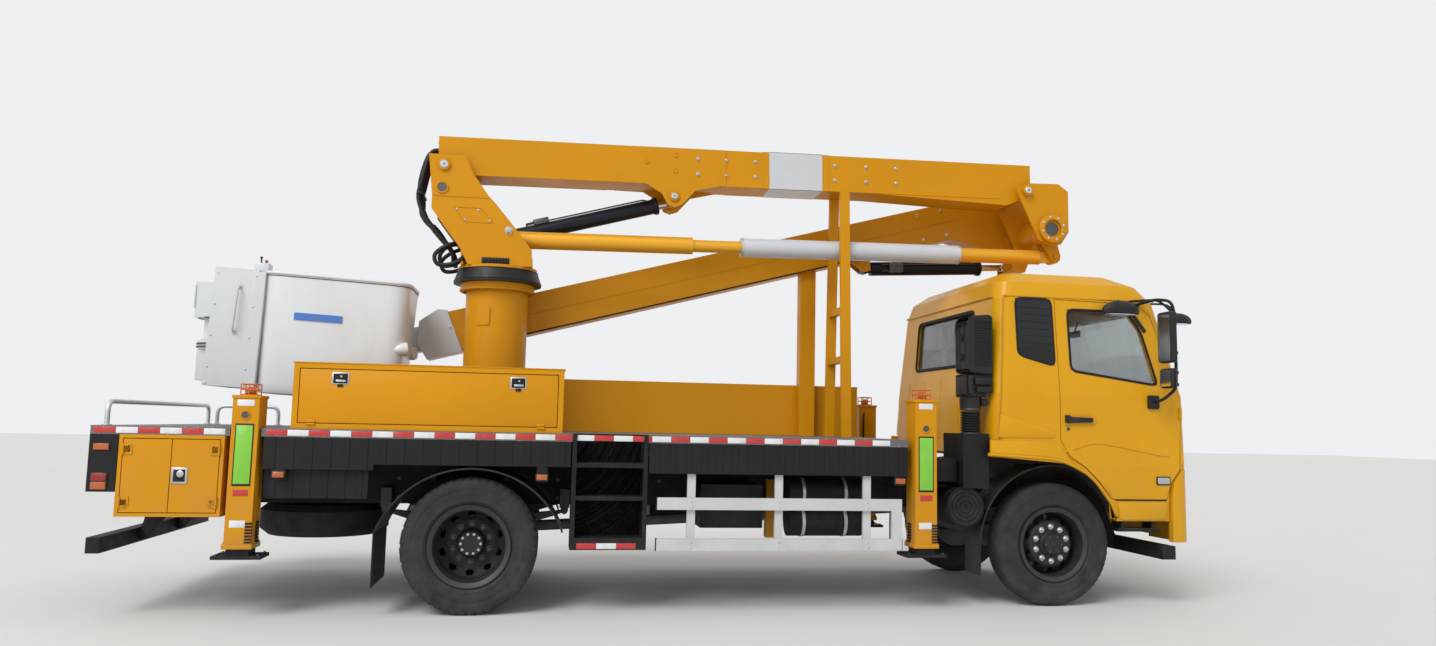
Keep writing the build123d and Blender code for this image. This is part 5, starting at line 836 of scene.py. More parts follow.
class TRUCK_OT_wheels(bpy.types.Operator):
    """Builds the front wheels and the twin rear wheels: tyres, rims, discs, nuts and hubs"""

    bl_idname = "truck.wheels"
    bl_label = "Wheels"

    def execute(self, context):
        for name, side in SIDES:
            form = Form(f"road_wheel_front_{name}")
            tyre(form, FRONT_AXLE, side * FRONT_TYRE_Y, side, False)
            out = Vector((0, side, 0))
            face = Vector((FRONT_AXLE, side * (FRONT_TYRE_Y + 0.062), TYRE_RADIUS))
            dish = [
                (0.098, 0), (0.165, 0), (0.176, -0.004), (0.188, -0.014), (0.201, -0.03), (0.214, -0.047),
                (0.226, -0.064), (0.24, -0.082), (0.256, -0.096), (0.262, -0.11),
            ]
            disc(form, face, side, dish, {3: 0.7, 4: 1, 5: 1, 6: 0.7})
            drum = [(0, -0.13), (0.25, -0.13), (0.25, -0.11), (0.2, -0.1), (0, -0.1)]
            form.turned(drum, face, out, "dark_steel", 40)
            nut_ring(form, face, side, 0.14, "bright_steel")
            hub = [(0.104, -0.004), (0.104, 0.012), (0.094, 0.02), (0.086, 0.034), (0.078, 0.05), (0.06, 0.058),
                   (0.022, 0.06), (0.018, 0.064), (0, 0.065)]
            form.turned(hub, face, out, "disc_paint", 40)
            for place in circle(face + out * 0.053, 0.069, 6):
                form.bolt(place, out, 0.014, "dark_steel")
            form.done(f"front_wheel_{name}", "tyre", [f"front_wheel_{name}"])

            form = Form(f"road_wheel_rear_{name}")
            for y in REAR_TYRES_Y:
                tyre(form, REAR_AXLE, side * y, side, True)
            face = Vector((REAR_AXLE, side * 0.92, TYRE_RADIUS))
            dish = [
                (0.105, 0.006), (0.17, 0.006), (0.182, 0.012), (0.196, 0.024), (0.21, 0.037), (0.224, 0.05),
                (0.238, 0.064), (0.25, 0.078), (0.258, 0.096),
            ]
            disc(form, face, side, dish, {3: 0.7, 4: 1, 5: 0.7})
            back = [(radius, -along) for radius, along in dish]
            form.turned(back, face - out * DISC_THICK, out, "disc_paint", 60)
            form.turned([(0.2, -0.27), (0.205, -0.26), (0.205, -0.02), (0, -0.02)], face, out, "dark_steel", 48)
            nut_ring(form, face + out * 0.006, side, 0.142, "dark_steel")
            hub = [(0.108, 0), (0.104, 0.06), (0.098, 0.092), (0.09, 0.1), (0.086, 0.108), (0.03, 0.11), (0, 0.11)]
            form.turned(hub, face, out, "disc_paint", 40)
            for place in circle(face + out * 0.107, 0.074, 10):
                form.bolt(place, out, 0.016, "bright_steel")
            form.done(f"rear_wheel_{name}", "tyre", [f"rear_wheel_{name}"])
        return {"FINISHED"}


class TRUCK_OT_basket(bpy.types.Operator):
    """Builds the basket: tub with its rolled rim and scoops, blank label, and its mount's fittings"""

    bl_idname = "truck.basket"
    bl_label = "Basket"

    def execute(self, context):
        length, width, height = BASKET_SIZE
        roll = sizes().rim_roll

        def ring(inset, drop, corner, steps=7):
            half = width / 2 - inset
            front, rear = -inset, -length + inset
            outline = [(front, -half), (front, half), (rear, half), (rear, -half)]
            return [Vector((p.x, p.y, -drop)) for p in rounded(outline, corner, steps)]

        form = Form("tub")
        part = bmesh.new()
        rings = []
        for inset, drop, corner in (
            (0, 0, 0.16), (0.006, 0.3, 0.16), (0.012, 0.6, 0.155), (0.019, 0.9, 0.15), (0.024, 0.95, 0.145),
            (0.036, 0.974, 0.13), (0.07, height, 0.1),
        ):
            rings.append([part.verts.new(p) for p in ring(inset, drop, corner)])
        part.faces.new(rings[-1])
        inner = []
        for inset, drop, corner in (
            (0, 0, 0.16), (0.022, 0.002, 0.14), (0.03, 0.4, 0.135), (0.042, 0.9, 0.12), (0.07, 0.93, 0.1),
        ):
            inner.append(rings[0] if not inner else [part.verts.new(p) for p in ring(inset, drop, corner)])
        part.faces.new(inner[-1])
        for rows in (rings, inner):
            for one, two in zip(rows, rows[1:]):
                bridge(part, one, two)
        form.take(part, "basket_gel", BASKET_FRAME)
        rim = [BASKET_FRAME @ Vector((p.x, p.y, -roll * 0.4)) for p in ring(0.004, 0, 0.16, 10)]
        form.tube(rim, roll, "basket_gel", 10, True)
        seam = [BASKET_FRAME @ Vector((p.x, p.y, -roll * 2)) for p in ring(-0.0025, 0, 0.16, 10)]
        form.tube(seam, 0.003, "seal_rubber", 6, True)
        form.done("basket", "shell_white", ["basket"])

        form = Form("basket_label")
        wall = -width / 2 + 0.004
        label = rounded(rectangle(-0.871, -0.5, -0.375, -0.316), 0.006, 3)
        form.plate(label, "Y", wall - 0.0045, wall + 0.002, "blue_sheet", 0.0006, BASKET_FRAME)
        form.done("basket", "shell_white")

        form = Form("basket_scoop")
        for side in (-1, 1):
            cone = [(0, 0), (0.02, 0.012), (0.05, 0.09), (0.058, 0.13), (0.055, 0.15), (0, 0.155)]
            place = BASKET_FRAME @ Vector((-0.125, side * 0.3, -0.56))
            form.turned(cone, place, (1, -side * 0.3, 0.12), "basket_gel", 28)
        form.done("basket", "shell_white")

        form = Form("basket_mount_fittings")
        for side in (-1, 1):
            strip = [(-1.21, -0.012), (-1.12, -0.012), (-1.105, -0.95), (-1.205, -0.95)]
            form.plate(strip, "Y", side * 0.3, side * 0.349, "cover_gel", 0.003, BASKET_FRAME)
        form.block((-1.2, -0.345, -0.045), (-1.14, 0.345, -0.03), "cover_gel", 0.003, BASKET_FRAME)
        box_side = -0.05 - 0.347
        handle = [(-3.64, box_side, 2.455), (-3.64, box_side - 0.045, 2.447), (-3.652, box_side - 0.05, 2.27),
                  (-3.664, box_side - 0.045, 2.1), (-3.664, box_side, 2.09)]
        form.tube(rounded(handle, 0.03, 4, False), 0.009, "white_enamel", 12)
        for end in (handle[0], handle[-1]):
            form.turned([(0.022, 0), (0.022, 0.004), (0.011, 0.008), (0, 0.008)], end, (0, -1, 0), "white_enamel", 16)
        for along in (-1.19, -1.48):
            for drop in (-0.05, -0.3, -0.55, -0.8, -0.93):
                place = BASKET_FRAME @ Vector((along, -0.3475, drop))
                form.bolt(place, (0, -1, 0), 0.013, "zinc")
        form.block((-3.55, -0.36, 2.575), (-3.44, -0.25, 2.66), "cover_gel", 0.01)
        form.rod((-3.47, -0.33, 2.655), (-3.47, -0.33, 2.685), 0.012, "red_lens", 16)
        form.rod((-3.51, -0.33, 2.655), (-3.51, -0.33, 2.7), 0.006, "trim", 12)
        form.turned([(0, 0), (0.011, 0.004), (0.012, 0.014), (0, 0.02)], (-3.51, -0.33, 2.695), UP, "trim", 14)
        actuator_x = -3.9438
        form.block((actuator_x - 0.125, -0.12, 2.3), (actuator_x - 0.112, 0.13, 2.49), "cover_gel", 0.004)
        for z in (1.975, 2, 2.215):
            form.turned(
                [(0.112, 0), (0.116, 0.004), (0.116, 0.012), (0.112, 0.016)], (actuator_x, 0, z), UP, "dark_steel",
                32)
        for place in circle((actuator_x, 0, 2.035), 0.09, 8, axis="Z"):
            form.bolt(place, UP, 0.02)
        form.tube(
            smooth_path([(-3.86, 0.05, 2.3), (-3.8, -0.12, 2.18), (-3.82, -0.16, 2.02), (-3.86, -0.08, 1.93)]), 0.009,
            "cable_cover")
        form.done("basket", "shell_white")
        return {"FINISHED"}


def band(form, start, end, proud, look):
    """A sleeve of four thin plates round the lower boom, between two places along it."""
    side, low, high = LOWER_HALF + proud, -LOWER_BELOW - proud, LOWER_ABOVE + proud
    outline = rectangle(start, end, -side, side)
    for z in (low, LOWER_ABOVE):
        form.plate(outline, "Z", z, z + proud, look, proud * 0.3, LOWER_FRAME)
    outline = rectangle(start, end, low, high)
    for y in (-side, LOWER_HALF):
        form.plate(outline, "Y", y, y + proud, look, proud * 0.3, LOWER_FRAME)


def pin_end(form, place, side, radius):
    """A pin's bright end in its ring, held by a small keeper plate."""
    form.turned(
        [(radius * 1.5, 0), (radius * 1.5, 0.006), (radius * 1.3, 0.01), (radius * 1.05, 0.01), (radius, 0.004),
        (0, 0.004)],
                place, (0, side, 0), "boom_enamel", 36)
    form.turned(
        [(radius, 0), (radius, 0.012), (radius * 0.85, 0.016), (0, 0.016)], place, (0, side, 0), "polished_steel", 32)
    form.rod(
        place + Vector((0, side * 0.014, 0)), place + Vector((0, side * 0.024, 0)), radius * 0.22, "dark_steel", 10)


class TRUCK_OT_booms(bpy.types.Operator):
    """Adds the booms' fittings: insulating lengths, collars, seams, bolts, pins and cylinder pipes"""

    bl_idname = "truck.booms"
    bl_label = "Booms"

    def execute(self, context):
        bolt = sizes().bolt_size
        form = Form("lower_boom_fittings")
        half, low, high = LOWER_HALF, -LOWER_BELOW, LOWER_ABOVE
        band(form, 2.86, 3.36, 0.006, "insulator")
        band(form, 2.8, 2.86, 0.003, "boom_enamel")
        band(form, 3.36, 3.42, 0.003, "boom_enamel")
        for side in (-1, 1):
            out = (0, side, 0)
            face = side * half
            doubler = [(1.49, low), (1.7, high), (2.46, high), (2.46, low)]
            form.plate(doubler, "Y", face, face + side * 0.006, "boom_enamel", 0.002, LOWER_FRAME)
            for along, rise in ((1.74, 0.135), (2, 0.205), (2, 0.06)):
                form.turned([(0.022, 0), (0.022, 0.004), (0.017, 0.006), (0.015, 0.003), (0, 0.003)],
                            on_boom(along, rise, face + side * 0.006), out, "boom_enamel", 24)
            for along in (2.2, 2.46, 2.73, 3.48, 3.78, 4.07):
                for rise in (0.04, 0.18):
                    form.bolt(on_boom(along, rise, face + side * (0.006 if along < 2.45 else 0)), out, bolt)
            for ends in ((0.1, 1.4), (2.5, 5.1)):
                form.tube([on_boom(along, low + 0.002, face) for along in ends], 0.005, "boom_enamel", 8)
            pin_end(form, on_boom(1.988, -0.174, side * (half + 0.02)), side, 0.03)
        form.plate(
            [(5.416, 0.075), (5.416, 0.262), (5.424, 0.262), (5.424, 0.075)], "Y", -0.15, 0.15, "boom_enamel", 0.001,
            LOWER_FRAME)
        for index in range(6):
            form.bolt(on_boom(-0.06, 0.03 + 0.2 * (index % 2), -0.1 + 0.1 * (index // 2)), (-1, 0, 0), bolt * 0.8)
        form.done("lower_boom", "body_yellow")

        form = Form("levelling_rod_sleeves")
        along = Vector((cos(LOWER_SLOPE), 0, sin(LOWER_SLOPE)))
        for start, end, radius, look in (
            (2.29, 4.36, 0.0865, "insulator"), (2.272, 2.292, 0.089, "zinc"), (4.358, 4.378, 0.089, "zinc"),
        ):
            eye = SHOULDER + Vector((0.35, -0.06, -0.59))
            form.rod(eye + along * start, eye + along * end, radius, look, 36, 0.004)
        form.done("levelling_rod", "body_yellow")

        form = Form("upper_boom_fittings")
        low, high = UPPER_RISE
        middle = (low + high) / 2
        for y, side in ((UPPER_Y[0], -1), (UPPER_Y[1], 1)):
            outline = rectangle(-5.5, -0.6, middle - 0.004, middle + 0.004)
            form.plate(outline, "Y", y, y + side * 0.0035, "boom_enamel", 0.0012, UPPER_FRAME)
            for back in (0.75, 1, 5.25, 5.45):
                for rise in (low + 0.06, high - 0.06):
                    form.bolt(on_upper(back, rise, y), (0, side, 0), bolt)
            form.turned(
                [(0.15, 0), (0.15, 0.006), (0.142, 0.012), (0.1, 0.012), (0.1, 0)], HINGE + Vector((0, y, 0)),
                (0, side, 0), "boom_enamel", 48)
        for back in (5.62, 5.86):
            form.bolt(on_upper(back, middle + 0.04, UPPER_Y[0] - 0.014), (0, -1, 0), 0.02, "zinc")
        form.tube([on_upper(back, low + 0.012, UPPER_Y[0] - 0.006) for back in (1, 5.5)], 0.006, "cable_cover", 8)
        form.done("upper_boom", "body_yellow")

        form = Form("elbow_fittings")
        for side in (-1, 1):
            face = side * 0.275
            pin_end(form, ELBOW + Vector((0, side * 0.289, 0)), side, 0.032)
            form.turned([(0.136, 0), (0.136, 0.01), (0.128, 0.016), (0.09, 0.016), (0.084, 0.01), (0.084, 0)],
                        HINGE + Vector((0, face, 0)), (0, side, 0), "boom_enamel", 48)
            for place in circle(HINGE + Vector((0, face + side * 0.014, 0)), 0.108, 8, 0.3):
                form.bolt(place, (0, side, 0), 0.02)
        form.rod(HINGE + Vector((0, -0.26, 0)), HINGE + Vector((0, -0.2, 0)), 0.066, "dark_steel", 32)
        form.done("elbow", "body_yellow")

        for name, start, end, out, short in (
            ("lift", Vector((REAR_AXLE + 0.15, 0.095, 3.05)), Vector((-0.126, 0.095, 3.451)), None, 0.13),
            ("fold", Vector((1.86319, 0.51, 2.99204)), Vector((3.35319, 0.51, 3.07504)), Vector((0, -1, 0)), 0.28),
        ):
            form = Form(f"{name}_cylinder_pipes")
            radius = BARREL_RADIUS
            ahead = (end - start).normalized()
            out = out or ahead.cross(Vector((0, 1, 0)))
            beside = out.cross(ahead)
            reach = (end - start).length - short
            for offset, near, far in ((0.03, 0.16, reach - 0.06), (-0.03, 0.16, 0.36)):
                base = start + beside * offset
                line = [base + ahead * along + out * (radius + 0.014) * lift for along, lift in (
                    (near, 1), (near + 0.05, 1.05), (far - 0.05, 1.05), (far, 0.7))]
                form.tube(rounded(line, 0.02, 3, False), 0.007, "dark_steel", 10)
            block = start + ahead * 0.3 + out * (radius + 0.012)
            turn = Matrix.Translation(block) @ Matrix((ahead, -out, beside)).transposed().to_4x4()
            form.block((-0.07, -0.028, -0.045), (0.07, 0.022, 0.045), "dark_steel", 0.005, turn)
            for along in (-0.045, 0, 0.045):
                form.bolt(block + ahead * along + out * 0.028 + beside * 0.02, out, 0.018, "dark_steel")
            form.turned(
                [(radius + 0.009, -0.03), (radius + 0.012, -0.026), (radius + 0.012, -0.004), (radius + 0.004, 0.002),
                (0.05, 0.002)],
                        start + ahead * reach, ahead, "navy_enamel", 36)
            form.done(f"{name}_barrel", "chassis_black")
        return {"FINISHED"}


class TRUCK_OT_turntable(bpy.types.Operator):
    """Adds the turntable's seams, pins, opening and vent, and the slewing ring's bolts"""

    bl_idname = "truck.turntable"
    bl_label = "Turntable"

    def execute(self, context):
        form = Form("turntable_fittings")
        for side in (-1, 1):
            out = (0, side, 0)
            face = side * TURNTABLE_HALF
            pin_end(form, SHOULDER + Vector((0, side * (TURNTABLE_HALF + 0.014), 0)), side, 0.034)
            form.turned([(0.055, 0), (0.055, 0.008), (0.047, 0.012), (0.04, 0.008), (0.04, 0.002), (0, 0.002)],
                        (-2.128, face, 3.393), out, "boom_enamel", 32)
            form.turned([(0.038, 0.0025), (0, 0.0025)], (-2.128, face, 3.393), out, "dark_steel", 32)
            form.plate(
                [(-2.2, 3.317), (-1.742, 3.317), (-1.75, 3.325), (-2.2, 3.325)], "Y", face, face + side * 0.005,
                "boom_enamel", 0.0015)
            frame_line = rounded([(-2.03, 3.23), (-1.8, 3.23), (-1.69, 3.105), (-1.93, 3.105)], 0.02, 3)
            form.tube([(p.x, face + side * 0.001, p.y) for p in frame_line], 0.0035, "boom_enamel", 6, True)
            for x, z in ((-2, 3.212), (-1.82, 3.212), (-1.93, 3.122), (-1.72, 3.122)):
                form.bolt((x, face, z), out, 0.016)
            face_blocks(form, -1.775, face, side, [(0, 0.23, 2.752, 2.808, 0, 0.006, "trim")], 0.003)
            louvres = [(0.0255 * k, 0.0255 * k + 0.012, 2.758, 2.802, 0, 0.012, "cable_cover") for k in range(9)]
            face_blocks(form, -1.765, face, side, louvres, 0.002)
            form.tube(
                [(-1.885, face + side * 0.001, 2.745), (-1.352, face + side * 0.001, 2.745)], 0.006, "boom_enamel", 8)
            form.bolt((REAR_AXLE + 0.15, face, 3.05), out, 0.05)
        form.done("chassis", "body_yellow")

        form = Form("slewing_ring")
        centre = Vector((COLUMN_X, 0, 0))
        form.turned([(0.315, 2.534), (0.322, 2.538), (0.322, 2.552), (0.315, 2.556)], centre, UP, "boom_enamel", 72)
        for z, up in ((2.54, -1), (2.556, 1)):
            for place in circle((COLUMN_X, 0, z), 0.3, 44, axis="Z"):
                form.bolt(place, (0, 0, up), 0.022, "boom_enamel")
        for z, radius in ((2.622, 0.374), (2.716, 0.342)):
            form.turned(
                [(radius, -0.004), (radius + 0.004, 0), (radius, 0.004)], centre + Vector((0, 0, z)), UP,
                "cable_cover", 72)
        patch = rounded(rectangle(-0.062, 0.062, -0.085, 0.085), 0.03, 4)
        turn = Matrix.Translation((COLUMN_X - 0.1, -0.2475, 2.31)) @ Matrix.Rotation(-0.39, 4, "Z")
        form.plate(patch, "Y", -0.004, 0.01, "boom_enamel", 0.003, turn)
        for z in (1.352, 1.372):
            form.turned(
                [(0.262, -0.006), (0.274, -0.004), (0.262, 0.006)], centre + Vector((0, 0, z)), UP, "boom_enamel", 64)
        for step in range(8):
            angle = 2 * pi * (step + 0.5) / 8
            turn = Matrix.Translation(centre) @ Matrix.Rotation(angle, 4, "Z")
            form.plate([(0.262, 1.342), (0.34, 1.342), (0.262, 1.47)], "Y", -0.008, 0.008, "boom_enamel", 0.001, turn)
        form.done("chassis", "body_yellow")
        return {"FINISHED"}


class TRUCK_OT_hoses(bpy.types.Operator):
    """Adds the hydraulic hoses that cross the shoulder and the hose loops at the rear of the turntable"""

    bl_idname = "truck.hoses"
    bl_label = "Hoses"

    def execute(self, context):
        radius = sizes().hose_radius
        form = Form("shoulder_hoses")
        for index in range(5):
            y = -0.1 + index * 0.05
            sway = 0.02 * (index % 2)
            route = [
                on_boom(-0.045, 0.16, y), on_boom(-0.13 - sway, 0.13, y), (-2.315 - sway, y * 1.2, 3.47),
                (-2.335 + sway, y * 1.2, 3.32), (-2.28 - sway, y * 1.3, 3.17), (-2.19 + sway, y * 1.3, 3.05),
                (-2.09, y * 1.3, 2.94), (-2.03, y * 1.2, 2.85), (-2.02, y, 2.76),
            ]
            form.tube(smooth_path(route, 8), radius, "cable_cover", 12)
        for place in ((-2.325, 0, 3.36), (-2.205, 0, 3.075)):
            half = Vector((0.028, 0.15, 0.012))
            form.block(Vector(place) - half, Vector(place) + half, "cable_cover", 0.006)
        piece = form.done(None, "plastic_black")
        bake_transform(piece)

        form = Form("turntable_hose_loops")
        for y, reach in ((-0.16, 0), (-0.215, 0.035), (0.18, 0.02)):
            route = [
                (-1.98, y * 0.8, 2.93), (-2.07, y, 2.9), (-2.13 - reach, y, 2.82), (-2.1 - reach, y, 2.735),
                (-2, y * 1.05, 2.75), (-1.9, y * 1.1, 2.83), (-1.86, y, 2.87),
            ]
            form.tube(smooth_path(route, 8), radius * 0.9, "cable_cover", 12)
        form.done("chassis", "plastic_black")
        return {"FINISHED"}


def window_rubber(form, outline, side):
    """The rubber round a side window; its outline is given from the front axle."""
    form.tube(
        along_cab(rounded(outline, 0.06, 5), side, 0.002), sizes().seal_width, "seal_rubber", 8, True, 0.55,
        (0, 1, 0))


class TRUCK_OT_cab(bpy.types.Operator):
    """Adds the cab's outside fittings: window rubbers, seams, handles, wheel arches, grille and wipers"""

    bl_idname = "truck.cab"
    bl_label = "Cab Fittings"

    def execute(self, context):
        x = FRONT_AXLE
        form = Form("cab_trim")
        for name, side in SIDES:
            # The quarter window is an opaque black pane: painted shade of the cab behind it.
            pane = rounded(QUARTER_WINDOW, 0.05, 5)
            form.laid(pane, side, 0.004, "glazing_black", 0.012, 0.002)
            window_rubber(form, QUARTER_WINDOW, side)
            for index in range(7):
                z = 2.12 + index * 0.06
                slat = ((-0.3 - 0.01 * (index < 1), z - 0.012), (-0.03, z - 0.022))
                form.tube(along_cab(slat, side, 0.004), 0.004, "trim", 6)
            gutter = [(ahead, 2.56) for ahead in (-0.43, 0, 0.6, 0.95)]
            form.tube(along_cab(gutter, side, 0.003), 0.007, "cab_enamel", 8)
            rear_seam = [(-0.44 - 0.08 * (2.56 - z), z) for z in (2.56, 2.1, 1.74, 1.36)]
            form.tube(along_cab(rear_seam, side, 0.002), 0.005, "cab_enamel", 8)
            flare = [
                (-0.6, 1.35), (-0.1, 1.348), (0, 1.335), (0.088, 1.205), (0.24, 1.115), (0.358, 0.998), (0.456, 0.88),
                    (0.47, 0.72), (0.512, 0.72), (0.45, 0.86), (0.29, 1.06), (0.06, 1.175), (-0.6, 1.215)]
            form.laid(rounded(flare[:-6], 0.05, 3, False) + flare[-6:], side, 0.012, "cab_enamel", 0.02, 0.006)
            arch = rounded([(-0.62, 1.23), (0.01, 1.2), (0.28, 1.08), (0.46, 0.87), (0.525, 0.74)], 0.12, 5, False)
            form.tube([cab_side(p.x, p.y + 0.004, side, 0.008) for p in arch], 0.014, "cab_enamel", 10)
            liner = [Vector((x + p.x, side * 1.11, p.y - 0.012)) for p in arch]
            form.tube(liner, 0.055, "trim", 10, False, 0.16, UP)
            wedge = rounded([(-0.51, 1.57), (-0.03, 1.435), (-0.03, 1.375), (-0.53, 1.372)], 0.02, 3)
            form.laid(wedge, side, 0.008, "cab_enamel", 0.012, 0.006)
            sill = rounded([(0.53, 0.862), (0.985, 0.862), (0.985, 0.712), (0.55, 0.712)], 0.03, 4)
            form.laid(sill, side, 0.01, "cab_enamel", 0.014, 0.005)
            # A dark rubber line just above the sill: painted shadow along the sill's top edge.
            form.tube(along_cab([(0.515, 0.874), (0.75, 0.874), (0.98, 0.874)], side), 0.006, "seal_rubber", 6)
            face_blocks(form, x, side * 0.98, side, (
                (0.55, 0.93, 0.612, 0.636, 0, 0.15, "frame_paint"), (0.58, 0.61, 0.63, 0.71, 0, 0.15, "frame_paint"),
                (0.86, 0.89, 0.63, 0.71, 0, 0.15, "frame_paint")), 0.005)
            face_blocks(form, x, side * 0.98, side, [(0.56, 0.92, 0.634, 0.64, 0.01, 0.14, "step_plate")], 0.002)
            for inset, corner, proud, look, edge in (
                (0, 0.015, 0.006, "trim", 0.001), (0.01, 0.012, 0.013, "clear_lens", 0.004),
            ):
                start, end, low, high = 0.885 + inset, 1.015 - inset, 1 + inset * 0.9, 1.072 - inset * 0.9
                lamp = rounded(rectangle(start, end, low, high), corner, 3)
                form.laid(lamp, side, proud, look, 0.01, edge)
        form.done("chassis", "cab_yellow")

        form = Form("cab_front")
        screen = rounded([(-1.01, 1.8), (1.01, 1.8), (0.9, 2.51), (-0.9, 2.51)], 0.07, 6)
        dense = []
        for index, point in enumerate(screen):
            following = screen[(index + 1) % len(screen)]
            parts = max(1, int((following - point).length / 0.08))
            dense += [point.lerp(following, step / parts) for step in range(parts)]
        form.tube([cab_nose(p.x, p.y, 0.002) for p in dense], 0.016, "seal_rubber", 8, True, 0.5, AHEAD)

        def across(height, reach, proud):
            return [cab_nose(-reach + 2 * reach * k / 12, height, proud) for k in range(13)]

        for height in (1.24, 1.34, 1.44):
            for rise in (0.012, 0.03, 0.048):
                form.tube(across(height + rise, 0.615, -0.018), 0.006, "trim", 8, False, 0.7, UP)
            form.tube(across(height + 0.03, 0.64, -0.05), 0.045, "cable_cover", 8, False, 1, UP)
        for height, reach, look in (
            (1.19, 0.66, "cab_enamel"), (1.535, 0.66, "cab_enamel"), (1.7, 1, "cab_enamel"), (1.74, 1, "trim"),
        ):
            form.tube(across(height, reach, 0), 0.007, look, 8)
        for start in (-0.72, 0.02):
            pivot, tip = cab_nose(start, 1.762, 0.03), cab_nose(start + 0.34, 1.87, 0.035)
            form.turned([(0.026, -0.03), (0.026, 0), (0.018, 0.012), (0, 0.014)], pivot, (1, 0, 0.2), "trim", 20)
            form.tube([pivot, pivot.lerp(tip, 0.5) + Vector((0.012, 0, 0)), tip], 0.008, "trim", 8)
            blade = [cab_nose(start + 0.62 * share, 1.842 + 0.055 * share, 0.022) for share in (0.1, 0.4, 0.7, 1)]
            form.tube(blade, 0.008, "seal_rubber", 8, False, 0.5, AHEAD)
        form.tube(across(2.6, 0.86, 0.05), 0.05, "cab_enamel", 12, False, 0.12, (0.35, 0, 1))
        for y in (-0.55, -0.28, 0, 0.28, 0.55):
            place = cab_nose(y, 2.66, 0.01)
            form.block(place - Vector((0.03, 0.045, 0.012)), place + Vector((0.03, 0.045, 0.018)), "amber_lens", 0.01)
        form.done("chassis", "cab_yellow")

        form = Form("cab_rear_fittings")
        pane = rounded(rectangle(-0.65, 0.65, 2, 2.47), 0.06, 5)
        path = [Vector((x + cab_at(p.y)[0] - 0.002, p.x, p.y)) for p in pane]
        form.tube(path, 0.016, "seal_rubber", 8, True, 0.5, AHEAD)
        form.tube([(x + cab_at(2.56)[0] - 0.006, -1 + 0.25 * k, 2.56) for k in range(9)], 0.012, "cab_enamel", 8)
        for y in (-0.8, -0.4, 0, 0.4, 0.8):
            rib = [Vector((x + cab_at(z)[0] - 0.001, y, z)) for z in (1.35, 1.6, 1.88)]
            form.tube(rib, 0.014, "cab_enamel", 8, False, 0.5, AHEAD)
        form.rod((x + 0.22, -0.02, 2.776), (x + 0.22, -0.02, 2.81), 0.03, "trim", 20, 0.01)
        form.rod((x + 0.22, -0.02, 2.805), (x + 0.12, -0.02, 2.84), 0.004, "trim", 8)
        form.done("chassis", "cab_yellow")

        for name, side in SIDES:
            form = Form(f"door_trim_{name}")
            window_rubber(form, DOOR_WINDOW, side)
            crease = rounded([(0.05, 1.262), (0.3, 1.345), (0.45, 1.335), (0.93, 1.25), (1, 1.245)], 0.06, 4, False)
            form.tube(along_cab(crease, side, 0.001), 0.01, "cab_enamel", 10, False, 0.6, (0, 1, 0))
            corner = [
                (0.045, 1.335), (0.12, 1.285), (0.23, 1.205), (0.33, 1.112), (0.4, 1.035), (0.478, 0.92),
                (0.45, 0.915),
                      (0.365, 1.03), (0.24, 1.142), (0.108, 1.226), (0.045, 1.31)]
            form.laid(corner, side, 0.009, "cab_enamel", 0.012, 0.004)
            scoop = rounded([(0.04, 1.6), (0.16, 1.605), (0.345, 1.57), (0.345, 1.49), (0.04, 1.48)], 0.03, 4)
            form.laid(scoop, side, 0.005, "cab_enamel", 0.01, 0.004)
            form.laid(
                [(0.06, 1.506), (0.06, 1.566), (0.09, 1.57), (0.12, 1.546), (0.28, 1.55), (0.306, 1.548),
                (0.306, 1.512), (0.28, 1.51),
                       (0.12, 1.51), (0.09, 1.5)], side, 0.026, "trim", 0.024, 0.006)
            form.rod((x + 0.09, side * 1.175, 1.455), (x + 0.09, side * 1.184, 1.455), 0.014, "dark_steel", 24)
            form.laid(
                [(0.7, 2.475), (0.74, 2.47), (0.86, 2.3), (0.83, 2.28), (0.715, 2.45)], side, 0.006, "trim", 0.01,
                0.003)
            for z in (1.22, 1.6):
                form.rod(
                    (x + 1.122, side * 1.176, z - 0.05), (x + 1.122, side * 1.176, z + 0.05), 0.012, "cab_enamel", 16)
            form.done(f"cab_door_{name}", "cab_yellow")
        return {"FINISHED"}


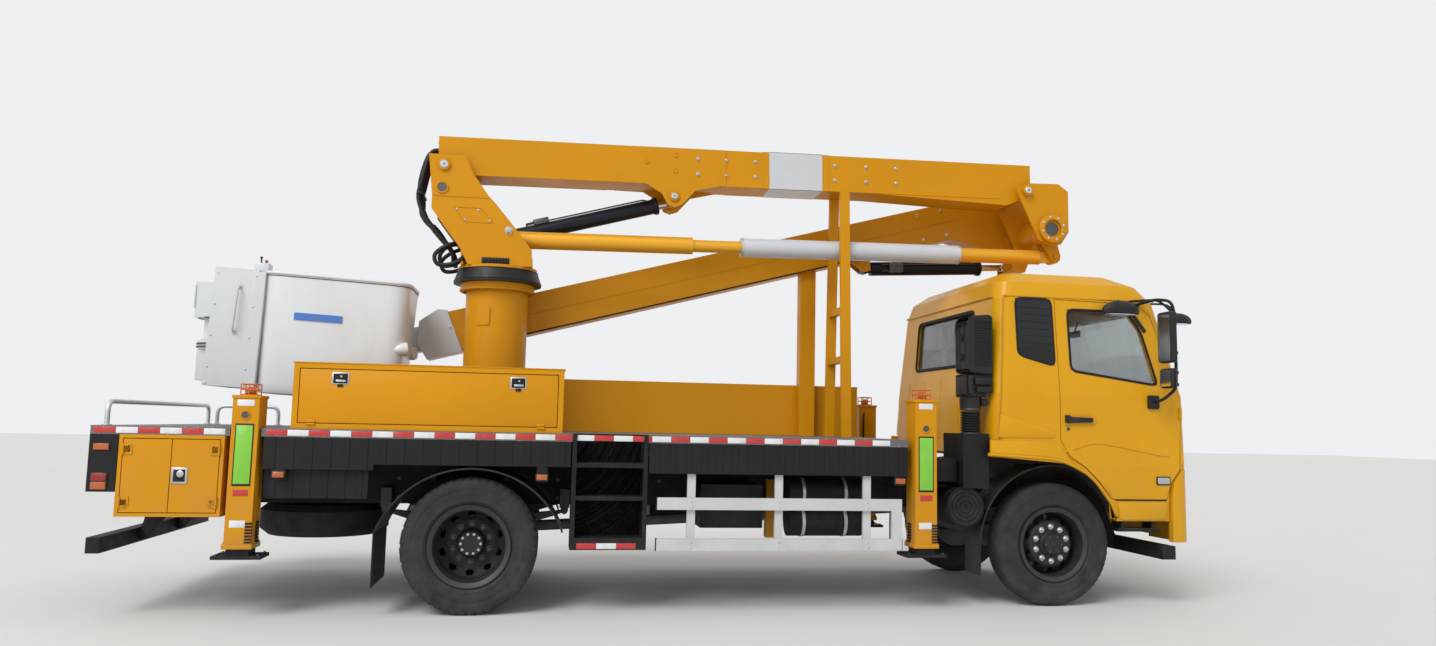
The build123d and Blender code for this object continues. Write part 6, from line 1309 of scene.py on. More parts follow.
class TRUCK_OT_mirrors(bpy.types.Operator):
    """Builds the door mirrors on their tubular frames"""

    bl_idname = "truck.mirrors"
    bl_label = "Mirrors"

    def head(self, form, place, half, height, depth):
        """A mirror in its shaped shell, facing back."""
        part = bmesh.new()
        bmesh.ops.create_cube(part, size=2)
        bmesh.ops.scale(part, vec=(depth * 0.72, half, height), verts=part.verts)
        bmesh.ops.bevel(part, geom=part.edges[:], offset=0.026, segments=4, profile=0.6, affect="EDGES")
        for vert in part.verts:
            if vert.co.x > 0:
                vert.co.x += 0.014 * (1 - 0.5 * ((vert.co.y / half) ** 2 + (vert.co.z / height) ** 2))
        form.take(part, "trim", Matrix.Translation(place))
        y, z = half - 0.012, height - 0.012
        face = rounded(rectangle(-y, y, -z, z), 0.02, 4)
        back = place[0] - depth * 0.72
        form.plate(
            [(place[1] + p.x, place[2] + p.y) for p in face], "X", back - 0.003, back + 0.002, "mirror_silver",
            0.0008)
        form.tube([(back - 0.001, place[1] + p.x, place[2] + p.y) for p in face], 0.005, "trim", 8, True)

    def execute(self, context):
        for name, side in SIDES:
            form = Form(f"mirror_set_{name}")
            x, out = FRONT_AXLE, side * 1.395
            frame_route = (
                (0.86, 1.185, 1.69), (0.88, 1.3, 1.71), (0.935, 1.395, 1.8), (0.94, 1.395, 1.9),
                (0.94, 1.395, 2.42), (0.91, 1.395, 2.53), (0.85, 1.28, 2.555), (0.79, 1.125, 2.53))
            arm_route = ((0.71, 1.112, 2.55), (0.8, 1.13, 2.56), (0.88, 1.26, 2.545), (0.9, 1.395, 2.45))
            frame_route, arm_route = (
                [(x + along, side * across, up) for along, across, up in route] for route in (frame_route, arm_route))
            form.tube(rounded(frame_route, 0.05, 5, False), 0.013, "trim", 14)
            form.tube(smooth_path(arm_route, 5), 0.01, "trim", 10)
            face_blocks(form, x, side, side, [(0.81, 0.915, 1.635, 1.75, 0.1755, 0.205, "trim")], 0.014)
            face_blocks(form, x, side, side, [(0.68, 0.8, 2.505, 2.535, 0.085, 0.122, "trim")], 0.01)
            for z, half, height, depth in ((2.225, 0.093, 0.213, 0.04), (1.885, 0.083, 0.083, 0.034)):
                self.head(form, (x + 0.87, out, z), half, height, depth)
                for offset in (-0.6, 0.6):
                    form.block(
                        (x + 0.87, out - 0.018, z + offset * height - 0.014),
                        (x + 0.955, out + 0.018, z + offset * height + 0.014), "trim", 0.006)
            form.done(f"cab_door_{name}", "plastic_black", [f"mirror_{name}"])

        form = Form("kerb_mirrors")
        x = FRONT_AXLE
        for place, size, stem in (
            ((x + 0.595, -1.165, 2.46), (0.17, 0.06, 0.085),
             [(x + 0.62, -1.085, 2.56), (x + 0.6, -1.155, 2.53)]),
            ((x + 1.17, -1.1, 2.4), (0.125, 0.07, 0.07),
             [(x + 0.95, -0.98, 2.555), (x + 1.1, -1.06, 2.54), (x + 1.15, -1.1, 2.45)]),
        ):
            for scale, drop, look, levels in (
                ((1, 1, 1), 0, "trim", 4), ((0.88, 0.88, 0.16), 0.36, "mirror_silver", 3),
            ):
                part = bmesh.new()
                bmesh.ops.create_icosphere(part, subdivisions=levels, radius=1)
                for vert in part.verts:
                    if vert.co.z < -0.35 and not drop:
                        vert.co.z = -0.35 - (vert.co.z + 0.35) * 0.12
                bmesh.ops.scale(part, vec=[a * b for a, b in zip(size, scale)], verts=part.verts)
                form.take(part, look, Matrix.Translation(Vector(place) - Vector((0, 0, size[2] * drop))))
            form.tube(smooth_path(stem, 5), 0.009, "trim", 10)
        form.done("chassis", "plastic_black")
        return {"FINISHED"}


class TRUCK_OT_lamps(bpy.types.Operator):
    """Builds the headlamps, side markers, tail lamps and the guarded flashers on the jacks"""

    bl_idname = "truck.lamps"
    bl_label = "Lamps"

    def headlamp(self, form, side):
        """A twin headlamp behind its bowed lens."""
        part = bmesh.new()
        columns = [side * (0.72 + 0.06 * k) for k in range(6)]
        grid = []
        for z in (0.784, 0.8, 0.87, 0.94, 0.956):
            inset = -0.014 if 0.79 < z < 0.95 else -0.024
            depths = [inset - 0.01, *[inset] * 4, inset - 0.01]
            grid.append([part.verts.new(bumper_at(y, z, depth)) for y, depth in zip(columns, depths)])
        for one, two in zip(grid, grid[1:]):
            bridge(part, one, two, False)
        form.take(part, "clear_lens")
        x, y = FRONT_AXLE + 1.185, side * 0.87
        form.block((x, y - 0.158, 0.782), (x + 0.015, y + 0.158, 0.958), "trim", 0.004)
        for offset in (-0.075, 0.075):
            centre = bumper_at(y, 0.87, -0.058) + Vector((0, offset, 0))
            bowl = [(0.064, 0), (0.062, -0.012), (0.05, -0.032), (0.02, -0.045), (0, -0.046)]
            form.turned(bowl, centre, AHEAD, "mirror_silver", 36)
            form.turned([(0.068, -0.004), (0.068, 0.004), (0.062, 0.004)], centre, AHEAD, "trim", 36)
            form.turned([(0.016, -0.045), (0.016, -0.02), (0, -0.012)], centre, AHEAD, "clear_lens", 16)
        low = bumper_at(side * 1.005, 0.79, -0.038)
        form.block(low - Vector((0, 0.02, 0)), low + Vector((0.018, 0.02, 0.16)), "amber_lens", 0.004)

    def execute(self, context):
        form = Form("lamp_set")
        for side in (-1, 1):
            self.headlamp(form, side)
            face = side * DECK_HALF
            face_blocks(form, DECK_REAR, face, side, (
                (0.024, 0.136, 0.888, 1.017, 0.0005, 0.007, "trim"),
                (0.032, 0.128, 0.955, 1.009, 0.0005, 0.014, "red_lens"),
                (0.032, 0.128, 0.897, 0.949, 0.0005, 0.014, "amber_lens"),
                (0.03, 0.13, 1.17, 1.215, 0.0005, 0.014, "amber_lens")), 0.004)
            for near, far, look in (
                (1.17, 0.81, "trim"), (1.16, 1.05, "red_lens"), (1.045, 0.935, "amber_lens"),
                (0.93, 0.82, "clear_lens"),
            ):
                proud = 0.01 if look == "trim" else 0.02
                form.block((DECK_REAR - proud, side * near, 0.96), (DECK_REAR, side * far, 1.06), look, 0.005)
            for x in (-1.345 if side < 0 else -1.2, 0.51, 3.31):
                x += REAR_AXLE
                face_blocks(form, x, face, side, [(-0.048, 0.048, 0.985, 1.04, 0.0005, 0.01, "trim")], 0.004)
                face_blocks(form, x, face, side, [(-0.04, 0.04, 0.991, 1.034, 0.008, 0.026, "amber_lens")], 0.008)
        form.done("chassis", "lamp_orange", ["lamps"])

        for name, (side, x, top) in JACKS.items():
            form = Form(f"flasher_{name}")
            centre = Vector((x, side * (JACK_OUTER - JACK_DEPTH / 2), top))
            form.turned([(0.05, 0), (0.05, 0.01), (0.036, 0.016), (0, 0.016)], centre, UP, "trim", 28)
            lamp = [(0.034, 0.014), (0.036, 0.03), (0.033, 0.05), (0.02, 0.063), (0, 0.066)]
            form.turned(lamp, centre, UP, "amber_lens", 28)
            corners = [Vector((*corner, 0)) for corner in rectangle(-0.056, 0.056, -0.06, 0.06)]
            for height in GUARD_HEIGHTS:
                ring = [centre + Vector((p.x, p.y, height)) for p in rounded(corners, 0.014, 3)]
                form.tube(ring, GUARD_BAR, "guard_orange", 8, True)
            roof = Vector((0, 0, GUARD_HEIGHTS[-1]))
            feet = [centre + corner * 0.97 for corner in corners + [Vector((0, -0.06, 0)), Vector((0, 0.06, 0))]]
            bars = [(foot, foot + roof) for foot in feet]
            bars += [[centre + roof + Vector((end, y, 0)) for end in (-0.056, 0.056)] for y in (-0.02, 0.02)]
            for bar in bars:
                form.tube(bar, GUARD_BAR, "guard_orange", 8)
            form.done(f"outrigger_{name}", "lamp_orange")
        return {"FINISHED"}


class TRUCK_OT_jacks(bpy.types.Operator):
    """Adds the jacks' fittings: blank green panels, sight holes, corner rubbers, collars and feet"""

    bl_idname = "truck.jacks"
    bl_label = "Jacks"

    def execute(self, context):
        for name, (side, x, top) in JACKS.items():
            form = Form(f"jack_fittings_{name}")
            face, back = side * JACK_OUTER, side * (JACK_OUTER - JACK_DEPTH)
            face_blocks(form, x, face, side, (
                (-0.063, 0.063, 0.93, 1.37, 0, 0.0025, "trim"),
                (-0.055, 0.055, 0.945, 1.358, 0, 0.004, "green_sheet"),
                (-0.05, 0.05, 0.86, 0.905, 0, 0.0025, "red_tape"),
                (-0.06, 0.045, 0.64, 0.69, 0, 0.0025, "white_tape"),
                (-0.06, 0.055, top - 0.075, top - 0.03, 0, 0.0025, "white_tape")), 0.0005)
            hole = (x, face, 1.43)
            form.turned(
                [(0.034, 0), (0.034, 0.006), (0.028, 0.008), (0.024, 0)], hole, (0, side, 0), "boom_enamel", 28)
            # A flat dark steel disc fills the sight hole: painted shade of the hole's inside.
            form.turned([(0.025, 0.0015), (0, 0.0015)], hole, (0, side, 0), "dark_steel", 28)
            for index in range(7):
                z = 0.53 + index * 0.022
                form.block(
                    (x + 0.045, face - side * 0.01, z), (x + 0.094, face + side * 0.007, z + 0.013), "seal_rubber",
                    0.003)
                for across in (-1, 1):
                    low, high = x + across * (JACK_HALF - 0.002), x + across * (JACK_HALF + 0.014)
                    form.block(
                        (low, face - side * 0.15, z), (high, face - side * 0.09, z + 0.013), "seal_rubber", 0.003)
            z = JACK_BOTTOM
            for proud, low, high in (
                (0.012, z, z + 0.035), (0.006, z + 0.035, z + 0.05), (0.008, top - 0.02, top + 0.002),
            ):
                half = JACK_HALF + proud
                for start, end, near, far in (
                    (-half, half, -JACK_DEPTH, -JACK_DEPTH - proud), (-half, half, 0, proud),
                    (-JACK_HALF, -half, -JACK_DEPTH, 0), (JACK_HALF, half, -JACK_DEPTH, 0),
                ):
                    face_blocks(form, x, face, side, [(start, end, low, high, near, far, "boom_enamel")], 0.003)
            line = [
                (x - 0.05, back - side * 0.012, 1.2), (x - 0.05, back - side * 0.02, 1.45),
                (x - 0.03, back + side * 0.03, top + 0.01)]
            form.tube(smooth_path(line, 6), 0.009, "cable_cover", 10)
            form.block((x - 0.06, back - side * 0.03, 1.12), (x + 0.02, back, 1.22), "dark_steel", 0.004)
            form.done(f"outrigger_{name}", "body_yellow")

            form = Form(f"jack_foot_{name}")
            y = side * (JACK_OUTER - JACK_DEPTH / 2)
            for index in range(6):
                offset = -0.125 + index * 0.05
                form.block(
                    (x + offset, y - 0.11, 0.4185), (x + offset + 0.024, y + 0.11, 0.4205), "seal_rubber", 0.0005)
            for dx in (-0.14, 0.14):
                for dy in (-0.09, 0.09):
                    form.bolt((x + dx, y + dy, 0.444), UP, 0.018, "dark_steel")
            form.done(f"jack_leg_{name}", "body_yellow")
        return {"FINISHED"}


def tape_run(form, start, end, side):
    """Red and white reflective tape along one edge of the deck."""
    half, height = sizes().tape_width / 2, DECK_TOP - DECK_EDGE / 2
    count = max(2, round((end - start) / sizes().tape_length))
    step = (end - start) / count
    face = side * DECK_HALF
    for index in range(count):
        low, high = start + index * step + 0.001, start + (index + 1) * step - 0.001
        colour = "white_tape" if index % 2 else "red_tape"
        form.block((low, face, height - half), (high, face + side * TAPE_THICK, height + half), colour, 0.0006)


class TRUCK_OT_deck(bpy.types.Operator):
    """Adds the deck's tape, tie bolts, step treads, guard caps, and the boxes' hinges, latches and seals"""

    bl_idname = "truck.deck"
    bl_label = "Deck and Boxes"

    def execute(self, context):
        form = Form("reflective_tape")
        for side in (-1, 1):
            tape_run(form, DECK_REAR + 0.02, REAR_AXLE - 1.72, side)
            tape_run(form, REAR_AXLE - 1.45, DECK_FRONT - 0.15, side)
        for index in range(12):
            low = -1.1 + index * 0.184
            form.block(
                (DECK_REAR - TAPE_THICK, low, 1.29), (DECK_REAR, low + 0.18, 1.33),
                "white_tape" if index % 2 else "red_tape", 0.0006)
        for index, look in enumerate(("red_tape", "white_tape", "red_tape")):
            low = REAR_AXLE + 0.78 + index * 0.148
            form.block((low, -1.2375, 0.488), (low + 0.147, -1.235, 0.53), look, 0.0006)
        form.done("chassis", "guard_white")

        form = Form("steps_and_guards")
        for z in (0.535, 0.845, 1.09):
            form.block(
                (REAR_AXLE + 0.745, -1.228, z + 0.001), (REAR_AXLE + 1.285, -0.985, z + 0.004), "step_plate", 0.001)
        form.block((REAR_AXLE + 0.75, -0.976, 0.55), (REAR_AXLE + 1.28, -0.972, 1.3), "step_plate", 0.0005)
        for side in (-1, 1):
            for z_low, z_high in ((0.467, 0.563), (0.775, 0.873)):
                for end in (REAR_AXLE + 1.374, REAR_AXLE + 3.324):
                    form.block((end, side * 1.176, z_low), (end + 0.014, side * 1.214, z_high), "trim", 0.004)
            for x in (1.645, 2.335, 3.05):
                for z in (0.495, 0.535, 0.804, 0.844):
                    form.bolt((REAR_AXLE + x, side * 1.214, z), (0, side, 0), 0.018, "zinc")
        form.done("chassis", "plastic_black")

        form = Form("box_fittings")
        for side, low_x, high_x in ((-1, -1.29, 0.65), (1, -1.24, 3.54)):
            low, high = side * 1.206, side * 0.6
            form.block(
                (REAR_AXLE + low_x - 0.008, low, 1.818), (REAR_AXLE + high_x + 0.008, high, 1.826), "boom_enamel",
                0.003)
        form.done("chassis", "body_yellow")

        for name, side, low_x, high_x, places in (
            ("right", -1, -1.245, 0.605, (-0.965, 0.31)), ("left", 1, -1.195, 0.655, (-0.92, 0.33)),
        ):
            form = Form(f"toolbox_panel_{name}")
            face = side * BOX_FACE
            form.block(
                (REAR_AXLE + low_x, face, 1.385), (REAR_AXLE + high_x, face - side * 0.015, 1.775), "boom_enamel",
                0.003)
            for x in (REAR_AXLE + low_x + 0.09, REAR_AXLE + high_x - 0.12):
                form.rod(
                    (x - 0.03, face + side * 0.008, 1.376), (x + 0.03, face + side * 0.008, 1.376), 0.0077,
                    "boom_enamel", 16)
                form.block((x - 0.03, face, 1.388), (x + 0.03, face + side * 0.006, 1.41), "boom_enamel", 0.001)
            for x in places:
                x += REAR_AXLE
                face_blocks(form, x, face, side, (
                    (-0.06, 0.06, 1.665, 1.755, 0, 0.004, "bright_steel"),
                    (-0.05, 0.05, 1.674, 1.746, 0.002, 0.0055, "seal_rubber"),
                    (-0.032, 0.038, 1.684, 1.7, 0.004, 0.012, "bright_steel"),
                    (-0.02, 0.02, 1.648, 1.67, 0, 0.007, "seal_rubber")), 0.002)
                form.rod(
                    (x + 0.005, face + side * 0.003, 1.725), (x + 0.005, face + side * 0.01, 1.725), 0.008,
                    "bright_steel", 18)
            form.done(f"toolbox_door_{name}", "body_yellow", [f"toolbox_door_{name}"])

        for name, hinge, along in (("rear", -2.38, 1), ("front", -1.75, -1)):
            form = Form(f"rear_box_fittings_{name}")
            hinge += REAR_AXLE
            for z in (0.8, 1.185):
                form.rod(
                    (hinge, REAR_BOX_FACE - 0.0045, z - 0.035), (hinge, REAR_BOX_FACE - 0.0045, z + 0.035), 0.006,
                    "boom_enamel", 12)
                form.block(
                    (hinge, REAR_BOX_FACE - 0.005, z - 0.03),
                    (hinge + along * 0.05, REAR_BOX_FACE - 0.0005, z + 0.03), "boom_enamel", 0.001)
                for dz in (-0.018, 0.018):
                    form.bolt((hinge + along * 0.036, REAR_BOX_FACE - 0.004, z + dz), (0, -1, 0), 0.009, "dark_steel")
            form.done(f"rear_toolbox_door_{name}", "body_yellow")
        form = Form("rear_box_latch")
        x = REAR_AXLE - 2
        form.block(
            (x - 0.056, REAR_BOX_FACE - 0.0055, 0.94), (x + 0.05, REAR_BOX_FACE - 0.0005, 1.055), "bright_steel",
            0.002)
        form.block(
            (x - 0.042, REAR_BOX_FACE - 0.0075, 0.955), (x + 0.036, REAR_BOX_FACE - 0.0025, 1.04), "seal_rubber",
            0.001)
        form.turned(
            [(0.024, 0), (0.024, 0.006), (0.014, 0.01), (0, 0.008)], (x + 0.004, REAR_BOX_FACE - 0.006, 1.01),
            (0, -1, 0), "bright_steel", 24)
        form.done("rear_toolbox_door_front", "steel_bright")

        form = Form("rails_and_hoops")
        for start, end in (((-4.28, -1.04), (-4.28, 1.13)), ((-4.22, 1.19), (-3.68, 1.19))):
            path = [(*start, DECK_TOP), (*start, DECK_TOP + 0.17), (*end, DECK_TOP + 0.17), (*end, DECK_TOP)]
            form.tube(rounded(path, 0.075, 6, False), 0.0175, "zinc", 16)
            for foot in (start, end):
                form.turned([(0.034, 0), (0.034, 0.006), (0, 0.006)], (*foot, DECK_TOP), UP, "zinc", 20)
        form.done("chassis", "guard_white", ["deck_hoops"])

        form = Form("frame_fittings")
        for side in (-1, 1):
            for index in range(11):
                for z in (0.8, 0.95):
                    form.bolt((REAR_AXLE - 2.3 + 0.42 * index, side * 0.43, z), (0, side, 0), 0.022, "dark_steel")
        form.block((0.675, -0.52, 0.49), (0.765, -0.43, 0.98), "boom_enamel", 0.006)
        for side, x, top in JACKS.values():
            form.block((x - 0.085, -side * 1.01, 1.005), (x + 0.085, -side * 1.016, 1.185), "frame_paint", 0.003)
        for y, z in ((0, 0.86), (0.12, 0.9)):
            route = [
                (REAR_AXLE - 1.2, y, z), (REAR_AXLE, y + 0.04, z + 0.02), (REAR_AXLE + 1.6, y, z - 0.02),
                (REAR_AXLE + 3.2, y, z)]
            form.tube(smooth_path(route, 6), 0.012, "cable_cover", 10)
        x = FRONT_AXLE - 0.775
        for y in (-1.082, -0.98, -0.88):
            form.turned([(0.161, -0.006), (0.165, 0), (0.161, 0.006)], (x, y, 0.8), (0, -1, 0), "trim", 40)
        for radius in (0.145, 0.11, 0.075, 0.04):
            ridge = [(radius, 0), (radius - 0.004, 0.006), (radius - 0.012, 0.006), (radius - 0.016, 0)]
            form.turned(ridge, (x, -1.081, 0.8), (0, -1, 0), "trim", 40)
        for z in (0.66, 0.895):
            for x in (REAR_AXLE + 2.6, REAR_AXLE + 2.95):
                form.turned(
                    [(0.117, -0.014), (0.12, -0.012), (0.12, 0.012), (0.117, 0.014)], (x, -0.85, z), AHEAD, "zinc",
                    36)
        form.done("chassis", "chassis_black")
        return {"FINISHED"}


def bumper_at(y, height, proud):
    """A point on the bowed face of the bumper."""
    bow = (1.175 ** 2 + CAB_BOW ** 2) / (2 * CAB_BOW)
    return Vector((FRONT_AXLE + 1.32 + proud - bow + sqrt(bow ** 2 - y ** 2), y, height))


class TRUCK_OT_bumper(bpy.types.Operator):
    """Adds the bumper's lower edge, tow covers, step slots and a blank plate"""

    bl_idname = "truck.bumper"
    bl_label = "Bumper"

    def execute(self, context):
        form = Form("bumper_fittings")
        for height, radius, look in (
            (0.56, 0.012, "trim"), (0.745, 0.006, "cab_enamel"), (0.995, 0.006, "cab_enamel"),
        ):
            form.tube([bumper_at(-1.05 + 0.105 * k, height, 0) for k in range(21)], radius, look, 8, False, 0.7, UP)
        for side in (-1, 1):
            form.turned(
                [(0.045, 0), (0.045, 0.004), (0.038, 0.008), (0, 0.008)], bumper_at(side * 0.55, 0.65, 0), AHEAD,
                "cab_enamel", 28)
            outline = rounded(rectangle(-0.16, 0.16, 0.585, 0.7), 0.02, 3)
            form.tube([bumper_at(side * 0.86 + p.x, p.y, 0.001) for p in outline], 0.005, "trim", 8, True)
            for offset in (-0.09, 0.09):
                lamp = [(0.042, 0), (0.042, 0.01), (0.034, 0.012), (0, 0.008)]
                form.turned(lamp, bumper_at(side * 0.86 + offset, 0.642, -0.003), AHEAD, "clear_lens", 28)
        form.block((FRONT_AXLE + 1.319, -0.24, 0.82), (FRONT_AXLE + 1.3225, 0.24, 0.96), "white_enamel", 0.001)
        for y in (-0.18, 0.18):
            form.bolt((FRONT_AXLE + 1.3225, y, 0.935), AHEAD, 0.012, "zinc")
        form.done("chassis", "cab_yellow")
        return {"FINISHED"}


def pad(name, low, high, crown, channels, lean=0):
    """A stuffed seat pad: crowned faces, pulled-in sides and sewn channels across it."""
    low, high = Vector(low), Vector(high)
    centre, size = (low + high) / 2, (high - low) / 2
    thin = min(range(3), key=lambda k: size[k])
    part = bmesh.new()
    bmesh.ops.create_cube(part, size=2)
    bmesh.ops.subdivide_edges(part, edges=part.edges[:], cuts=11, use_grid_fill=True)
    others = [k for k in range(3) if k != thin]
    rim_share, side_pull = 0.72, 0.035
    for vert in part.verts:
        u, v = vert.co[others[0]], vert.co[others[1]]
        edge_u, edge_v = 1 - u ** 8, 1 - v ** 8
        fall = max(0, edge_u * edge_v) ** 0.5
        vert.co[thin] *= rim_share + (1 - rim_share) * fall
        pull = 1 - side_pull * (1 - vert.co[thin] ** 2)
        vert.co[others[0]] *= pull
        vert.co[others[1]] *= pull
    for vert in part.verts:
        place = Vector([vert.co[k] * size[k] for k in range(3)])
        if channels and vert.co[thin] > 0.4:
            wave = cos(vert.co[1] * pi * channels)
            place[thin] -= crown * 0.5 * max(0, wave) ** 6
        vert.co = centre + place
    if lean:
        foot = Matrix.Translation((high.x, 0, low.z))
        turn = foot @ Matrix.Rotation(-lean, 4, "Y") @ foot.inverted()
        bmesh.ops.transform(part, matrix=turn, verts=part.verts)
    form = Form(name)
    form.take(part, "seat_weave")
    piece = form.done("chassis", "seat_grey")
    smooth = piece.modifiers.new("soft", "SUBSURF")
    smooth.levels = smooth.render_levels = 1
    return piece


class TRUCK_OT_interior(bpy.types.Operator):
    """Builds the cab's inside: padded seats, dashboard, steering wheel and pedals"""

    bl_idname = "truck.interior"
    bl_label = "Cab Inside"

    def execute(self, context):
        x = FRONT_AXLE
        form = Form("cab_inside")
        for low_y, high_y in ((0.23, 0.78), (-0.82, 0.1)):
            form.block((x - 0.22, low_y + 0.06, 1.255), (x + 0.24, high_y - 0.06, 1.46), "dashboard_grain", 0.012)
        outline = [
            (x + 0.9, 1.255), (x + 1.06, 1.255), (x + 1.09, 1.7), (x + 1, 1.78), (x + 0.82, 1.745), (x + 0.765, 1.65),
            (x + 0.86, 1.56)]
        form.plate(outline, "Y", -1.015, 1.015, "dashboard_grain", 0.012)
        form.plate(
            [(x + 0.7, 1.7), (x + 0.8, 1.74), (x + 0.86, 1.8), (x + 0.8, 1.835), (x + 0.7, 1.79)], "Y", 0.26, 0.75,
            "dashboard_grain", 0.01)
        for y in (0.38, 0.505, 0.63):
            form.turned(
                [(0.05, 0), (0.05, 0.006), (0.044, 0.008), (0, 0.004)], (x + 0.699, y, 1.745), (-1, 0, 0), "trim", 28)
        for y in (-0.55, -0.25, 0.05):
            form.block((x + 0.752, y, 1.6), (x + 0.775, y + 0.22, 1.66), "trim", 0.008)
        axis = Vector((-0.69, 0, 0.72)).normalized()
        centre = Vector((x + 0.59, 0.505, 1.85))
        turn = Vector(UP).rotation_difference(axis).to_matrix()
        rim = [centre + turn @ place for place in circle((0, 0, 0.008), 0.22, 48, axis="Z")]
        form.tube(rim, 0.015, "trim", 12, True)
        for angle in (0.3, pi - 0.3, pi * 1.5):
            out = turn @ Vector((0.215 * cos(angle), 0.215 * sin(angle), 0.006))
            form.tube(
                [centre - axis * 0.005, centre + out * 0.5 - axis * 0.008, centre + out], 0.014, "trim", 8, False,
                0.5)
        form.turned([(0, -0.03), (0.06, -0.028), (0.068, 0), (0.055, 0.016), (0, 0.022)], centre, axis, "trim", 28)
        form.rod(Vector((x + 0.83, 0.505, 1.6)), centre - axis * 0.02, 0.03, "trim", 20, 0.006)
        form.rod((x + 0.42, 0.12, 1.26), (x + 0.36, 0.13, 1.7), 0.012, "trim", 12)
        form.turned(
            [(0, -0.03), (0.024, -0.02), (0.028, 0), (0.022, 0.02), (0, 0.028)], (x + 0.357, 0.13, 1.72), UP, "trim",
            20)
        for y in (0.36, 0.5, 0.62):
            form.block((x + 0.8, y - 0.035, 1.3), (x + 0.815, y + 0.035, 1.39), "seal_rubber", 0.006)
            form.rod((x + 0.81, y, 1.36), (x + 0.9, y, 1.5), 0.008, "dark_steel", 10)
        form.block((x + 0.8, -0.13, 2.33), (x + 0.825, 0.09, 2.395), "trim", 0.012)
        form.tube([(x + 0.82, -0.02, 2.38), (x + 0.86, -0.02, 2.5)], 0.008, "trim", 8)
        form.done("chassis", "plastic_black", ["cab_interior"])
        for name, low_y, high_y, channels in (("driver", 0.235, 0.775, 3), ("bench", -0.815, 0.095, 5)):
            pad(f"{name}_cushion", (x - 0.245, low_y, 1.462), (x + 0.265, high_y, 1.618), 0.02, channels)
            pad(f"{name}_back", (x - 0.25, low_y, 1.625), (x - 0.13, high_y, 2.235), 0.02, 0, 0.22)
        return {"FINISHED"}


class TRUCK_OT_intake(bpy.types.Operator):
    """Builds the air intake: its shaped housing with louvres, its neck and its bellows"""

    bl_idname = "truck.intake"
    bl_label = "Air Intake"

    def execute(self, context):
        form = Form("air_intake_set")
        rear, front, face = FRONT_AXLE - 0.79, FRONT_AXLE - 0.555, -1.15
        housing = [
            (rear + 0.01, 1.9), (rear, 2.31), (rear + 0.03, 2.37), (front - 0.03, 2.385), (front, 2.36),
            (front, 1.88)]
        form.plate(rounded(housing, 0.03, 4), "Y", face, -0.9, "trim", 0.012)
        lower = [(rear, 1.7), (rear, 1.89), (front, 1.895), (front - 0.02, 1.8), (front - 0.05, 1.7)]
        form.plate(rounded(lower, 0.02, 3), "Y", face + 0.03, -0.92, "trim", 0.01)
        for low, high, z_low, z_high in (
            (0.075, 0.235, 1.8, 1.86), (0.09, 0.235, 1.735, 1.785), (0.02, 0.06, 1.72, 1.88),
        ):
            form.block((rear + low, face - 0.002, z_low), (rear + high, face + 0.05, z_high), "trim", 0.012)
        for index in range(20):
            z = 1.955 + index * 0.0195
            form.block(
                (rear + 0.075, face - 0.007, z), (front - 0.012, face + 0.002, z + 0.009), "cable_cover", 0.003)
        for z in (2.03, 2.19):
            form.turned(
                [(0.03, 0), (0.026, 0.006), (0, 0.004)], (rear - 0.001, -1.05, z), (-1, 0, 0), "seal_rubber", 24)
        for y in (-1.1, -1, -0.95):
            form.tube([(rear + 0.012, y, 1.93), (rear - 0.003, y, 2.3)], 0.006, "trim", 8)
        centre = (rear + 0.09, -1.02, 0)
        form.turned([(0.09, 1.71), (0.088, 1.62), (0.08, 1.59), (0, 1.59)], centre, UP, "trim", 36)
        for index in range(9):
            z = 1.405 + index * 0.021
            form.turned(
                [(0.066, -0.0105), (0.082, -0.004), (0.082, 0.004), (0.066, 0.0105)], (*centre[:2], z), UP,
                "seal_rubber", 36)
        for z in (1.4, 1.6):
            form.turned(
                [(0.083, -0.008), (0.087, -0.006), (0.087, 0.006), (0.083, 0.008)], (*centre[:2], z), UP,
                "dark_steel", 36)
        form.rod((front - 0.05, -1.1, 1.66), (front - 0.05, -1.04, 1.66), 0.03, "trim", 24)
        form.done("chassis", "plastic_black", ["air_intake"])
        return {"FINISHED"}


def put(name, data, place=None):
    """Sets a mesh, a lamp or a camera in the scene."""
    made = bpy.data.objects.new(name, data)
    made.matrix_world = place or Matrix()
    bpy.context.scene.collection.objects.link(made)
    return made


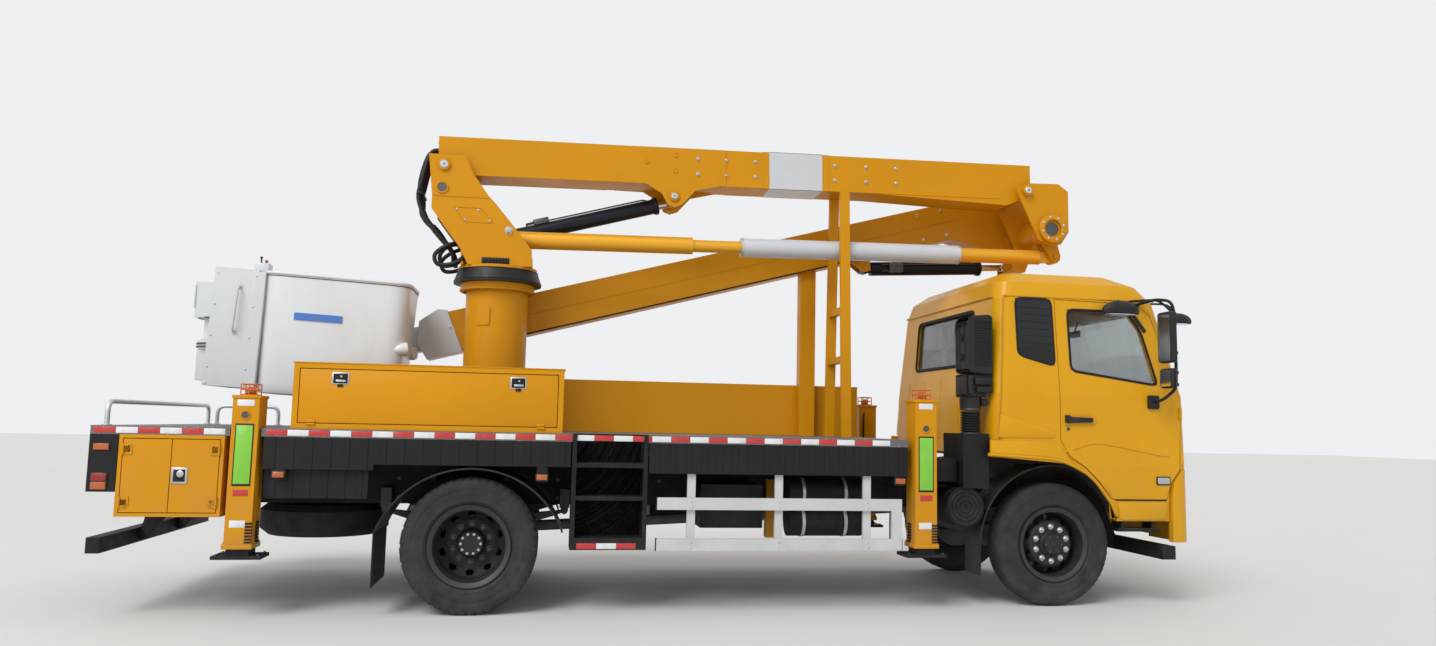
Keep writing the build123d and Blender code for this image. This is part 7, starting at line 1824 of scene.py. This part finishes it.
class TRUCK_OT_studio(bpy.types.Operator):
    """Builds the plain floor, the soft light and the camera"""

    bl_idname = "truck.studio"
    bl_label = "Studio"

    def execute(self, context):
        scene = context.scene
        settings = scene.truck_studio
        part = bmesh.new()
        bmesh.ops.create_grid(part, x_segments=12, y_segments=12, size=60)
        data = bpy.data.meshes.new("floor")
        part.to_mesh(data)
        part.free()
        floor = put("floor", data, Matrix.Translation((0, 0, -0.001)))
        surface = Surface("floor_finish", tuple(settings.floor_colour), 0.85)
        surface.clouds(0.6, 5, 0.3, 0.7, 0.5, shade(settings.floor_colour, 0.96))
        surface.bump(surface.noise(60, 4), 0.05, 0.001)
        data.materials.append(surface.done())

        yaw, pitch, roll = settings.camera_yaw, settings.camera_pitch, settings.camera_roll
        ahead = Vector((sin(yaw) * cos(pitch), cos(yaw) * cos(pitch), sin(pitch)))
        level = Vector((cos(yaw), -sin(yaw), 0))
        above = level.cross(ahead)
        right = level * cos(roll) + above * sin(roll)
        up = above * cos(roll) - level * sin(roll)
        turn = Matrix((right, up, -ahead)).transposed().to_4x4()
        lens_data = bpy.data.cameras.new("camera")
        lens_data.sensor_width = 36
        lens_data.sensor_fit = "HORIZONTAL"
        lens_data.lens = settings.focal_length
        lens_data.clip_end = 300
        scene.camera = put("camera", lens_data, Matrix.Translation(settings.camera_place) @ turn)

        sun = bpy.data.lights.new("main_light", "SUN")
        sun.energy = settings.sun_strength
        sun.angle = radians(28)
        tilt = Euler((radians(42), radians(-14), radians(-24)))
        put("main_light", sun, tilt.to_matrix().to_4x4())
        lamp = bpy.data.lights.new("side_light", "AREA")
        lamp.shape = "DISK"
        lamp.size = 6
        lamp.energy = 160
        place, aim = Vector((-7, -9, 6)), Vector((0, 0, 1.5))
        towards = (aim - place).to_track_quat("-Z", "Y").to_matrix().to_4x4()
        put("side_light", lamp, Matrix.Translation(place) @ towards)

        world = bpy.data.worlds.new("studio_sky")
        scene.world = world
        world.use_nodes = True
        tree = world.node_tree
        tree.nodes.clear()
        path = new_node(tree, "ShaderNodeLightPath")
        seen = path.outputs["Is Camera Ray"]
        for other in ("Is Glossy Ray", "Is Transmission Ray"):
            seen = new_node(tree, "ShaderNodeMath", {0: seen, 1: path.outputs[other]}, operation="MAXIMUM").outputs[0]
        sky, backdrop = [
            new_node(tree, "ShaderNodeBackground", {"Color": (*colour, 1), "Strength": strength}).outputs[0]
            for colour, strength in (((1, 1, 1), settings.sky_strength), ((0.86, 0.87, 0.88), 1))]
        choice = new_node(tree, "ShaderNodeMixShader", {"Fac": seen, 1: sky, 2: backdrop})
        new_node(tree, "ShaderNodeOutputWorld", {"Surface": choice.outputs[0]})
        scene.view_settings.view_transform = "Standard"
        return {"FINISHED"}


PIECE_OPERATORS = (
    TRUCK_OT_studio, TRUCK_OT_finishes, TRUCK_OT_wheels, TRUCK_OT_basket, TRUCK_OT_booms, TRUCK_OT_turntable,
    TRUCK_OT_hoses, TRUCK_OT_cab, TRUCK_OT_mirrors, TRUCK_OT_lamps, TRUCK_OT_jacks, TRUCK_OT_deck,
    TRUCK_OT_bumper, TRUCK_OT_interior, TRUCK_OT_intake,
)


class TRUCK_PT_pieces(bpy.types.Panel):
    """Lists the truck's pieces in the sidebar"""

    bl_idname = "TRUCK_PT_pieces"
    bl_label = "Cherry Picker Truck"
    bl_space_type = "VIEW_3D"
    bl_region_type = "UI"
    bl_category = "Truck"

    def draw(self, context):
        layout = self.layout
        for operator in PIECE_OPERATORS:
            layout.operator(operator.bl_idname)
        for settings in (context.scene.truck_colours, context.scene.truck_sizes, context.scene.truck_studio):
            column = layout.column(align=True)
            for setting in settings.bl_rna.properties.keys():
                if setting not in ("rna_type", "name"):
                    column.prop(settings, setting)


CLASSES = (TruckColours, TruckSizes, StudioSettings, *PIECE_OPERATORS, TRUCK_PT_pieces)


def register():
    for kind in CLASSES:
        bpy.utils.register_class(kind)
    bpy.types.Scene.truck_colours = PointerProperty(type=TruckColours)
    bpy.types.Scene.truck_sizes = PointerProperty(type=TruckSizes)
    bpy.types.Scene.truck_studio = PointerProperty(type=StudioSettings)


def unregister():
    del bpy.types.Scene.truck_studio
    del bpy.types.Scene.truck_sizes
    del bpy.types.Scene.truck_colours
    for kind in reversed(CLASSES):
        bpy.utils.unregister_class(kind)


def main():
    """Builds every piece in order."""
    register()
    for operator in PIECE_OPERATORS:
        group, name = operator.bl_idname.split(".")
        getattr(getattr(bpy.ops, group), name)()


if __name__ == "__main__":
    main()
